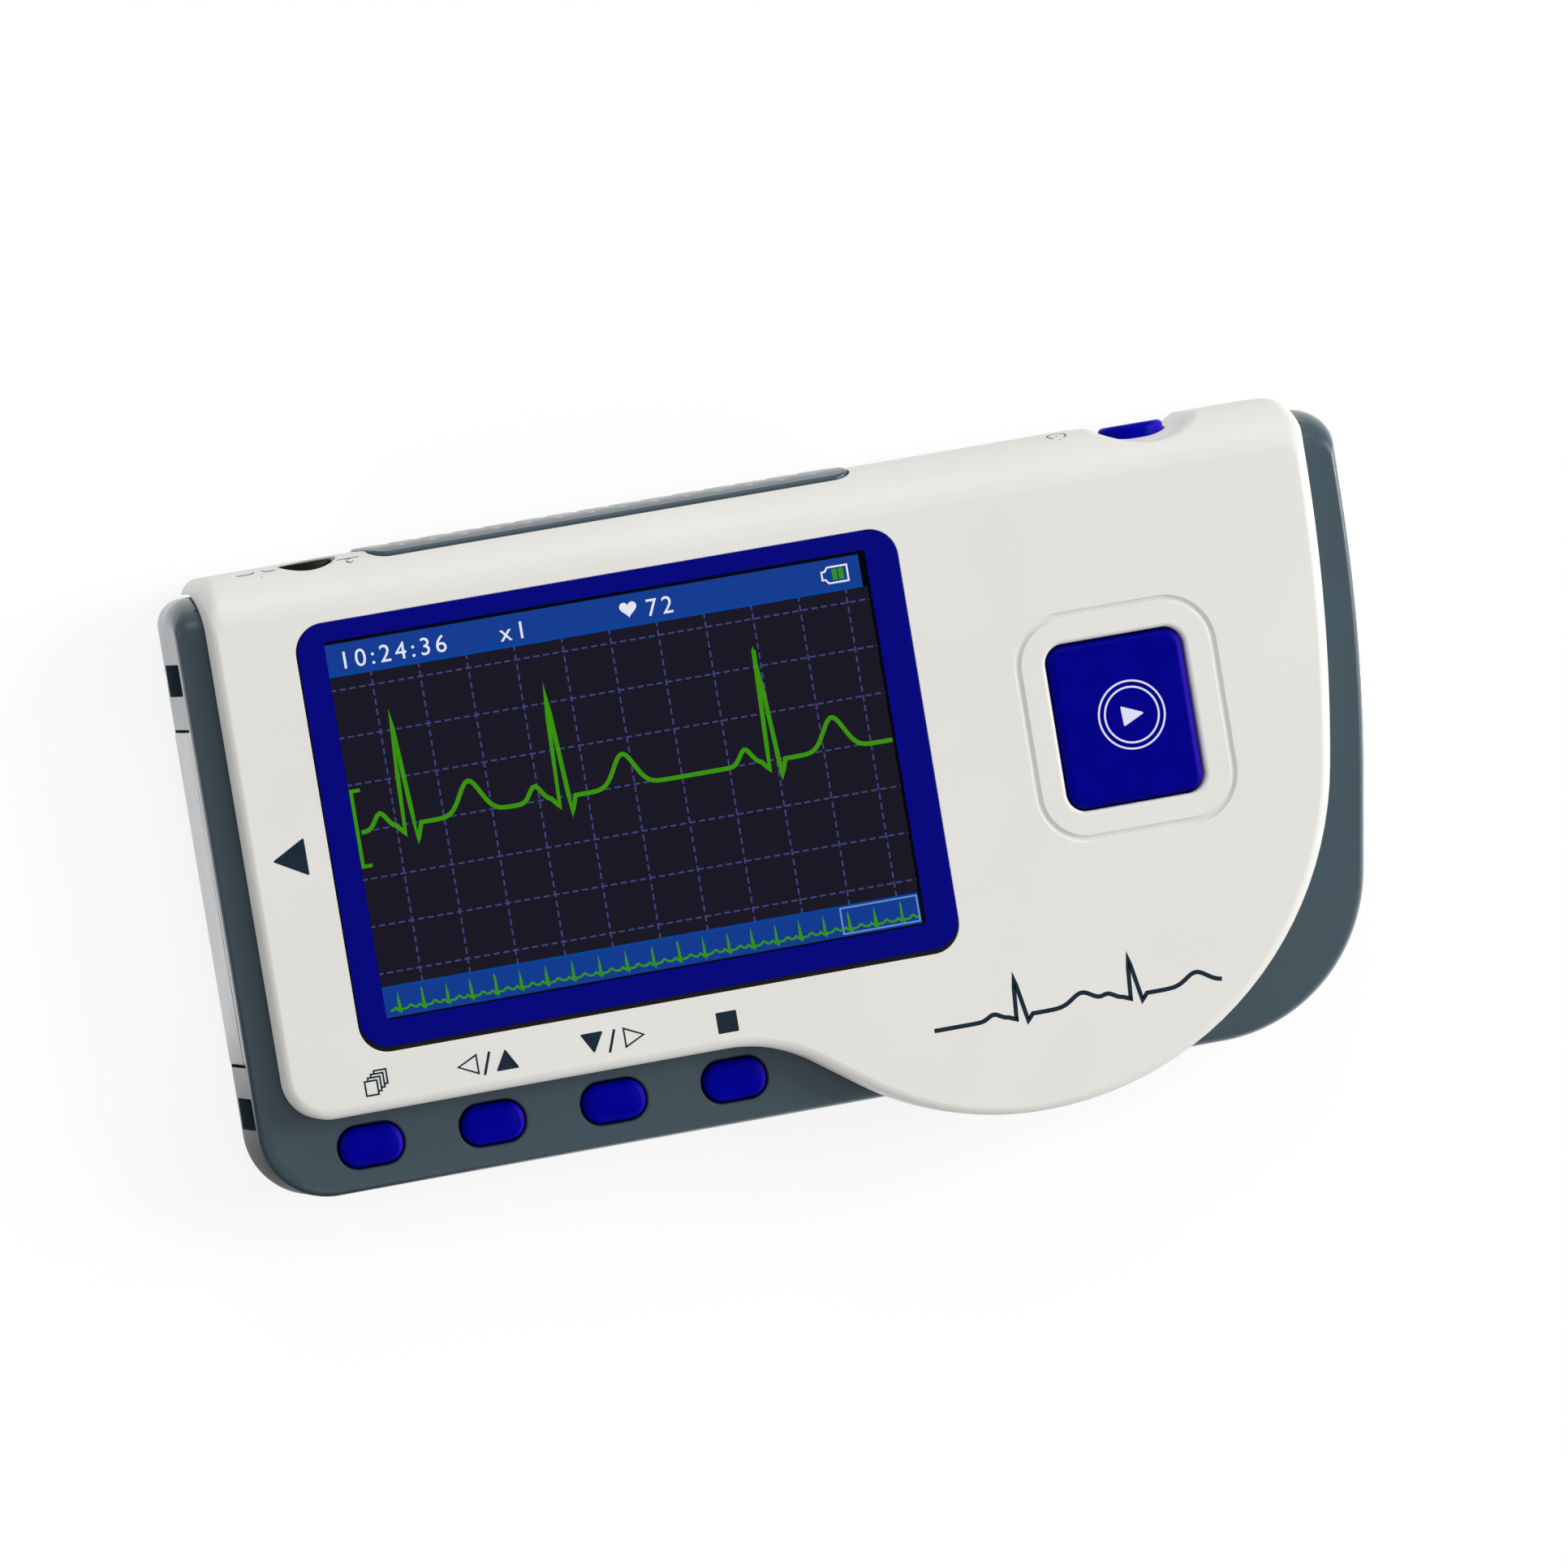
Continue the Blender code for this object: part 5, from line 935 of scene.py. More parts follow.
def cover_form(name, side_wall, top_wall, skin, base, edges, scoop=0.0):
    """The cover's outer form, or its hollow when the walls are given.

    At each height each side of the outline moves in by its own edge's rounding, and the top side by
    a quarter ellipse: reach times (1 - the root of 1 - lift^2).
    """
    front = FRONT_Z - skin
    drop = TOP_DROP - skin
    reach = TOP_REACH - top_wall
    spring = front - drop
    lifts = np.sin(np.radians(np.linspace(0, 90, 31)))
    rounding = front - edges[:, None] * (1 - lifts[::3])
    heights = [np.linspace(base, spring, 12), spring + drop * lifts, rounding.ravel()]
    heights = np.unique(np.round(np.concatenate(heights) / LEVEL_GRID)) * LEVEL_GRID
    lift = np.clip((heights - spring) / drop, 0, 1)
    into_edge = np.clip(heights[:, None] - front + edges, 0, edges)
    amounts = side_wall + edges - np.sqrt(edges ** 2 - into_edge ** 2)
    outline = cover_outline()
    amounts[:, TOP_EDGE] = top_wall + reach * (1 - np.sqrt(1 - lift ** 2))
    corners = moved_in(outline, amounts)
    for index in (TOP_EDGE, TOP_EDGE + 1):
        radius = outline[index, 2] + (TOP_CORNER_END - outline[index, 2]) * lift ** 1.5
        corners[:, index, 2] = np.maximum(radius - side_wall, SMALL_RADIUS)
    arcs = rounded(corners)
    head, tail = ring_of(arcs[:, :-1]), arcs[:, -1]
    strip = SCOOP_X + np.linspace(1.15, -1.15, 61) * SCOOP_HALF_LENGTH
    strip = np.stack(np.broadcast_arrays(strip, head[:, -1:, 1]), axis=-1)
    grid = placed(np.concatenate([head, strip, tail], axis=1), heights[:, None])
    top_side = grid[..., 1] > CASE_TOP - TOP_REACH
    grid[..., 1] -= np.where(top_side, scoop_depth(grid[..., 0], grid[..., 2], scoop), 0)
    return surface(name, grid)


def fallen_shelf(clearance):
    """The line where the case ends at the top side: a quarter ellipse down from the level shelf."""
    angle = np.radians(np.linspace(0, 90, 25))
    y = PARTING_START + (PARTING_REACH + clearance) * np.sin(angle)
    z = SHELF_Z - PARTING_DROP + (PARTING_DROP + clearance) * np.cos(angle)
    return np.stack([y, z], axis=-1)


def below_cover():
    """All that lies under the cover's lower edge, as one prism along X."""
    wall = COVER_TOP - COVER_TOP_WALL + STEP
    line = fallen_shelf(GAP)
    line = line[line[:, 0] < wall]
    far = BULGE_BOTTOM - PAST
    start = [(far, -PAST), (far, SHELF_Z + GAP)]
    end = [(wall, line[-1, 1] - GAP), (wall, -PAST)]
    return prism("below_cover", np.concatenate([start, line, end]), CASE_LEFT, CASE_RIGHT, "X")


def flared_hole(name, corners, low, face, edge):
    """A hole whose mouth opens with a rounded edge at the face."""
    insets, heights = quarter_round(edge, face - edge, 6)
    insets = np.concatenate([[0], insets, [edge]])
    heights = np.concatenate([[low], heights, [face + PAST]])
    return shaped(name, corners, -KEY_GAP - insets, heights)


def power_box():
    """The corners of the power button, which is arched on the side towards the screen."""
    end_radius = (POWER_HIGH[1] - POWER_LOW[1]) * ROUND_END_SHARE
    corners = rectangle(POWER_LOW, POWER_HIGH + (0, POWER_ARCH), end_radius)
    corners[2:, 2] = POWER_ARCH_RADIUS
    return corners


def lip_outline(border):
    """The door's outline seen from the top side, with round upper corners."""
    low = (DOOR_LEFT - border, -PAST)
    high = (DOOR_RIGHT + border, LIP_TOP + border)
    corners = rectangle(low, high, SMALL_RADIUS)
    corners[2:, 2] = LIP_CORNER + border
    return ring_of(rounded(corners))


def groove(width, depth):
    """The ring pressed in round the start key: half an ellipse carried round a rounded square."""
    corners = rectangle(START_MIDDLE - RING_HALF, START_MIDDLE + RING_HALF, RING_RADIUS)
    angle = np.linspace(math.pi, 2 * math.pi, 13)
    insets = np.concatenate([[0], width / 2 * (1 + np.cos(angle)), [width]])
    heights = np.concatenate([[PAST], depth * np.sin(angle), [PAST]]) + FRONT_Z
    rings = ring_of(rounded(moved_in(corners, np.repeat(insets[:, None], 4, axis=1))))
    return surface("groove", placed(rings, heights[:, None]), closed=True)


def screw_places():
    """The middle of each case screw."""
    return [node_middle(screw)[:2] for screw in SCREWS]


def hook_tools():
    """The leg under the cover's left wall, and the nose that catches in the upper snap window."""
    left = COVER_LEFT + GAP
    half = SNAP_WIDTH / 2 - GAP
    top = SNAP_Z + SNAP_HEIGHT - HOOK_CLEARANCE
    low = top - HOOK_HEIGHT
    middle = SNAP_Y[0]
    leg_high = (left + HOOK_THICKNESS, middle + half, SHELF_Z + GAP + PAST)
    leg = block("hook_leg", (left, middle - half, low), leg_high)
    nose_high = (left + HOOK_THICKNESS / 2, middle + half, top)
    nose = block("hook_nose", (CASE_LEFT + CASE_WALL / 2, middle - half, low), nose_high)
    return leg, nose


def build_cover(sizes, finishes):
    """The front cover: an outer form less a hollow, with a window rim, bosses and a hook, then cut."""
    cover = cover_form("cover_shell", 0, 0, 0, TOP_WALL_BASE, COVER_EDGES, sizes.scoop_depth)
    hollow_base = TOP_WALL_BASE - PAST
    sharp = np.full(len(COVER_EDGES), SMALL_RADIUS)
    hollow = cover_form("hollow", COVER_WALL, COVER_TOP_WALL, COVER_SKIN, hollow_base, sharp)
    carve(cover, "DIFFERENCE", hollow, below_cover())
    inside_skin = SKIN_Z + COVER_SKIN / 2
    ledge_low = LEDGE_TOP - LEDGE_THICKNESS
    window = rectangle(WINDOW_LOW, WINDOW_HIGH, WINDOW_RADIUS)
    rim_box = moved_in(window, -RIM_WIDTH)
    rim = shaped("window_rim", rim_box, (0, 0), (ledge_low, inside_skin))
    bosses = [
        turned("boss", [COVER_BOSS_RADIUS] * 2, (BOSS_SPLIT_Z + GAP, inside_skin), place)
        for place in screw_places()
    ]
    carve(cover, "UNION", rim, merged("bosses", bosses), *hook_tools())
    pocket_edge = sizes.pocket_edge
    insets, heights = quarter_round(pocket_edge, FRONT_Z - pocket_edge, 6)
    pocket = shaped(
        "pocket",
        window,
        np.concatenate([[0], -insets, [-pocket_edge]]),
        np.concatenate([[LEDGE_TOP], heights, [FRONT_Z + PAST]]),
    )
    opening_box = rectangle(SCREEN_LOW, SCREEN_HIGH, SMALL_RADIUS, PANEL_BORDER + GAP)
    opening = shaped("opening", opening_box, (0, 0), (ledge_low - PAST, LEDGE_TOP + PAST / 2))
    start_box = rectangle(START_LOW, START_HIGH, START_RADIUS)
    start_hole = flared_hole("start_hole", start_box, SKIN_Z - PAST, FRONT_Z, sizes.hole_edge)
    ring = groove(sizes.groove_width, sizes.groove_depth)
    lip_space = prism("lip_space", lip_outline(GAP), BAY_TOP, DOOR_TOP + PAST, "Y")
    through = (BAY_TOP, COVER_TOP + PAST)
    jack_hole = turned("jack_hole", [JACK_HOLE_RADIUS] * 2, through, (JACK_X, JACK_Z), "Y")
    power_hole = shaped("power_hole", power_box(), (-KEY_GAP,) * 2, through, "Y")
    pilots = [
        turned("pilot", [SCREW_RADIUS + GAP] * 2, (BOSS_SPLIT_Z, SCREW_END_Z + GAP), place)
        for place in screw_places()
    ]
    carve(cover, "DIFFERENCE", pocket, opening, start_hole, ring, lip_space)
    carve(cover, "DIFFERENCE", jack_hole, power_hole, merged("pilots", pilots))
    return finish(cover, "recorder", "cover_plastic", finishes["cover"], "front_cover")


# Rear case

def case_outline():
    """The case's outline, with a slanted right end and a low step that the bulge hides."""
    heel = CASE_BOTTOM - CASE_HEEL
    return np.array([
        (CASE_LEFT, CASE_BOTTOM, CASE_CORNER),
        (CASE_HEEL_START, CASE_BOTTOM, CASE_HEEL_RADIUS),
        (CASE_HEEL_END, heel, CASE_HEEL_RADIUS),
        (CASE_RIGHT - CASE_TAPER, heel, CASE_HEEL_RADIUS),
        (CASE_RIGHT, heel + CASE_TAPER_HEIGHT, SIDE_RADIUS),
        (CASE_RIGHT, CASE_TOP, CASE_TOP_CORNERS[0]),
        (CASE_LEFT, CASE_TOP, CASE_TOP_CORNERS[1]),
    ])


def case_form(shelf_round):
    """The case's outer form: round at the back and along its shelf, whose top side falls away.

    Along the top edge the outline moves in to a quarter ellipse of the parting's reach and drop, and
    along the right side to a steeper one.
    """
    outline = case_outline()
    _, back_heights = quarter_round(BACK_ROUND, 0)
    _, shelf_heights = quarter_round(shelf_round, SHELF_Z - shelf_round)
    fall_heights = SHELF_Z - PARTING_DROP * (1 - np.sin(np.radians(np.linspace(0, 90, 31))))
    right_heights = SHELF_Z - RIGHT_DROP * (1 - np.sin(np.radians(np.linspace(0, 90, 19))))
    heights = np.concatenate([BACK_ROUND - back_heights, fall_heights, right_heights, shelf_heights])
    heights = np.unique(np.round(heights / LEVEL_GRID)) * LEVEL_GRID
    back = np.clip(BACK_ROUND - heights, 0, BACK_ROUND)
    front = np.clip(heights - SHELF_Z + shelf_round, 0, shelf_round)
    foot = BACK_ROUND - np.sqrt(BACK_ROUND ** 2 - back ** 2)
    side = foot + shelf_round - np.sqrt(shelf_round ** 2 - front ** 2)
    rise = np.clip((heights - SHELF_Z + RIGHT_DROP) / RIGHT_DROP, 0, 1)
    lift = np.clip((heights - SHELF_Z + PARTING_DROP) / PARTING_DROP, 0, 1)
    fallen = np.minimum(CASE_TOP, PARTING_START + PARTING_REACH * np.sqrt(1 - lift ** 2))
    amounts = np.repeat(side[:, None], len(outline), axis=1)
    amounts[:, CASE_TOP_EDGE] = np.maximum(amounts[:, CASE_TOP_EDGE], CASE_TOP - fallen)
    for index in (CASE_TOP_EDGE - 2, CASE_TOP_EDGE - 1):
        amounts[:, index] = foot + RIGHT_REACH * (1 - np.sqrt(1 - rise ** 2))
    corners = moved_in(outline, amounts)
    for index, end in enumerate(CASE_TOP_CORNER_ENDS, CASE_TOP_EDGE):
        radius = outline[index, 2] + (end - outline[index, 2]) * lift ** 1.5
        corners[:, index, 2] = np.maximum(radius - np.where(heights < BACK_ROUND, side, 0), SMALL_RADIUS)
    return surface("case_shell", placed(ring_of(rounded(corners)), heights[:, None]))


def bay_section(wall):
    """The battery bay across the cells, with round corners over them; a wall makes its outside."""
    low = BAY_BOTTOM - wall
    high = BAY_TOP + min(wall, CASE_TOP_WALL / 2)
    radius = CELL_RADIUS + CELL_PLAY + wall
    floor = FLOOR / 2 if wall else -PAST
    corners = rectangle((low, floor), (high, BAY_CEILING + wall), SMALL_RADIUS)
    corners[2:, 2] = radius
    return ring_of(rounded(corners))


def end_wall_x(side, y):
    """The end wall's outer face: straight at the left, and an arc of the side radius at the right."""
    if side < 0:
        return np.full_like(y, CASE_LEFT)
    turn = math.atan2(CASE_TAPER, CASE_TAPER_HEIGHT)
    middle = CASE_BOTTOM - CASE_HEEL + CASE_TAPER_HEIGHT + SIDE_RADIUS * math.tan(turn / 2)
    away = np.minimum(0, y - middle)
    return CASE_RIGHT - SIDE_RADIUS + np.sqrt(SIDE_RADIUS ** 2 - away ** 2)


def tab_block(name, side, play):
    """The tab from an end plate through the wall, or with play the slot that it passes."""
    low, high = END_PLATES[side]
    middle = (low[1] + high[1]) / 2
    wall = end_wall_x(side, np.array(middle))
    outer = wall + side * (PLATE_STAND - PLATE_THICKNESS / 2)
    inner = wall - side * (TAB_REACH + play)
    half = TAB_WIDTH / 2 + play
    near = (outer, middle - half, TAB_Z - play)
    return block(name, near, (inner, middle + half, TAB_Z + TAB_THICKNESS + play))


def plate_recess(side):
    """The seat of an end plate in the case's wall."""
    low, high = END_PLATES[side]
    y = np.linspace(low[1] - GAP, high[1] + GAP, 25)
    depth = PLATE_THICKNESS - PLATE_STAND + GAP
    outer = np.stack([end_wall_x(side, y) + side * PAST, y], axis=-1)
    inner = np.stack([end_wall_x(side, y) - side * depth, y], axis=-1)
    return prism("recess", np.concatenate([outer, inner[::-1]]), low[2] - GAP, high[2] + GAP)


def rear_tab(name, play, low, high):
    """The back plate's tab from one height to another, or with play the slot that it passes."""
    middle = node_middle("rear_electrode")[:2]
    half = np.array((TAB_WIDTH, TAB_THICKNESS)) / 2 + play
    return block(name, (*(middle - half), low), (*(middle + half), high))


def rail_spaces(side):
    """The groove that a door rail runs in, and its way out through the bay's top wall."""
    wall = BAY_LEFT if side < 0 else BAY_RIGHT
    out = wall + side * (RAIL_FOOT + GAP)
    into = wall - side * (GAP + RAIL_WALL + GAP)
    low, high = RAIL_Z - GAP, RAIL_Z + RAIL_FOOT_THICKNESS + GAP
    run = block("rail_groove", (out, BAY_BOTTOM + STEP, low), (into, CASE_TOP + PAST, high))
    near = wall - side * STEP
    gate = block("rail_gate", (near, BAY_TOP - PAST, -PAST), (into, CASE_TOP + PAST, RAIL_Z))
    return run, gate


def row_box(name):
    """The corners of one of the four oblong keys."""
    low, high = node_box(f"{name}_key")
    low, high = low[:2] + ROW_FLANGE, high[:2] - ROW_FLANGE
    return rectangle(low, high, (high[1] - low[1]) * ROUND_END_SHARE)


def build_case(sizes, finishes):
    """The rear case: an outer form less its hollows, with a tongue, bay, rim and bosses, then cut."""
    case = case_form(sizes.shelf_round)
    outline = case_outline()
    amounts = np.full(len(outline), CASE_WALL)
    amounts[CASE_TOP_EDGE] = CASE_TOP_WALL
    soft = BACK_ROUND - CASE_WALL
    inner = moved_in(outline, amounts)
    hollow = shaped("hollow", inner, (soft, 0, 0), (FLOOR, FLOOR + soft, SHELF_Z - CASE_WALL))
    cover = cover_outline()
    amounts = np.full(len(cover), COVER_WALL)
    amounts[BULGE_EDGE] = CASE_BOTTOM + CASE_WALL - BULGE_BOTTOM + STEP
    amounts[TOP_EDGE] = COVER_TOP - CASE_TOP + CASE_TOP_WALL + STEP
    under_shelf = SHELF_Z - CASE_WALL - PAST
    mouth = shaped("mouth", moved_in(cover, amounts), (0, 0), (under_shelf, SHELF_Z + PAST))
    relief_low = (COVER_LEFT + RELIEF_INSET, BAY_TOP - PAST, RELIEF_Z)
    relief = block("relief", relief_low, (COVER_RIGHT - RELIEF_INSET, CASE_TOP + PAST, SHELF_Z + PAST))
    carve(case, "DIFFERENCE", hollow, mouth, relief)
    tongue_levels = (SHELF_Z - TONGUE_HEIGHT, SHELF_Z - STEP)
    tongue = shaped("tongue", moved_in(cover, TONGUE_INSET), (0, 0), tongue_levels)
    part_low = (CASE_LEFT, BULGE_BOTTOM - PAST, 0)
    part = block("part", part_low, (CASE_RIGHT, CASE_BOTTOM + TONGUE_REACH, FRONT_Z))
    carve(tongue, "INTERSECT", part)
    bay = prism("bay", bay_section(BAY_WALL), BAY_LEFT - BAY_WALL, BAY_RIGHT + BAY_WALL, "X")
    around = GAP + BAY_WALL
    rim_low = (DOOR_LEFT - around, DOOR_BOTTOM - around, FLOOR / 2)
    rim = block("rim", rim_low, (DOOR_RIGHT + around, BAY_TOP + CASE_TOP_WALL / 2, RIM_HEIGHT))
    boss_top = BOARD_Z - GAP
    bosses = [
        turned(
            "boss",
            [CASE_BOSS_RADIUS, CASE_BOSS_RADIUS, CASE_BOSS_TIP, CASE_BOSS_TIP],
            (FLOOR / 2, boss_top, boss_top, BOSS_SPLIT_Z),
            place,
        )
        for place in screw_places()
    ]
    carve(case, "UNION", tongue, bay, rim, merged("bosses", bosses))
    cells = prism("cells", bay_section(0), BAY_LEFT, BAY_RIGHT, "X")
    door_space = block(
        "door_space",
        (DOOR_LEFT - GAP, DOOR_BOTTOM - GAP, -PAST),
        (DOOR_RIGHT + GAP, CASE_TOP + PAST, DOOR_THICKNESS + GAP),
    )
    carve(case, "DIFFERENCE", cells, door_space, *rail_spaces(-1), *rail_spaces(1))
    for side in (-1, 1):
        carve(case, "DIFFERENCE", plate_recess(side), tab_block("tab_slot", side, GAP))
    holes = [
        flared_hole("hole", row_box(name), under_shelf, SHELF_Z, sizes.row_hole_edge)
        for name in ROW_KEYS
    ]
    half = SNAP_WIDTH / 2
    snap_high = SNAP_Z + SNAP_HEIGHT
    snaps = []
    for middle in SNAP_Y:
        snap = rectangle((middle - half, SNAP_Z), (middle + half, snap_high), SMALL_RADIUS)
        outer, inner = CASE_LEFT - PAST, CASE_LEFT + CASE_WALL + PAST
        snaps.append(shaped("snap", snap, (0, 0), (outer, inner), "X"))
    notch_high = (COVER_LEFT + COVER_WALL + PAST, SNAP_Y[0] + half, SHELF_Z + PAST)
    notch = block("notch", (COVER_LEFT, SNAP_Y[0] - half, under_shelf), notch_high)
    carve(case, "DIFFERENCE", merged("holes", holes), merged("snaps", snaps), notch)
    head, shank = SCREW_HEAD_RADIUS + GAP, SCREW_RADIUS + GAP
    head_top = SCREW_HEAD_TOP + GAP
    mouth_radius = head + SCREW_CHAMFER
    screws = [
        turned(
            "screw_hole",
            [mouth_radius, mouth_radius, head, head, shank, shank],
            (-PAST, 0, SCREW_CHAMFER, head_top, head_top, BOSS_SPLIT_Z + PAST),
            place,
        )
        for place in screw_places()
    ]
    recess_box = rectangle(rear_low, rear_high, REAR_PLATE_RADIUS + GAP, GAP)
    recess = shaped("rear_recess", recess_box, (0, 0), (-PAST, REAR_PLATE_TOP + GAP))
    slot = rear_tab("rear_slot", GAP, 0, FLOOR + PAST)
    carve(case, "DIFFERENCE", merged("screw_holes", screws), recess, slot)
    return finish(case, "recorder", "case_plastic", finishes["case"], "rear_case")


# Battery door

def build_door(sizes, finishes):
    """The door as one section carried along X.

    The section runs along the back, round the lip's foot, up the wall and along the top side's
    ellipse to the rounded bead, and back inside. Towards each end the bead comes down along a
    quarter circle, and every grip is a dip of the outer face, shaped as a raised cosine along X.
    """
    spring_y, spring_z = COVER_TOP - TOP_REACH, FRONT_Z - TOP_DROP
    count = sizes.grip_count
    middle = (DOOR_LEFT + DOOR_RIGHT) / 2
    grips = middle + (np.arange(count) - (count - 1) / 2) * sizes.grip_pitch
    near_grip = np.linspace(-1, 1, 13) * sizes.grip_width / 2
    ends = LIP_CORNER * (1 - np.cos(np.radians(np.linspace(0, 90, 13))))
    stations = [DOOR_LEFT + ends, DOOR_RIGHT - ends, (grips[:, None] + near_grip).ravel()]
    x = np.unique(np.round(np.concatenate(stations) / LEVEL_GRID)) * LEVEL_GRID
    from_end = np.minimum(np.minimum(x - DOOR_LEFT, DOOR_RIGHT - x), LIP_CORNER)
    top = LIP_TOP - LIP_CORNER + np.sqrt(LIP_CORNER ** 2 - (LIP_CORNER - from_end) ** 2)
    edge = sizes.door_edge
    pulled = np.clip(from_end, 0, edge)
    pulled = edge - np.sqrt(edge ** 2 - (edge - pulled) ** 2)

    def along_ellipse(reach, drop, to, steps):
        end = np.arcsin(np.clip((to - spring_z) / drop, 0, 1))
        angle = end[:, None] * np.linspace(0, 1, steps)
        return spring_y + reach[:, None] * np.cos(angle), spring_z + drop * np.sin(angle)

    outer_reach = TOP_REACH + DOOR_STAND - pulled
    bead = sizes.lip_bead
    outer_y, outer_z = along_ellipse(outer_reach, TOP_DROP + DOOR_STAND, top - bead, 14)
    inner_reach = np.full_like(x, TOP_REACH - COVER_TOP_WALL)
    inner_y, inner_z = along_ellipse(inner_reach, TOP_DROP - COVER_SKIN, top, 10)
    turn = np.radians(np.linspace(0, 90, 7)[1:])
    bead_y = outer_y[:, -1:] - bead * (1 - np.cos(turn))
    bead_z = outer_z[:, -1:] + bead * np.sin(turn)
    foot = np.radians(np.linspace(0, 90, 13))
    foot_y = DOOR_TOP - pulled[:, None] - DOOR_ROUND * (1 - np.sin(foot))
    foot_z = np.broadcast_to(DOOR_ROUND * (1 - np.cos(foot)), foot_y.shape)
    wall_z = np.linspace(DOOR_ROUND, spring_z, 10)[1:-1]
    wall_y = np.broadcast_to(DOOR_TOP - pulled[:, None], (len(x), len(wall_z)))
    wall_z = np.broadcast_to(wall_z, wall_y.shape)
    column = np.ones((len(x), 1))
    back_y, inner_foot_y = DOOR_BOTTOM * column, inner_y[:, :1]
    inside_y = [inner_y[:, ::-1], inner_foot_y, back_y]
    y = np.concatenate([back_y, foot_y, wall_y, outer_y, bead_y, *inside_y], 1)
    back_z, front_z = 0 * column, DOOR_THICKNESS * column
    z = np.concatenate([back_z, foot_z, wall_z, outer_z, bead_z, inner_z[:, ::-1], front_z, front_z], 1)
    away = np.abs(x[:, None] - grips).min(axis=1) / (sizes.grip_width / 2)
    dip = sizes.grip_depth * (1 + np.cos(math.pi * np.clip(away, 0, 1))) / 2
    grip_face = DOOR_TOP - dip[:, None]
    outside = np.arange(y.shape[1]) <= foot_y.shape[1] + wall_y.shape[1] + outer_y.shape[1]
    y = np.where(outside, np.minimum(y, grip_face), y)
    door = surface("door_shell", np.stack([np.broadcast_to(x[:, None], y.shape), y, z], axis=-1))
    rails = []
    for side, wall in ((-1, BAY_LEFT), (1, BAY_RIGHT)):
        near = wall - side * GAP
        far = near - side * RAIL_WALL
        out = wall + side * RAIL_FOOT
        top_z = RAIL_Z + RAIL_FOOT_THICKNESS
        half = DOOR_THICKNESS / 2
        outline = [(far, half), (near, half), (near, RAIL_Z), (out, RAIL_Z), (out, top_z), (far, top_z)]
        rails.append(prism("rail", outline, BAY_BOTTOM + RAIL_SETBACK, BAY_TOP - GAP, "Y"))
    carve(door, "UNION", *rails)
    return finish(door, "door", "case_plastic", finishes["door"], "battery_door")


# Keys

def build_keys(sizes, finishes):
    """The start key, the four oblong keys and the power button, each with its flange."""
    insets, heights = quarter_round(sizes.start_edge, FRONT_Z - sizes.start_edge)
    flange_top = SKIN_Z - GAP
    flange = (-START_FLANGE, -START_FLANGE, 0)
    start = shaped(
        "start_button",
        rectangle(START_LOW, START_HIGH, START_RADIUS),
        np.concatenate([flange, insets]),
        np.concatenate([(flange_top - START_FLANGE_THICKNESS, flange_top, flange_top), heights]),
    )
    finish(start, "start", "blue_plastic", finishes["key"], "start_key")
    flange_top = SHELF_Z - CASE_WALL - GAP
    for name in ROW_KEYS:
        top = node_box(f"{name}_key")[1][2]
        insets, heights = quarter_round(ROW_EDGE, top - ROW_EDGE)
        crown = np.linspace(0, 1, 6)[1:]
        dome_insets = insets[-1] + crown * ROW_CROWN_WIDTH
        dome = heights[-1] + sizes.key_crown * (1 - (1 - crown) ** 2)
        key = shaped(
            f"{name}_button",
            row_box(name),
            np.concatenate([(-ROW_FLANGE, -ROW_FLANGE, 0), insets, dome_insets]),
            np.concatenate([(flange_top - ROW_FLANGE_THICKNESS, flange_top, flange_top), heights, dome]),
        )
        finish(key, name, "blue_plastic", finishes["row_key"], f"{name}_key")
    insets, places = quarter_round(POWER_EDGE, POWER_FACE - POWER_EDGE)
    back = power_low[1]
    flange_top = back + POWER_FLANGE_THICKNESS
    power = shaped(
        "power_key",
        power_box(),
        np.concatenate([(-POWER_FLANGE, -POWER_FLANGE, 0), insets]),
        np.concatenate([(back, flange_top, flange_top), places]),
        "Y",
    )
    finish(power, "power", "blue_plastic", finishes["row_key"], "power_button")


# Sockets, plates and supply

def build_jack(sizes, finishes):
    """The socket for lead wires: a round collar with a funnelled bore, on a square body.

    The turned profile goes up the collar and the socket's outside, over the mouth and down the
    funnel and the bore to its end on the axis.
    """
    face = COVER_TOP - sizes.jack_setback
    outside = (COLLAR_RADIUS, COLLAR_RADIUS, SOCKET_RADIUS, SOCKET_RADIUS)
    radii = np.concatenate([outside, FUNNEL_RADII, (BORE_RADIUS, BORE_RADIUS, 0)])
    up = (COLLAR_BACK, COLLAR_FRONT, COLLAR_FRONT, face - SOCKET_EDGE)
    down = (face - FUNNEL_DEPTH, face - BORE_DEPTH, face - BORE_DEPTH)
    middle = (JACK_X, JACK_Z)
    places = np.concatenate([up, face - FUNNEL_DEPTHS, down])
    collar = turned("lead_socket", radii, places, middle, "Y")
    body_low = (jack_low[0] + BODY_INSET, jack_low[1], BODY_LOW)
    body = block("socket_body", body_low, (jack_high[0] - BODY_INSET, BODY_FRONT, BODY_HIGH))
    bore = turned("bore", [BORE_RADIUS] * 2, (BORE_START, BORE_END), middle, "Y")
    carve(collar, "UNION", body)
    carve(collar, "DIFFERENCE", bore)
    return finish(collar, "recorder", "black_plastic", finishes["socket"], "lead_jack")


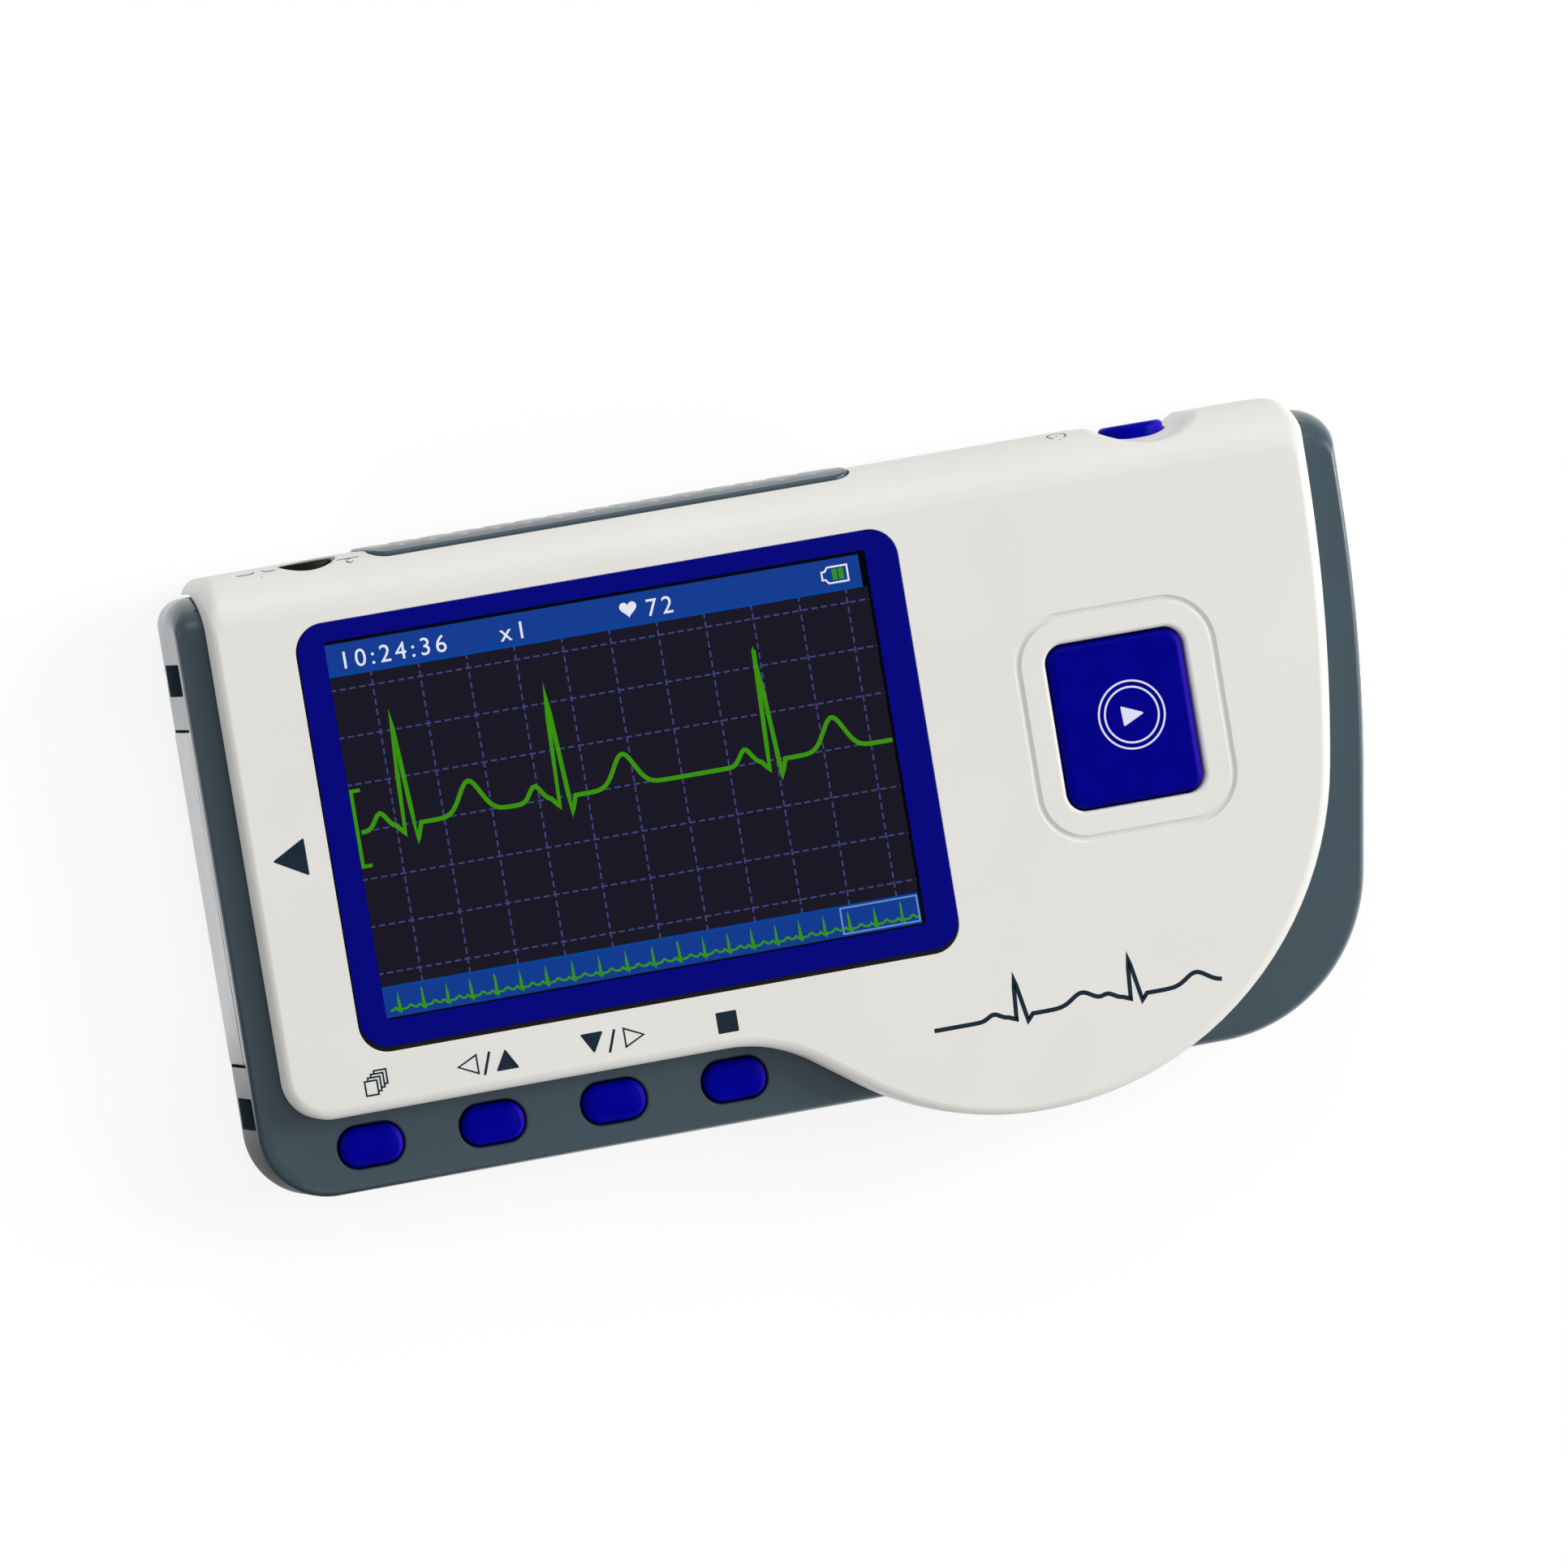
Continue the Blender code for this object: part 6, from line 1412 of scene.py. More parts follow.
def build_plates(sizes, finishes):
    """The three electrode plates, each with its tab.

    An end plate is one section, square with two rounded outer edges, carried along the wall's own
    line: straight at the left, an arc at the right. Its ends are rounded by drawing the face in.
    """
    edge = sizes.plate_edge
    arc = np.radians(np.linspace(0, 90, 8))
    ends = edge * (1 - np.cos(arc))
    back = [-PLATE_THICKNESS]
    for side, node in ((-1, "left_electrode"), (1, "right_electrode")):
        low, high = END_PLATES[side]
        between = np.linspace(low[1] + edge, high[1] - edge, 33)[1:-1]
        y = np.concatenate([low[1] + ends, between, high[1] - ends[::-1]])
        from_end = np.minimum(y - low[1], high[1] - y).clip(0, edge)
        drawn = edge - np.sqrt(edge ** 2 - (edge - from_end) ** 2)
        z = np.concatenate([[low[2]], low[2] + ends, high[2] - edge + edge * np.sin(arc), [high[2]]])
        out = np.concatenate([back, edge * np.sin(arc) - edge, edge * np.cos(arc) - edge, back])
        offset = np.where(out[None] > -PLATE_THICKNESS, out[None] - drawn[:, None], out[None])
        wall = end_wall_x(side, y)[:, None]
        x = wall + side * (PLATE_STAND + offset)
        grid = np.stack(np.broadcast_arrays(x, y[:, None], z[None]), axis=-1)
        plate = surface(f"{node}_plate", grid)
        carve(plate, "UNION", tab_block("tab", side, 0))
        finish(plate, "recorder", "plated_steel", finishes["plate_end"], node)
    insets, heights = quarter_round(edge, 0)
    plate = shaped(
        "rear_plate",
        rectangle(rear_low, rear_high, REAR_PLATE_RADIUS),
        np.concatenate([insets[::-1], [0]]),
        np.concatenate([rear_low[2] + edge - heights[::-1], [REAR_PLATE_TOP]]),
    )
    carve(plate, "UNION", rear_tab("tab", 0, REAR_PLATE_TOP / 2, rear_high[2]))
    return finish(plate, "recorder", "plated_steel", finishes["plate_back"], "rear_electrode")


def build_supply(finishes):
    """The two cells, with crimped ends and a nub each, and the springs behind them.

    A cell is a turned profile: its first four places run round the crimp at its flat end, and the
    others, counted back from its length, round the other crimp and up the nub.
    """
    for node, points_right, key in (("battery_1", True, "cell_1"), ("battery_2", False, "cell_2")):
        low, high = node_box(node)
        length = high[0] - low[0]
        radii = np.array((4.6, 4.9, 5.15, 5.25, 5.25, 5.15, 4.85, 4.6, 2.75, 2.75, 2.5)) * MM
        places = np.array((0, 0, 0.15, 0.45, -1.5, -1.1, -0.95, -0.8, -0.8, -0.25, 0)) * MM
        places[4:] += length
        along = low[0] + places if points_right else high[0] - places
        cell = turned(f"{node}_cell", radii, along, node_middle(node)[1:], "X")
        finish(cell, "recorder", "cell_wrap", finishes[key], node)
    for node, cell_node, reverse in (
        ("cell_spring_1", "battery_1", False),
        ("cell_spring_2", "battery_2", True),
    ):
        low, high = node_box(node)
        start, end = low[0] + SPRING_WIRE, high[0] - SPRING_WIRE
        if reverse:
            start, end = end, start
        form = (SPRING_WIDE, SPRING_NARROW, SPRING_TURNS, SPRING_WIRE)
        spring = coil(f"{node}_wire", start, end, *form, node_middle(cell_node)[1:])
        finish(spring, "recorder", "plated_steel", finishes["steel"], node)


# Prints and display

INK_SUNK = 0.02 * MM
THIN_LINE = 0.2 * MM


def filled(name, places, low, high, radius=0.12 * MM):
    """A filled mark with softly rounded corners, as a thin solid."""
    corners = np.array([(x * MM, y * MM, radius) for x, y in places])
    return prism(name, ring_of(rounded(corners, 4)), low, high)


def stroked(name, places, width, low, high, closed=False):
    """A drawn line through places given in millimetres, as a thin solid."""
    return ribbon(name, np.asarray(places, float) * MM, width, low, high, closed)


SPIKE = (-1.2, -0.38, 0.0, 0.95, 1.6)


def pulse(x, beats, base, height, spread=1.0, swell=0.29):
    """A heart line's height at places x: for each beat a low hill, a spike with its dip, and a hill.

    Each hill is a Gaussian. The spike rises in a straight line to its top and falls in one to the
    dip behind it.
    """
    y = np.full_like(x, base)
    for beat in beats:
        away = (x - beat) / spread
        y = y + height * 0.14 * np.exp(-((away + 2.9) / 0.95) ** 2)
        y = y + height * swell * np.exp(-((away - 7.6) / 1.7) ** 2)
        y = y + height * np.interp(away, SPIKE, (0, -0.07, 1, -0.15, 0))
    return y


def heart_line(
    name, left, right, beats, base, height, width, low, high, spread=1.0, step=0.3, swell=0.29
):
    """A heart line drawn from left to right, its places in millimetres."""
    corners = [beat + spread * turn for beat in beats for turn in SPIKE]
    x = np.unique(np.concatenate([np.arange(left, right, step), corners, [right]]))
    x = x[(x >= left) & (x <= right)]
    y = pulse(x, beats, base, height, spread, swell)
    return ribbon(name, np.stack([x, y], axis=-1) * MM, width, low, high)


def build_prints(sizes, finishes):
    """The marks on the cover and on the start key."""
    low, high = FRONT_Z - INK_SUNK, FRONT_Z + sizes.ink_thickness
    card = ((-56.4, -22.5), (-55.0, -22.5), (-55.0, -20.9), (-56.4, -20.9))
    marks = [
        filled("arrow", ((-62.55, 5.05), (-58.65, 2.85), (-58.65, 7.15)), low, high),
        filled("stop", ((-15.6, -22.65), (-13.2, -22.65), (-13.2, -20.25), (-15.6, -20.25)), low, high),
        filled("up", ((-41.4, -22.35), (-38.7, -22.35), (-40.05, -20.0)), low, high),
        filled("down", ((-31.35, -19.95), (-30.0, -22.3), (-28.65, -19.95)), low, high),
        stroked("left", ((-45.6, -21.15), (-43.4, -22.2), (-43.4, -20.1)), THIN_LINE, low, high, True),
        stroked("right", ((-26.3, -22.2), (-24.1, -21.15), (-26.3, -20.1)), THIN_LINE, low, high, True),
        stroked("slash", ((-42.75, -22.5), (-41.85, -20.0)), 0.3 * MM, low, high),
        stroked("slash", ((-28.25, -22.5), (-27.35, -20.0)), 0.3 * MM, low, high),
        stroked("card", card, THIN_LINE, low, high, True),
    ]
    for right, top in ((-54.6, -20.55), (-54.2, -20.2), (-53.8, -19.85)):
        behind = (
            (right - 1.4, top - 0.35), (right - 1.4, top), (right, top),
            (right, top - 1.6), (right - 0.4, top - 1.6),
        )
        marks.append(stroked("card", behind, THIN_LINE, low, high))
    beats = (19.0, 32.5)
    marks.append(heart_line("pulse_mark", 9.0, 43.0, beats, -26.6, 4.6, sizes.pulse_width, low, high))
    finish(merged("cover_marks", marks), "recorder", "black_plastic", finishes["ink"])
    middle = START_MIDDLE / MM + (0.75, 0.35)
    rings = [
        ribbon("ring", circle(middle * MM, radius * MM, 96), 0.22 * MM, low, high, True)
        for radius in (3.85, 3.15)
    ]
    play = filled("play", middle + ((-1.2, 1.15), (-1.1, -1.2), (1.5, 0.0)), low, high)
    finish(merged("start_mark", [*rings, play]), "start", "white_plastic", finishes["key_ink"])
    finish(merged("top_marks", top_side_marks(sizes)), "recorder", "black_plastic", finishes["pale_ink"])


def on_top_side(piece):
    """Bends a flat piece, drawn with Z as its Y and its thickness as its Z, onto the rounded top side.

    A place at height z lands at y = spring + reach times the root of 1 - lift^2, and its thickness
    runs along that ellipse's normal.
    """
    data = piece.data
    places = np.empty(len(data.vertices) * 3)
    data.vertices.foreach_get("co", places)
    x, z, out = places.reshape(-1, 3).T
    lift = np.clip((z - FRONT_Z + TOP_DROP) / TOP_DROP, 0, 0.999)
    run = np.sqrt(1 - lift ** 2)
    normal = np.stack([run / TOP_REACH, lift / TOP_DROP])
    normal /= np.linalg.norm(normal, axis=0)
    y = COVER_TOP - TOP_REACH + TOP_REACH * run + out * normal[0]
    data.vertices.foreach_set("co", np.stack([x, y, z + out * normal[1]], axis=-1).ravel())
    flip = bmesh.new()
    flip.from_mesh(data)
    bmesh.ops.recalc_face_normals(flip, faces=flip.faces)
    flip.to_mesh(data)
    flip.free()
    return piece


def top_side_marks(sizes):
    """Small marks beside the socket and the power button, drawn flat and bent onto the top side."""
    low, high = -INK_SUNK, sizes.ink_thickness
    line = (
        (-60.2, 12.9), (-58.6, 12.9), (-58.2, 12.5), (-57.7, 14.2),
        (-57.2, 12.3), (-56.9, 12.9), (-55.8, 12.9),
    )
    turn = np.radians(np.linspace(125, 415, 25))
    arc = np.stack([35.7 + 1.05 * np.cos(turn), 12.4 + 1.05 * np.sin(turn)], axis=-1)
    plug = ((-47.9, 13.0), (-47.1, 13.0), (-47.1, 14.1), (-47.5, 14.5), (-47.9, 14.1))
    return [
        on_top_side(stroked("pulse_sign", line, 0.26 * MM, low, high)),
        on_top_side(filled("lead_sign", plug, low, high)),
        on_top_side(stroked("lead_line", ((-48.8, 13.1), (-46.2, 13.1)), THIN_LINE, low, high)),
        on_top_side(stroked("power_sign", arc, THIN_LINE, low, high)),
        on_top_side(stroked("power_stem", ((35.7, 12.5), (35.7, 13.9)), THIN_LINE, low, high)),
    ]


def framed(name, outer, inner, low, high):
    """A flat frame between two outlines of as many corners, from one height to another."""
    outer, inner = (ring_of(rounded(corners)) for corners in (outer, inner))
    levels = ((outer, low), (outer, high), (inner, high), (inner, low))
    return surface(name, np.stack([placed(outline, z) for outline, z in levels]), closed=True)


def build_window(finishes):
    """The pane, the blue mask under it, the blue print along its edge, and a dark band of painted shadow
    in the gap round it.

    The pane meets the cover at the top and right, and leaves a line of the painted shadow band at the
    left and foot.
    The print's opening lies towards the camera from the mask's, by what a sight line covers between
    the two.
    """
    pane_box = rectangle(WINDOW_LOW + (GAP_SHADOW_LEFT, GAP_SHADOW_BELOW), WINDOW_HIGH, WINDOW_RADIUS)
    top = lens_high[2] - PRINT_THICKNESS
    pane = shaped("pane", pane_box, (0, 0), (lens_low[2], top))
    finish(pane, "recorder", "clear_acrylic", finishes["pane"], "screen_lens")
    opening = rectangle(OPEN_LOW, OPEN_HIGH, SCREEN_RADIUS)
    mask_box = rectangle(mask_low, mask_high, WINDOW_RADIUS - GAP)
    mask = framed("screen_mask", mask_box, opening, mask_low[2], mask_high[2])
    finish(mask, "recorder", "blue_plastic", finishes["border"], "window_mask")
    opening[:, :2] += SIGHT_SLOPE * (lens_high[2] - mask_high[2])
    border = framed("pane_print", pane_box, opening, top - PRINT_THICKNESS / 2, lens_high[2])
    finish(border, "recorder", "blue_plastic", finishes["border"])
    # painted shadow: a near-black band in the gap, standing for the shade at the pane's edge
    inner = moved_in(pane_box, GAP_SHADOW_UNDER)
    outer = rectangle(WINDOW_LOW, WINDOW_HIGH, WINDOW_RADIUS)
    seal = framed("pane_seal", outer, inner, lens_low[2], FRONT_Z - GAP_SHADOW_SETBACK)
    finish(seal, "recorder", "black_plastic", finishes["seal"])


def build_display(sizes, finishes):
    """The lit panel and what it shows: a heart line, its overview, a clock, a beat count and a battery.

    The heart mark is the curve (16 sin^3 t, 13 cos t - 5 cos 2t - 2 cos 3t - cos 4t), and the beats of
    the overview stand at an even pitch that a sine shifts a little. The places are in millimetres.
    """
    corners = rectangle(panel_low, panel_high, SMALL_RADIUS)
    panel = shaped("lit_panel", corners, (0, 0), (panel_low[2], panel_high[2]), facets=2)
    finish(panel, "recorder", "display_glass", finishes["display"], "lcd_panel")
    low, high = panel_high[2] - LIGHT_THICKNESS / 2, panel_high[2] + LIGHT_THICKNESS / 2
    left, right = SCREEN_LOW[0] / MM, SCREEN_HIGH[0] / MM
    foot = SCREEN_LOW[1] / MM
    beats = (-46.35, -28.45, -3.95)
    trace = heart_line("trace", left + 0.9, right + 0.45, beats, 6.5, 12.6, sizes.trace_width, low, high)
    bracket_line = ((left + 1.5, 11.2), (left + 0.45, 11.2), (left + 0.45, 2.7), (left + 1.5, 2.7))
    bracket = stroked("bracket", bracket_line, sizes.trace_width * 0.8, low, high)
    finish(merged("heart_trace", [trace, bracket]), "recorder", "display_glass", finishes["green"])
    beats = np.arange(left + 1.6, right - 1.0, 2.95)
    beats = beats + 0.35 * np.sin(2.3 * beats)
    overview = heart_line(
        "overview", left + 0.8, right + 0.2, beats, foot + 0.75, 1.9, 0.24 * MM, low, high,
        spread=0.17, step=0.15, swell=0.18,
    )
    bars = [
        filled("bar", ((x, 25.35), (x + 0.56, 25.35), (x + 0.56, 26.6), (x, 26.6)), low, high, 0.05 * MM)
        for x in (6.45, 7.2)
    ]
    finish(merged("small_trace", [overview, *bars]), "recorder", "display_glass", finishes["dim_green"])
    end = right + 0.2
    box = ((1.0, foot + 0.3), (end, foot + 0.3), (end, foot + 3.2), (1.0, foot + 3.2))
    frame_line = stroked("selection", box, 0.18 * MM, low, high, True)
    finish(frame_line, "recorder", "display_glass", finishes["light_blue"])
    words = (("clock", "10:24:36", -51.0), ("gain", "x1", -32.4), ("count", "72", -15.4))
    readings = [
        lettering(name, shown, (place * MM, READING_FOOT), READING_HEIGHT, low, high - low)
        for name, shown, place in words
    ]
    turn = np.linspace(0, 2 * math.pi, 49)[:-1]
    heart_x = 16 * np.sin(turn) ** 3
    heart_y = 13 * np.cos(turn) - 5 * np.cos(2 * turn) - 2 * np.cos(3 * turn) - np.cos(4 * turn)
    heart = np.stack([heart_x, heart_y], axis=-1) * 0.062
    heart = prism("heart", (heart[::-1] + (-17.4, 26.1)) * MM, low, high)
    cell_line = (
        (8.25, 25.05), (8.25, 26.85), (5.95, 26.85), (5.6, 26.4),
        (5.25, 26.4), (5.25, 25.5), (5.6, 25.5), (5.95, 25.05),
    )
    marks = [*readings, heart, stroked("cell", cell_line, 0.2 * MM, low, high, True)]
    finish(merged("display_marks", marks), "recorder", "display_glass", finishes["white_light"])


# Stage

WHITE, COOL_WHITE = (1.0, 1.0, 1.0), (0.82, 0.92, 1.0)
FLOOR_HALF, FLOOR_Z = 2.0, -0.02 * MM
PAINTED_SHADOW_CORNER = (-0.102, -0.082)  # x + y at which the painted shadow in reflections begins to fade, and at which it ends
CAMERA_MIDDLE = (-0.2 * MM, -0.05 * MM, 9 * MM)
CAMERA_SHIFT = (-18.6 * MM / 10.9, 35.0 * MM / 10.9)  # along the picture's sides


def build_stage(stage):
    """The pale floor, the soft lamps, the white surroundings and the photograph's camera.

    The floor's mask for what the rays see is the greatest of camera, glossy and through rays. Where a
    reflection shows the corner beyond the recorder's lower left, the floor is dark: a painted shadow,
    seen only in reflections.
    """
    half, low = FLOOR_HALF, FLOOR_Z
    corners = [(-half, -half, low), (half, -half, low), (half, half, low), (-half, half, low)]
    data = bpy.data.meshes.new("floor")
    data.from_pydata(corners, [], [(0, 1, 2, 3)])
    floor = linked("floor", data)
    made = Surface("pale_floor", Roughness=0.9, Specular_IOR_Level=0.0, Emission_Strength=1.0)
    x, y, _ = made.coordinates()
    seen = made.seen_background()
    glossy = made.node("ShaderNodeLightPath", output="Is Glossy Ray")
    # painted shadow: glossy rays see the floor dark beyond the recorder's lower left
    floor_painted_shadow = glossy * (1 - made.span(x + y, *PAINTED_SHADOW_CORNER, 0.0, 0.87))
    tinted = made.mix(seen, grey(0.8), grey(1.1 * (1 - stage.floor_glow)))
    glow = made.mix(seen, grey(0.0), grey(stage.floor_glow))
    made.set(
        Base_Color=made.mix(floor_painted_shadow, tinted, grey(0.03)),
        Emission_Color=made.mix(floor_painted_shadow, glow, grey(0.0)),
    )
    data.materials.append(made.material)

    world = bpy.context.scene.world or bpy.data.worlds.new("surroundings")
    bpy.context.scene.world = world
    world.use_nodes = True
    tree = world.node_tree
    background = tree.nodes["Background"]
    around = Network(tree)
    levels = {0: around.seen_background(), 2: stage.ambient, 3: 1.0}
    strength = around.node("ShaderNodeMix", None, levels)
    around.feed(background, {"Strength": strength})
    background.inputs["Color"].default_value = grey(1.0)

    aim = Vector((0, 0, 9 * MM))
    for name, place, size, watts, tint in (
        ("key_lamp", (2.16, 0.40, 1.73), 1.44, stage.key_power, WHITE),
        ("right_lamp", (1.8, 0.1, 0.18), 0.3, stage.right_power, WHITE),
        ("top_lamp", (0.1, 1.2, 0.7), 0.6, stage.top_power, WHITE),
        ("left_lamp", (-1.1, 0.45, 0.25), 0.6, stage.left_power, COOL_WHITE),
        ("front_lamp", (-0.15, -0.9, 0.55), 0.6, stage.front_power, WHITE),
    ):
        lamp_data = bpy.data.lights.new(name, "AREA")
        lamp_data.shape = "SQUARE"
        lamp_data.size = size
        lamp_data.energy = watts
        lamp_data.color = tint
        lamp = linked(name, lamp_data)
        lamp.location = place
        lamp.rotation_euler = (aim - Vector(place)).to_track_quat("-Z", "Y").to_euler()

    yaw, pitch, roll = stage.yaw, stage.pitch, stage.roll
    back = Vector((-math.sin(yaw) * math.cos(pitch), math.sin(pitch), math.cos(yaw) * math.cos(pitch)))
    level = Vector((math.cos(yaw), 0, math.sin(yaw)))
    upright = back.cross(level)
    right = level * math.cos(roll) - upright * math.sin(roll)
    up = level * math.sin(roll) + upright * math.cos(roll)
    target = Vector(CAMERA_MIDDLE) + right * CAMERA_SHIFT[0] + up * CAMERA_SHIFT[1]
    camera_data = bpy.data.cameras.new("camera")
    camera_data.sensor_width = 36.0
    camera_data.lens = stage.lens
    camera_data.clip_start = 0.05
    camera_data.clip_end = 20.0
    camera = linked("camera", camera_data)
    turn = Matrix((right, up, back)).transposed().to_4x4()
    camera.matrix_world = Matrix.Translation(target + back * stage.distance) @ turn
    bpy.context.scene.camera = camera
    bpy.context.scene.view_settings.view_transform = "Standard"


# Settings

def length_property(name, description, millimetres):
    """A setting with a length as its value."""
    return bpy.props.FloatProperty(
        name=name, description=description, default=millimetres * MM, min=0.0, unit="LENGTH",
        precision=5,
    )


def colour_property(name, description, shown):
    """A setting with a colour as its value, given as the screen shows it."""
    return bpy.props.FloatVectorProperty(
        name=name, description=description, default=tone(*shown), size=4, min=0.0, max=1.0,
        subtype="COLOR",
    )


def lamp_property(name, description, watts):
    """A setting with a lamp's power as its value."""
    return bpy.props.FloatProperty(
        name=name, description=description, default=watts, min=0.0, unit="POWER"
    )


def angle_property(name, description, degrees):
    """A setting with an angle as its value."""
    return bpy.props.FloatProperty(
        name=name, description=description, default=math.radians(degrees), subtype="ANGLE"
    )


class RecorderSizes(bpy.types.PropertyGroup):
    """Sizes of the details that the CAD model leaves to the looks."""

    scoop_depth: length_property("Scoop Depth", "Depth of the dip round the power button", 1.25)
    pocket_edge: length_property("Window Edge", "Rounding of the window's rim", 0.12)
    hole_edge: length_property("Start Hole Edge", "Rounding of the start key's hole", 0.5)
    groove_width: length_property("Groove Width", "Width of the ring round the start key", 0.9)
    groove_depth: length_property("Groove Depth", "Depth of the ring round the start key", 0.4)
    shelf_round: length_property("Shelf Rounding", "Rounding along the case's shelf", 1.4)
    row_hole_edge: length_property("Row Hole Edge", "Rounding of the oblong keys' holes", 0.3)
    door_edge: length_property("Door Edge", "Rounding of the battery door's ends", 0.25)
    lip_bead: length_property("Lip Bead", "Rounding of the battery door's upper edge", 0.45)
    grip_count: bpy.props.IntProperty(name="Grips", description="Grooves in the door's lip", default=14)
    grip_pitch: length_property("Grip Pitch", "From one groove in the lip to the next", 3.7)
    grip_width: length_property("Grip Width", "Width of a groove in the lip", 1.6)
    grip_depth: length_property("Grip Depth", "Depth of a groove in the lip", 0.3)
    start_edge: length_property("Start Key Edge", "Rounding of the start key", 0.9)
    key_crown: length_property("Key Crown", "Height of the oblong keys' domes", 0.12)
    jack_setback: length_property("Socket Setback", "From the top side to the socket's mouth", 0.15)
    plate_edge: length_property("Plate Edge", "Rounding of the electrode plates", 0.35)
    ink_thickness: length_property("Ink Thickness", "How far the printed marks stand out", 0.012)
    pulse_width: length_property("Pulse Width", "Width of the printed pulse line", 0.5)
    trace_width: length_property("Trace Width", "Width of the heart line on the display", 0.5)
    grid_left: length_property("Grid Left", "First upright grid line from the screen's left", 4.94)
    grid_pitch: length_property("Grid Pitch", "Between upright grid lines", 5.53)
    grid_bottom: length_property("Grid Bottom", "First level grid line from the screen's foot", 5.0)
    grid_rise: length_property("Grid Rise", "Between level grid lines", 5.34)
    grid_width: length_property("Grid Width", "Thickness of the grid lines", 0.19)
    grid_dash: length_property("Grid Dash", "Length of a dash and its gap", 1.12)
    top_bar: length_property("Top Bar", "Height of the display's upper bar", 3.8)
    bottom_bar: length_property("Bottom Bar", "Height of the display's lower bar", 3.5)


class RecorderColours(bpy.types.PropertyGroup):
    """Colours of the finishes."""

    cover: colour_property("Cover", "White plastic of the front cover", (229, 227, 222))
    case: colour_property("Case", "Grey plastic of the rear case", (56, 74, 83))
    key: colour_property("Start Key", "Blue plastic of the start key", (0, 0, 130))
    row_key: colour_property("Small Keys", "Blue plastic of the oblong keys", (0, 0, 146))
    # painted highlight: violet on the keys' right edges, standing for the lamps' reflection
    painted_key_highlight: colour_property("Key Edge", "Violet of the keys' right edges", (52, 12, 196))
    border: colour_property("Window Border", "Blue print round the screen", (5, 7, 126))
    print_ink: colour_property("Ink", "Ink of the printed marks", (10, 32, 46))


class RecorderStage(bpy.types.PropertyGroup):
    """Lamps and camera."""

    key_power: lamp_property("Key Lamp", "Power of the main lamp", 48.5)
    right_power: lamp_property("Right Lamp", "Power of the lamp on the right", 10.0)
    top_power: lamp_property("Top Lamp", "Power of the lamp beyond the top side", 3.5)
    left_power: lamp_property("Left Lamp", "Power of the lamp on the left", 2.0)
    front_power: lamp_property("Front Lamp", "Power of the lamp below the picture", 1.0)
    ambient: bpy.props.FloatProperty(
        name="Ambient", description="Light from all round", default=0.42, min=0.0
    )
    floor_glow: bpy.props.FloatProperty(
        name="Floor Glow", description="How far the floor is lifted to white", default=0.85,
        min=0.0, max=1.0, subtype="FACTOR",
    )
    yaw: angle_property("Yaw", "Camera's turn about Y", 13)
    pitch: angle_property("Pitch", "Camera's lean to the top side", 2.2)
    roll: angle_property("Roll", "Camera's turn about its axis", 9.45)
    lens: bpy.props.FloatProperty(
        name="Lens", description="Focal length in millimetres", default=304.7, min=1.0, unit="CAMERA"
    )
    distance: bpy.props.FloatProperty(
        name="Distance", description="From the recorder to the camera", default=1.5, unit="LENGTH"
    )


FINISHES = {}


def finishes_of(context):
    """Every finish, made once."""
    if not FINISHES:
        colours = context.scene.recorder_colours
        case_look = (tuple(colours.case), 0.3, 0.14 * MM, 0.003 * MM, 0.3)
        FINISHES.update(
            cover=moulded_plastic("cover_plastic", tuple(colours.cover), 0.42, 0.16 * MM, 0.006 * MM),
            case=moulded_plastic("case_plastic", *case_look, 1.0),
            door=moulded_plastic("door_plastic", *case_look, 0.6),
            key=key_plastic("key_plastic", tuple(colours.key), tuple(colours.painted_key_highlight)),
            row_key=key_plastic("row_key_plastic", tuple(colours.row_key), tuple(colours.painted_key_highlight)),
            border=border_print("border_print", tuple(colours.border)),
            ink=ink("print_ink", tuple(colours.print_ink)),
            pane=clear_pane("clear_pane"),
            display=display("lit_display", context.scene.recorder_sizes),
            key_ink=ink("key_ink", tone(226, 226, 246)),
            pale_ink=ink("pale_ink", tone(84, 88, 92)),
            green=glowing("trace_green", tone(60, 150, 16)),
            dim_green=glowing("overview_green", tone(58, 148, 20)),
            light_blue=glowing("selection_blue", tone(104, 150, 214)),
            white_light=glowing("display_white", tone(232, 236, 250)),
            plate_end=brushed_steel("plate_steel", "Y"),
            plate_back=brushed_steel("back_plate_steel", "X"),
            steel=brushed_steel("contact_steel", "Z", rough=0.28),
            black=moulded_plastic("black_plastic", tone(26, 26, 27), 0.45, 0.12 * MM, 0.006 * MM),
            # painted shadow in the window's gap
            seal=moulded_plastic("seal_rubber", tone(8, 8, 10), 0.6, 0.12 * MM, 0.003 * MM, 0.1),
            socket=moulded_plastic("socket_plastic", tone(14, 15, 6), 0.5, 0.12 * MM, 0.003 * MM, 0.1),
            white=moulded_plastic("white_plastic", tone(228, 228, 225), 0.5, 0.15 * MM, 0.005 * MM),
            cell_1=cell_wrap("cell_wrap_1", "battery_1", True),
            cell_2=cell_wrap("cell_wrap_2", "battery_2", False),
            board=circuit_board("board_mask"),
            cable=flat_cable("cable_film"),
        )
    return FINISHES


# Operators

class RECORDER_OT_cover(bpy.types.Operator):
    """Build the white front cover with its window, holes, groove and scoop"""

    bl_idname = "recorder.cover"
    bl_label = "Front Cover"

    def execute(self, context):
        build_cover(context.scene.recorder_sizes, finishes_of(context))
        return {"FINISHED"}


class RECORDER_OT_case(bpy.types.Operator):
    """Build the grey rear case with its shelf, battery bay, bosses and openings"""

    bl_idname = "recorder.case"
    bl_label = "Rear Case"

    def execute(self, context):
        build_case(context.scene.recorder_sizes, finishes_of(context))
        return {"FINISHED"}


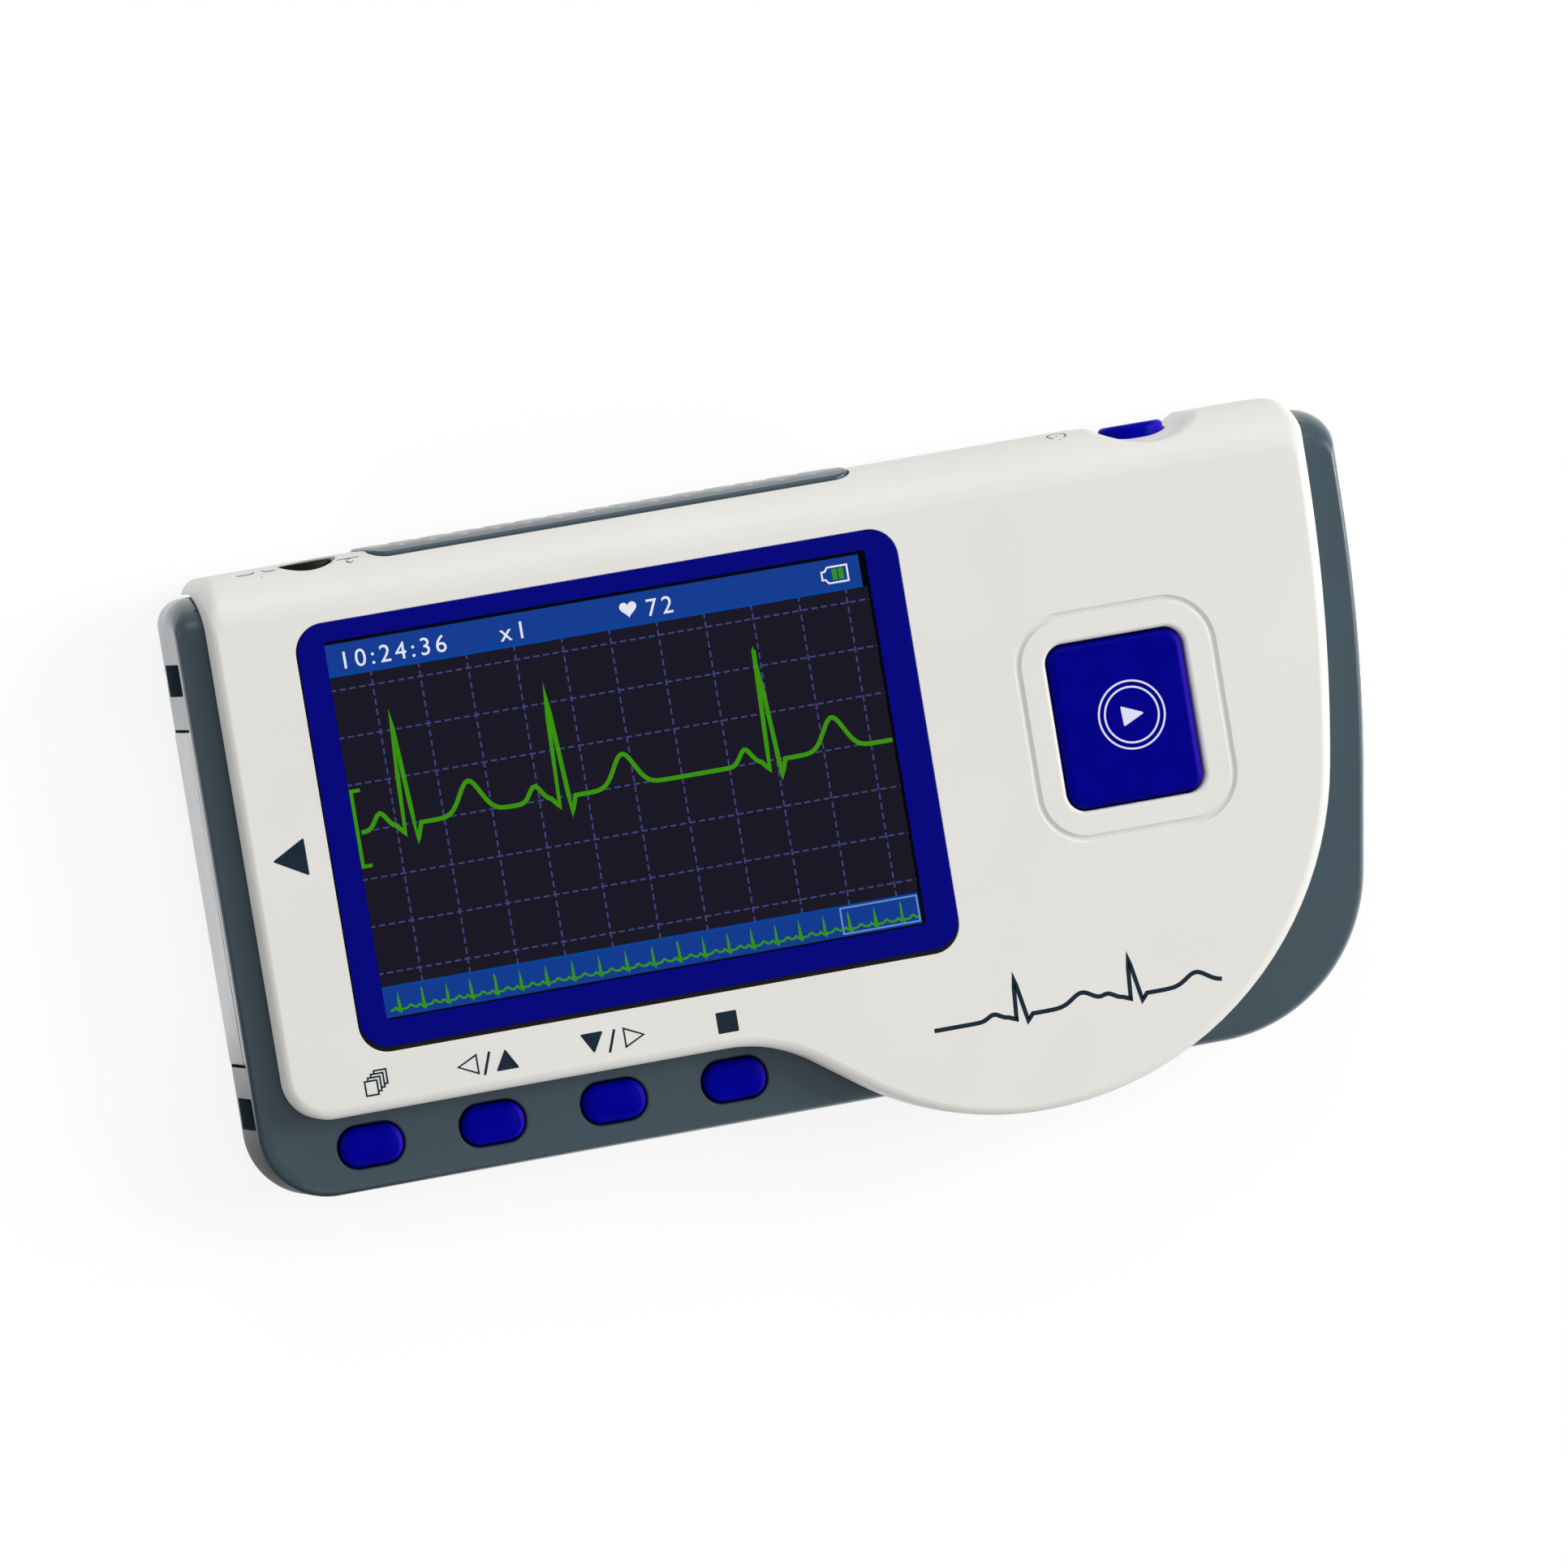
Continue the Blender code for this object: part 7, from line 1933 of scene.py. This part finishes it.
class RECORDER_OT_door(bpy.types.Operator):
    """Build the battery door with its gripped lip and rails"""

    bl_idname = "recorder.door"
    bl_label = "Battery Door"

    def execute(self, context):
        build_door(context.scene.recorder_sizes, finishes_of(context))
        return {"FINISHED"}


class RECORDER_OT_keys(bpy.types.Operator):
    """Build the start key, the four oblong keys and the power button"""

    bl_idname = "recorder.keys"
    bl_label = "Keys"

    def execute(self, context):
        build_keys(context.scene.recorder_sizes, finishes_of(context))
        return {"FINISHED"}


class RECORDER_OT_socket(bpy.types.Operator):
    """Build the black socket for lead wires"""

    bl_idname = "recorder.socket"
    bl_label = "Lead Socket"

    def execute(self, context):
        build_jack(context.scene.recorder_sizes, finishes_of(context))
        return {"FINISHED"}


class RECORDER_OT_plates(bpy.types.Operator):
    """Build the three electrode plates"""

    bl_idname = "recorder.plates"
    bl_label = "Electrode Plates"

    def execute(self, context):
        build_plates(context.scene.recorder_sizes, finishes_of(context))
        return {"FINISHED"}


class RECORDER_OT_supply(bpy.types.Operator):
    """Build the two cells and their springs"""

    bl_idname = "recorder.supply"
    bl_label = "Cells and Springs"

    def execute(self, context):
        build_supply(finishes_of(context))
        return {"FINISHED"}


class RECORDER_OT_prints(bpy.types.Operator):
    """Print the marks on the cover, its top side and the start key"""

    bl_idname = "recorder.prints"
    bl_label = "Printed Marks"

    def execute(self, context):
        build_prints(context.scene.recorder_sizes, finishes_of(context))
        return {"FINISHED"}


class RECORDER_OT_display(bpy.types.Operator):
    """Build the lit panel with its heart line, clock and battery sign"""

    bl_idname = "recorder.display"
    bl_label = "Display"

    def execute(self, context):
        build_display(context.scene.recorder_sizes, finishes_of(context))
        build_window(finishes_of(context))
        return {"FINISHED"}


class RECORDER_OT_inside(bpy.types.Operator):
    """Finish the pieces that keep their CAD shape"""

    bl_idname = "recorder.inside"
    bl_label = "Inner Parts"

    def execute(self, context):
        finishes = finishes_of(context)
        kinds = {
            "white": ("backlight_tray", "flex_connector"),
            "board": ("main_board",),
            "cable": ("display_flex",),
        }
        for name, node in NODES.items():
            if node.hide_render:
                continue
            kind = next((key for key, names in kinds.items() if name in names), None)
            if kind is None:
                steel = ("contact", "spring", "switch", "screw", "can")
                kind = "steel" if any(word in name for word in steel) else "black"
            node.data.materials.clear()
            node.data.materials.append(finishes[kind])
        return {"FINISHED"}


class RECORDER_OT_stage(bpy.types.Operator):
    """Set the floor, lamps, surroundings and camera"""

    bl_idname = "recorder.stage"
    bl_label = "Stage"

    def execute(self, context):
        build_stage(context.scene.recorder_stage)
        return {"FINISHED"}


OPERATORS = (
    RECORDER_OT_cover,
    RECORDER_OT_case,
    RECORDER_OT_door,
    RECORDER_OT_keys,
    RECORDER_OT_socket,
    RECORDER_OT_plates,
    RECORDER_OT_supply,
    RECORDER_OT_prints,
    RECORDER_OT_display,
    RECORDER_OT_inside,
    RECORDER_OT_stage,
)


class RECORDER_PT_panel(bpy.types.Panel):
    """Lists the recorder's pieces"""

    bl_label = "Heart Recorder"
    bl_idname = "RECORDER_PT_panel"
    bl_space_type = "VIEW_3D"
    bl_region_type = "UI"
    bl_category = "Recorder"

    def draw(self, context):
        for operator in OPERATORS:
            self.layout.operator(operator.bl_idname)


GROUPS = {
    "recorder_sizes": RecorderSizes,
    "recorder_colours": RecorderColours,
    "recorder_stage": RecorderStage,
}


def register():
    for group in GROUPS.values():
        bpy.utils.register_class(group)
    for name, group in GROUPS.items():
        setattr(bpy.types.Scene, name, bpy.props.PointerProperty(type=group))
    for shown in (*OPERATORS, RECORDER_PT_panel):
        bpy.utils.register_class(shown)


def unregister():
    for shown in (RECORDER_PT_panel, *reversed(OPERATORS)):
        bpy.utils.unregister_class(shown)
    for name, group in reversed(GROUPS.items()):
        delattr(bpy.types.Scene, name)
        bpy.utils.unregister_class(group)


def main():
    register()
    for operator in OPERATORS:
        family, name = operator.bl_idname.split(".")
        getattr(getattr(bpy.ops, family), name)()


if __name__ == "__main__":
    main()
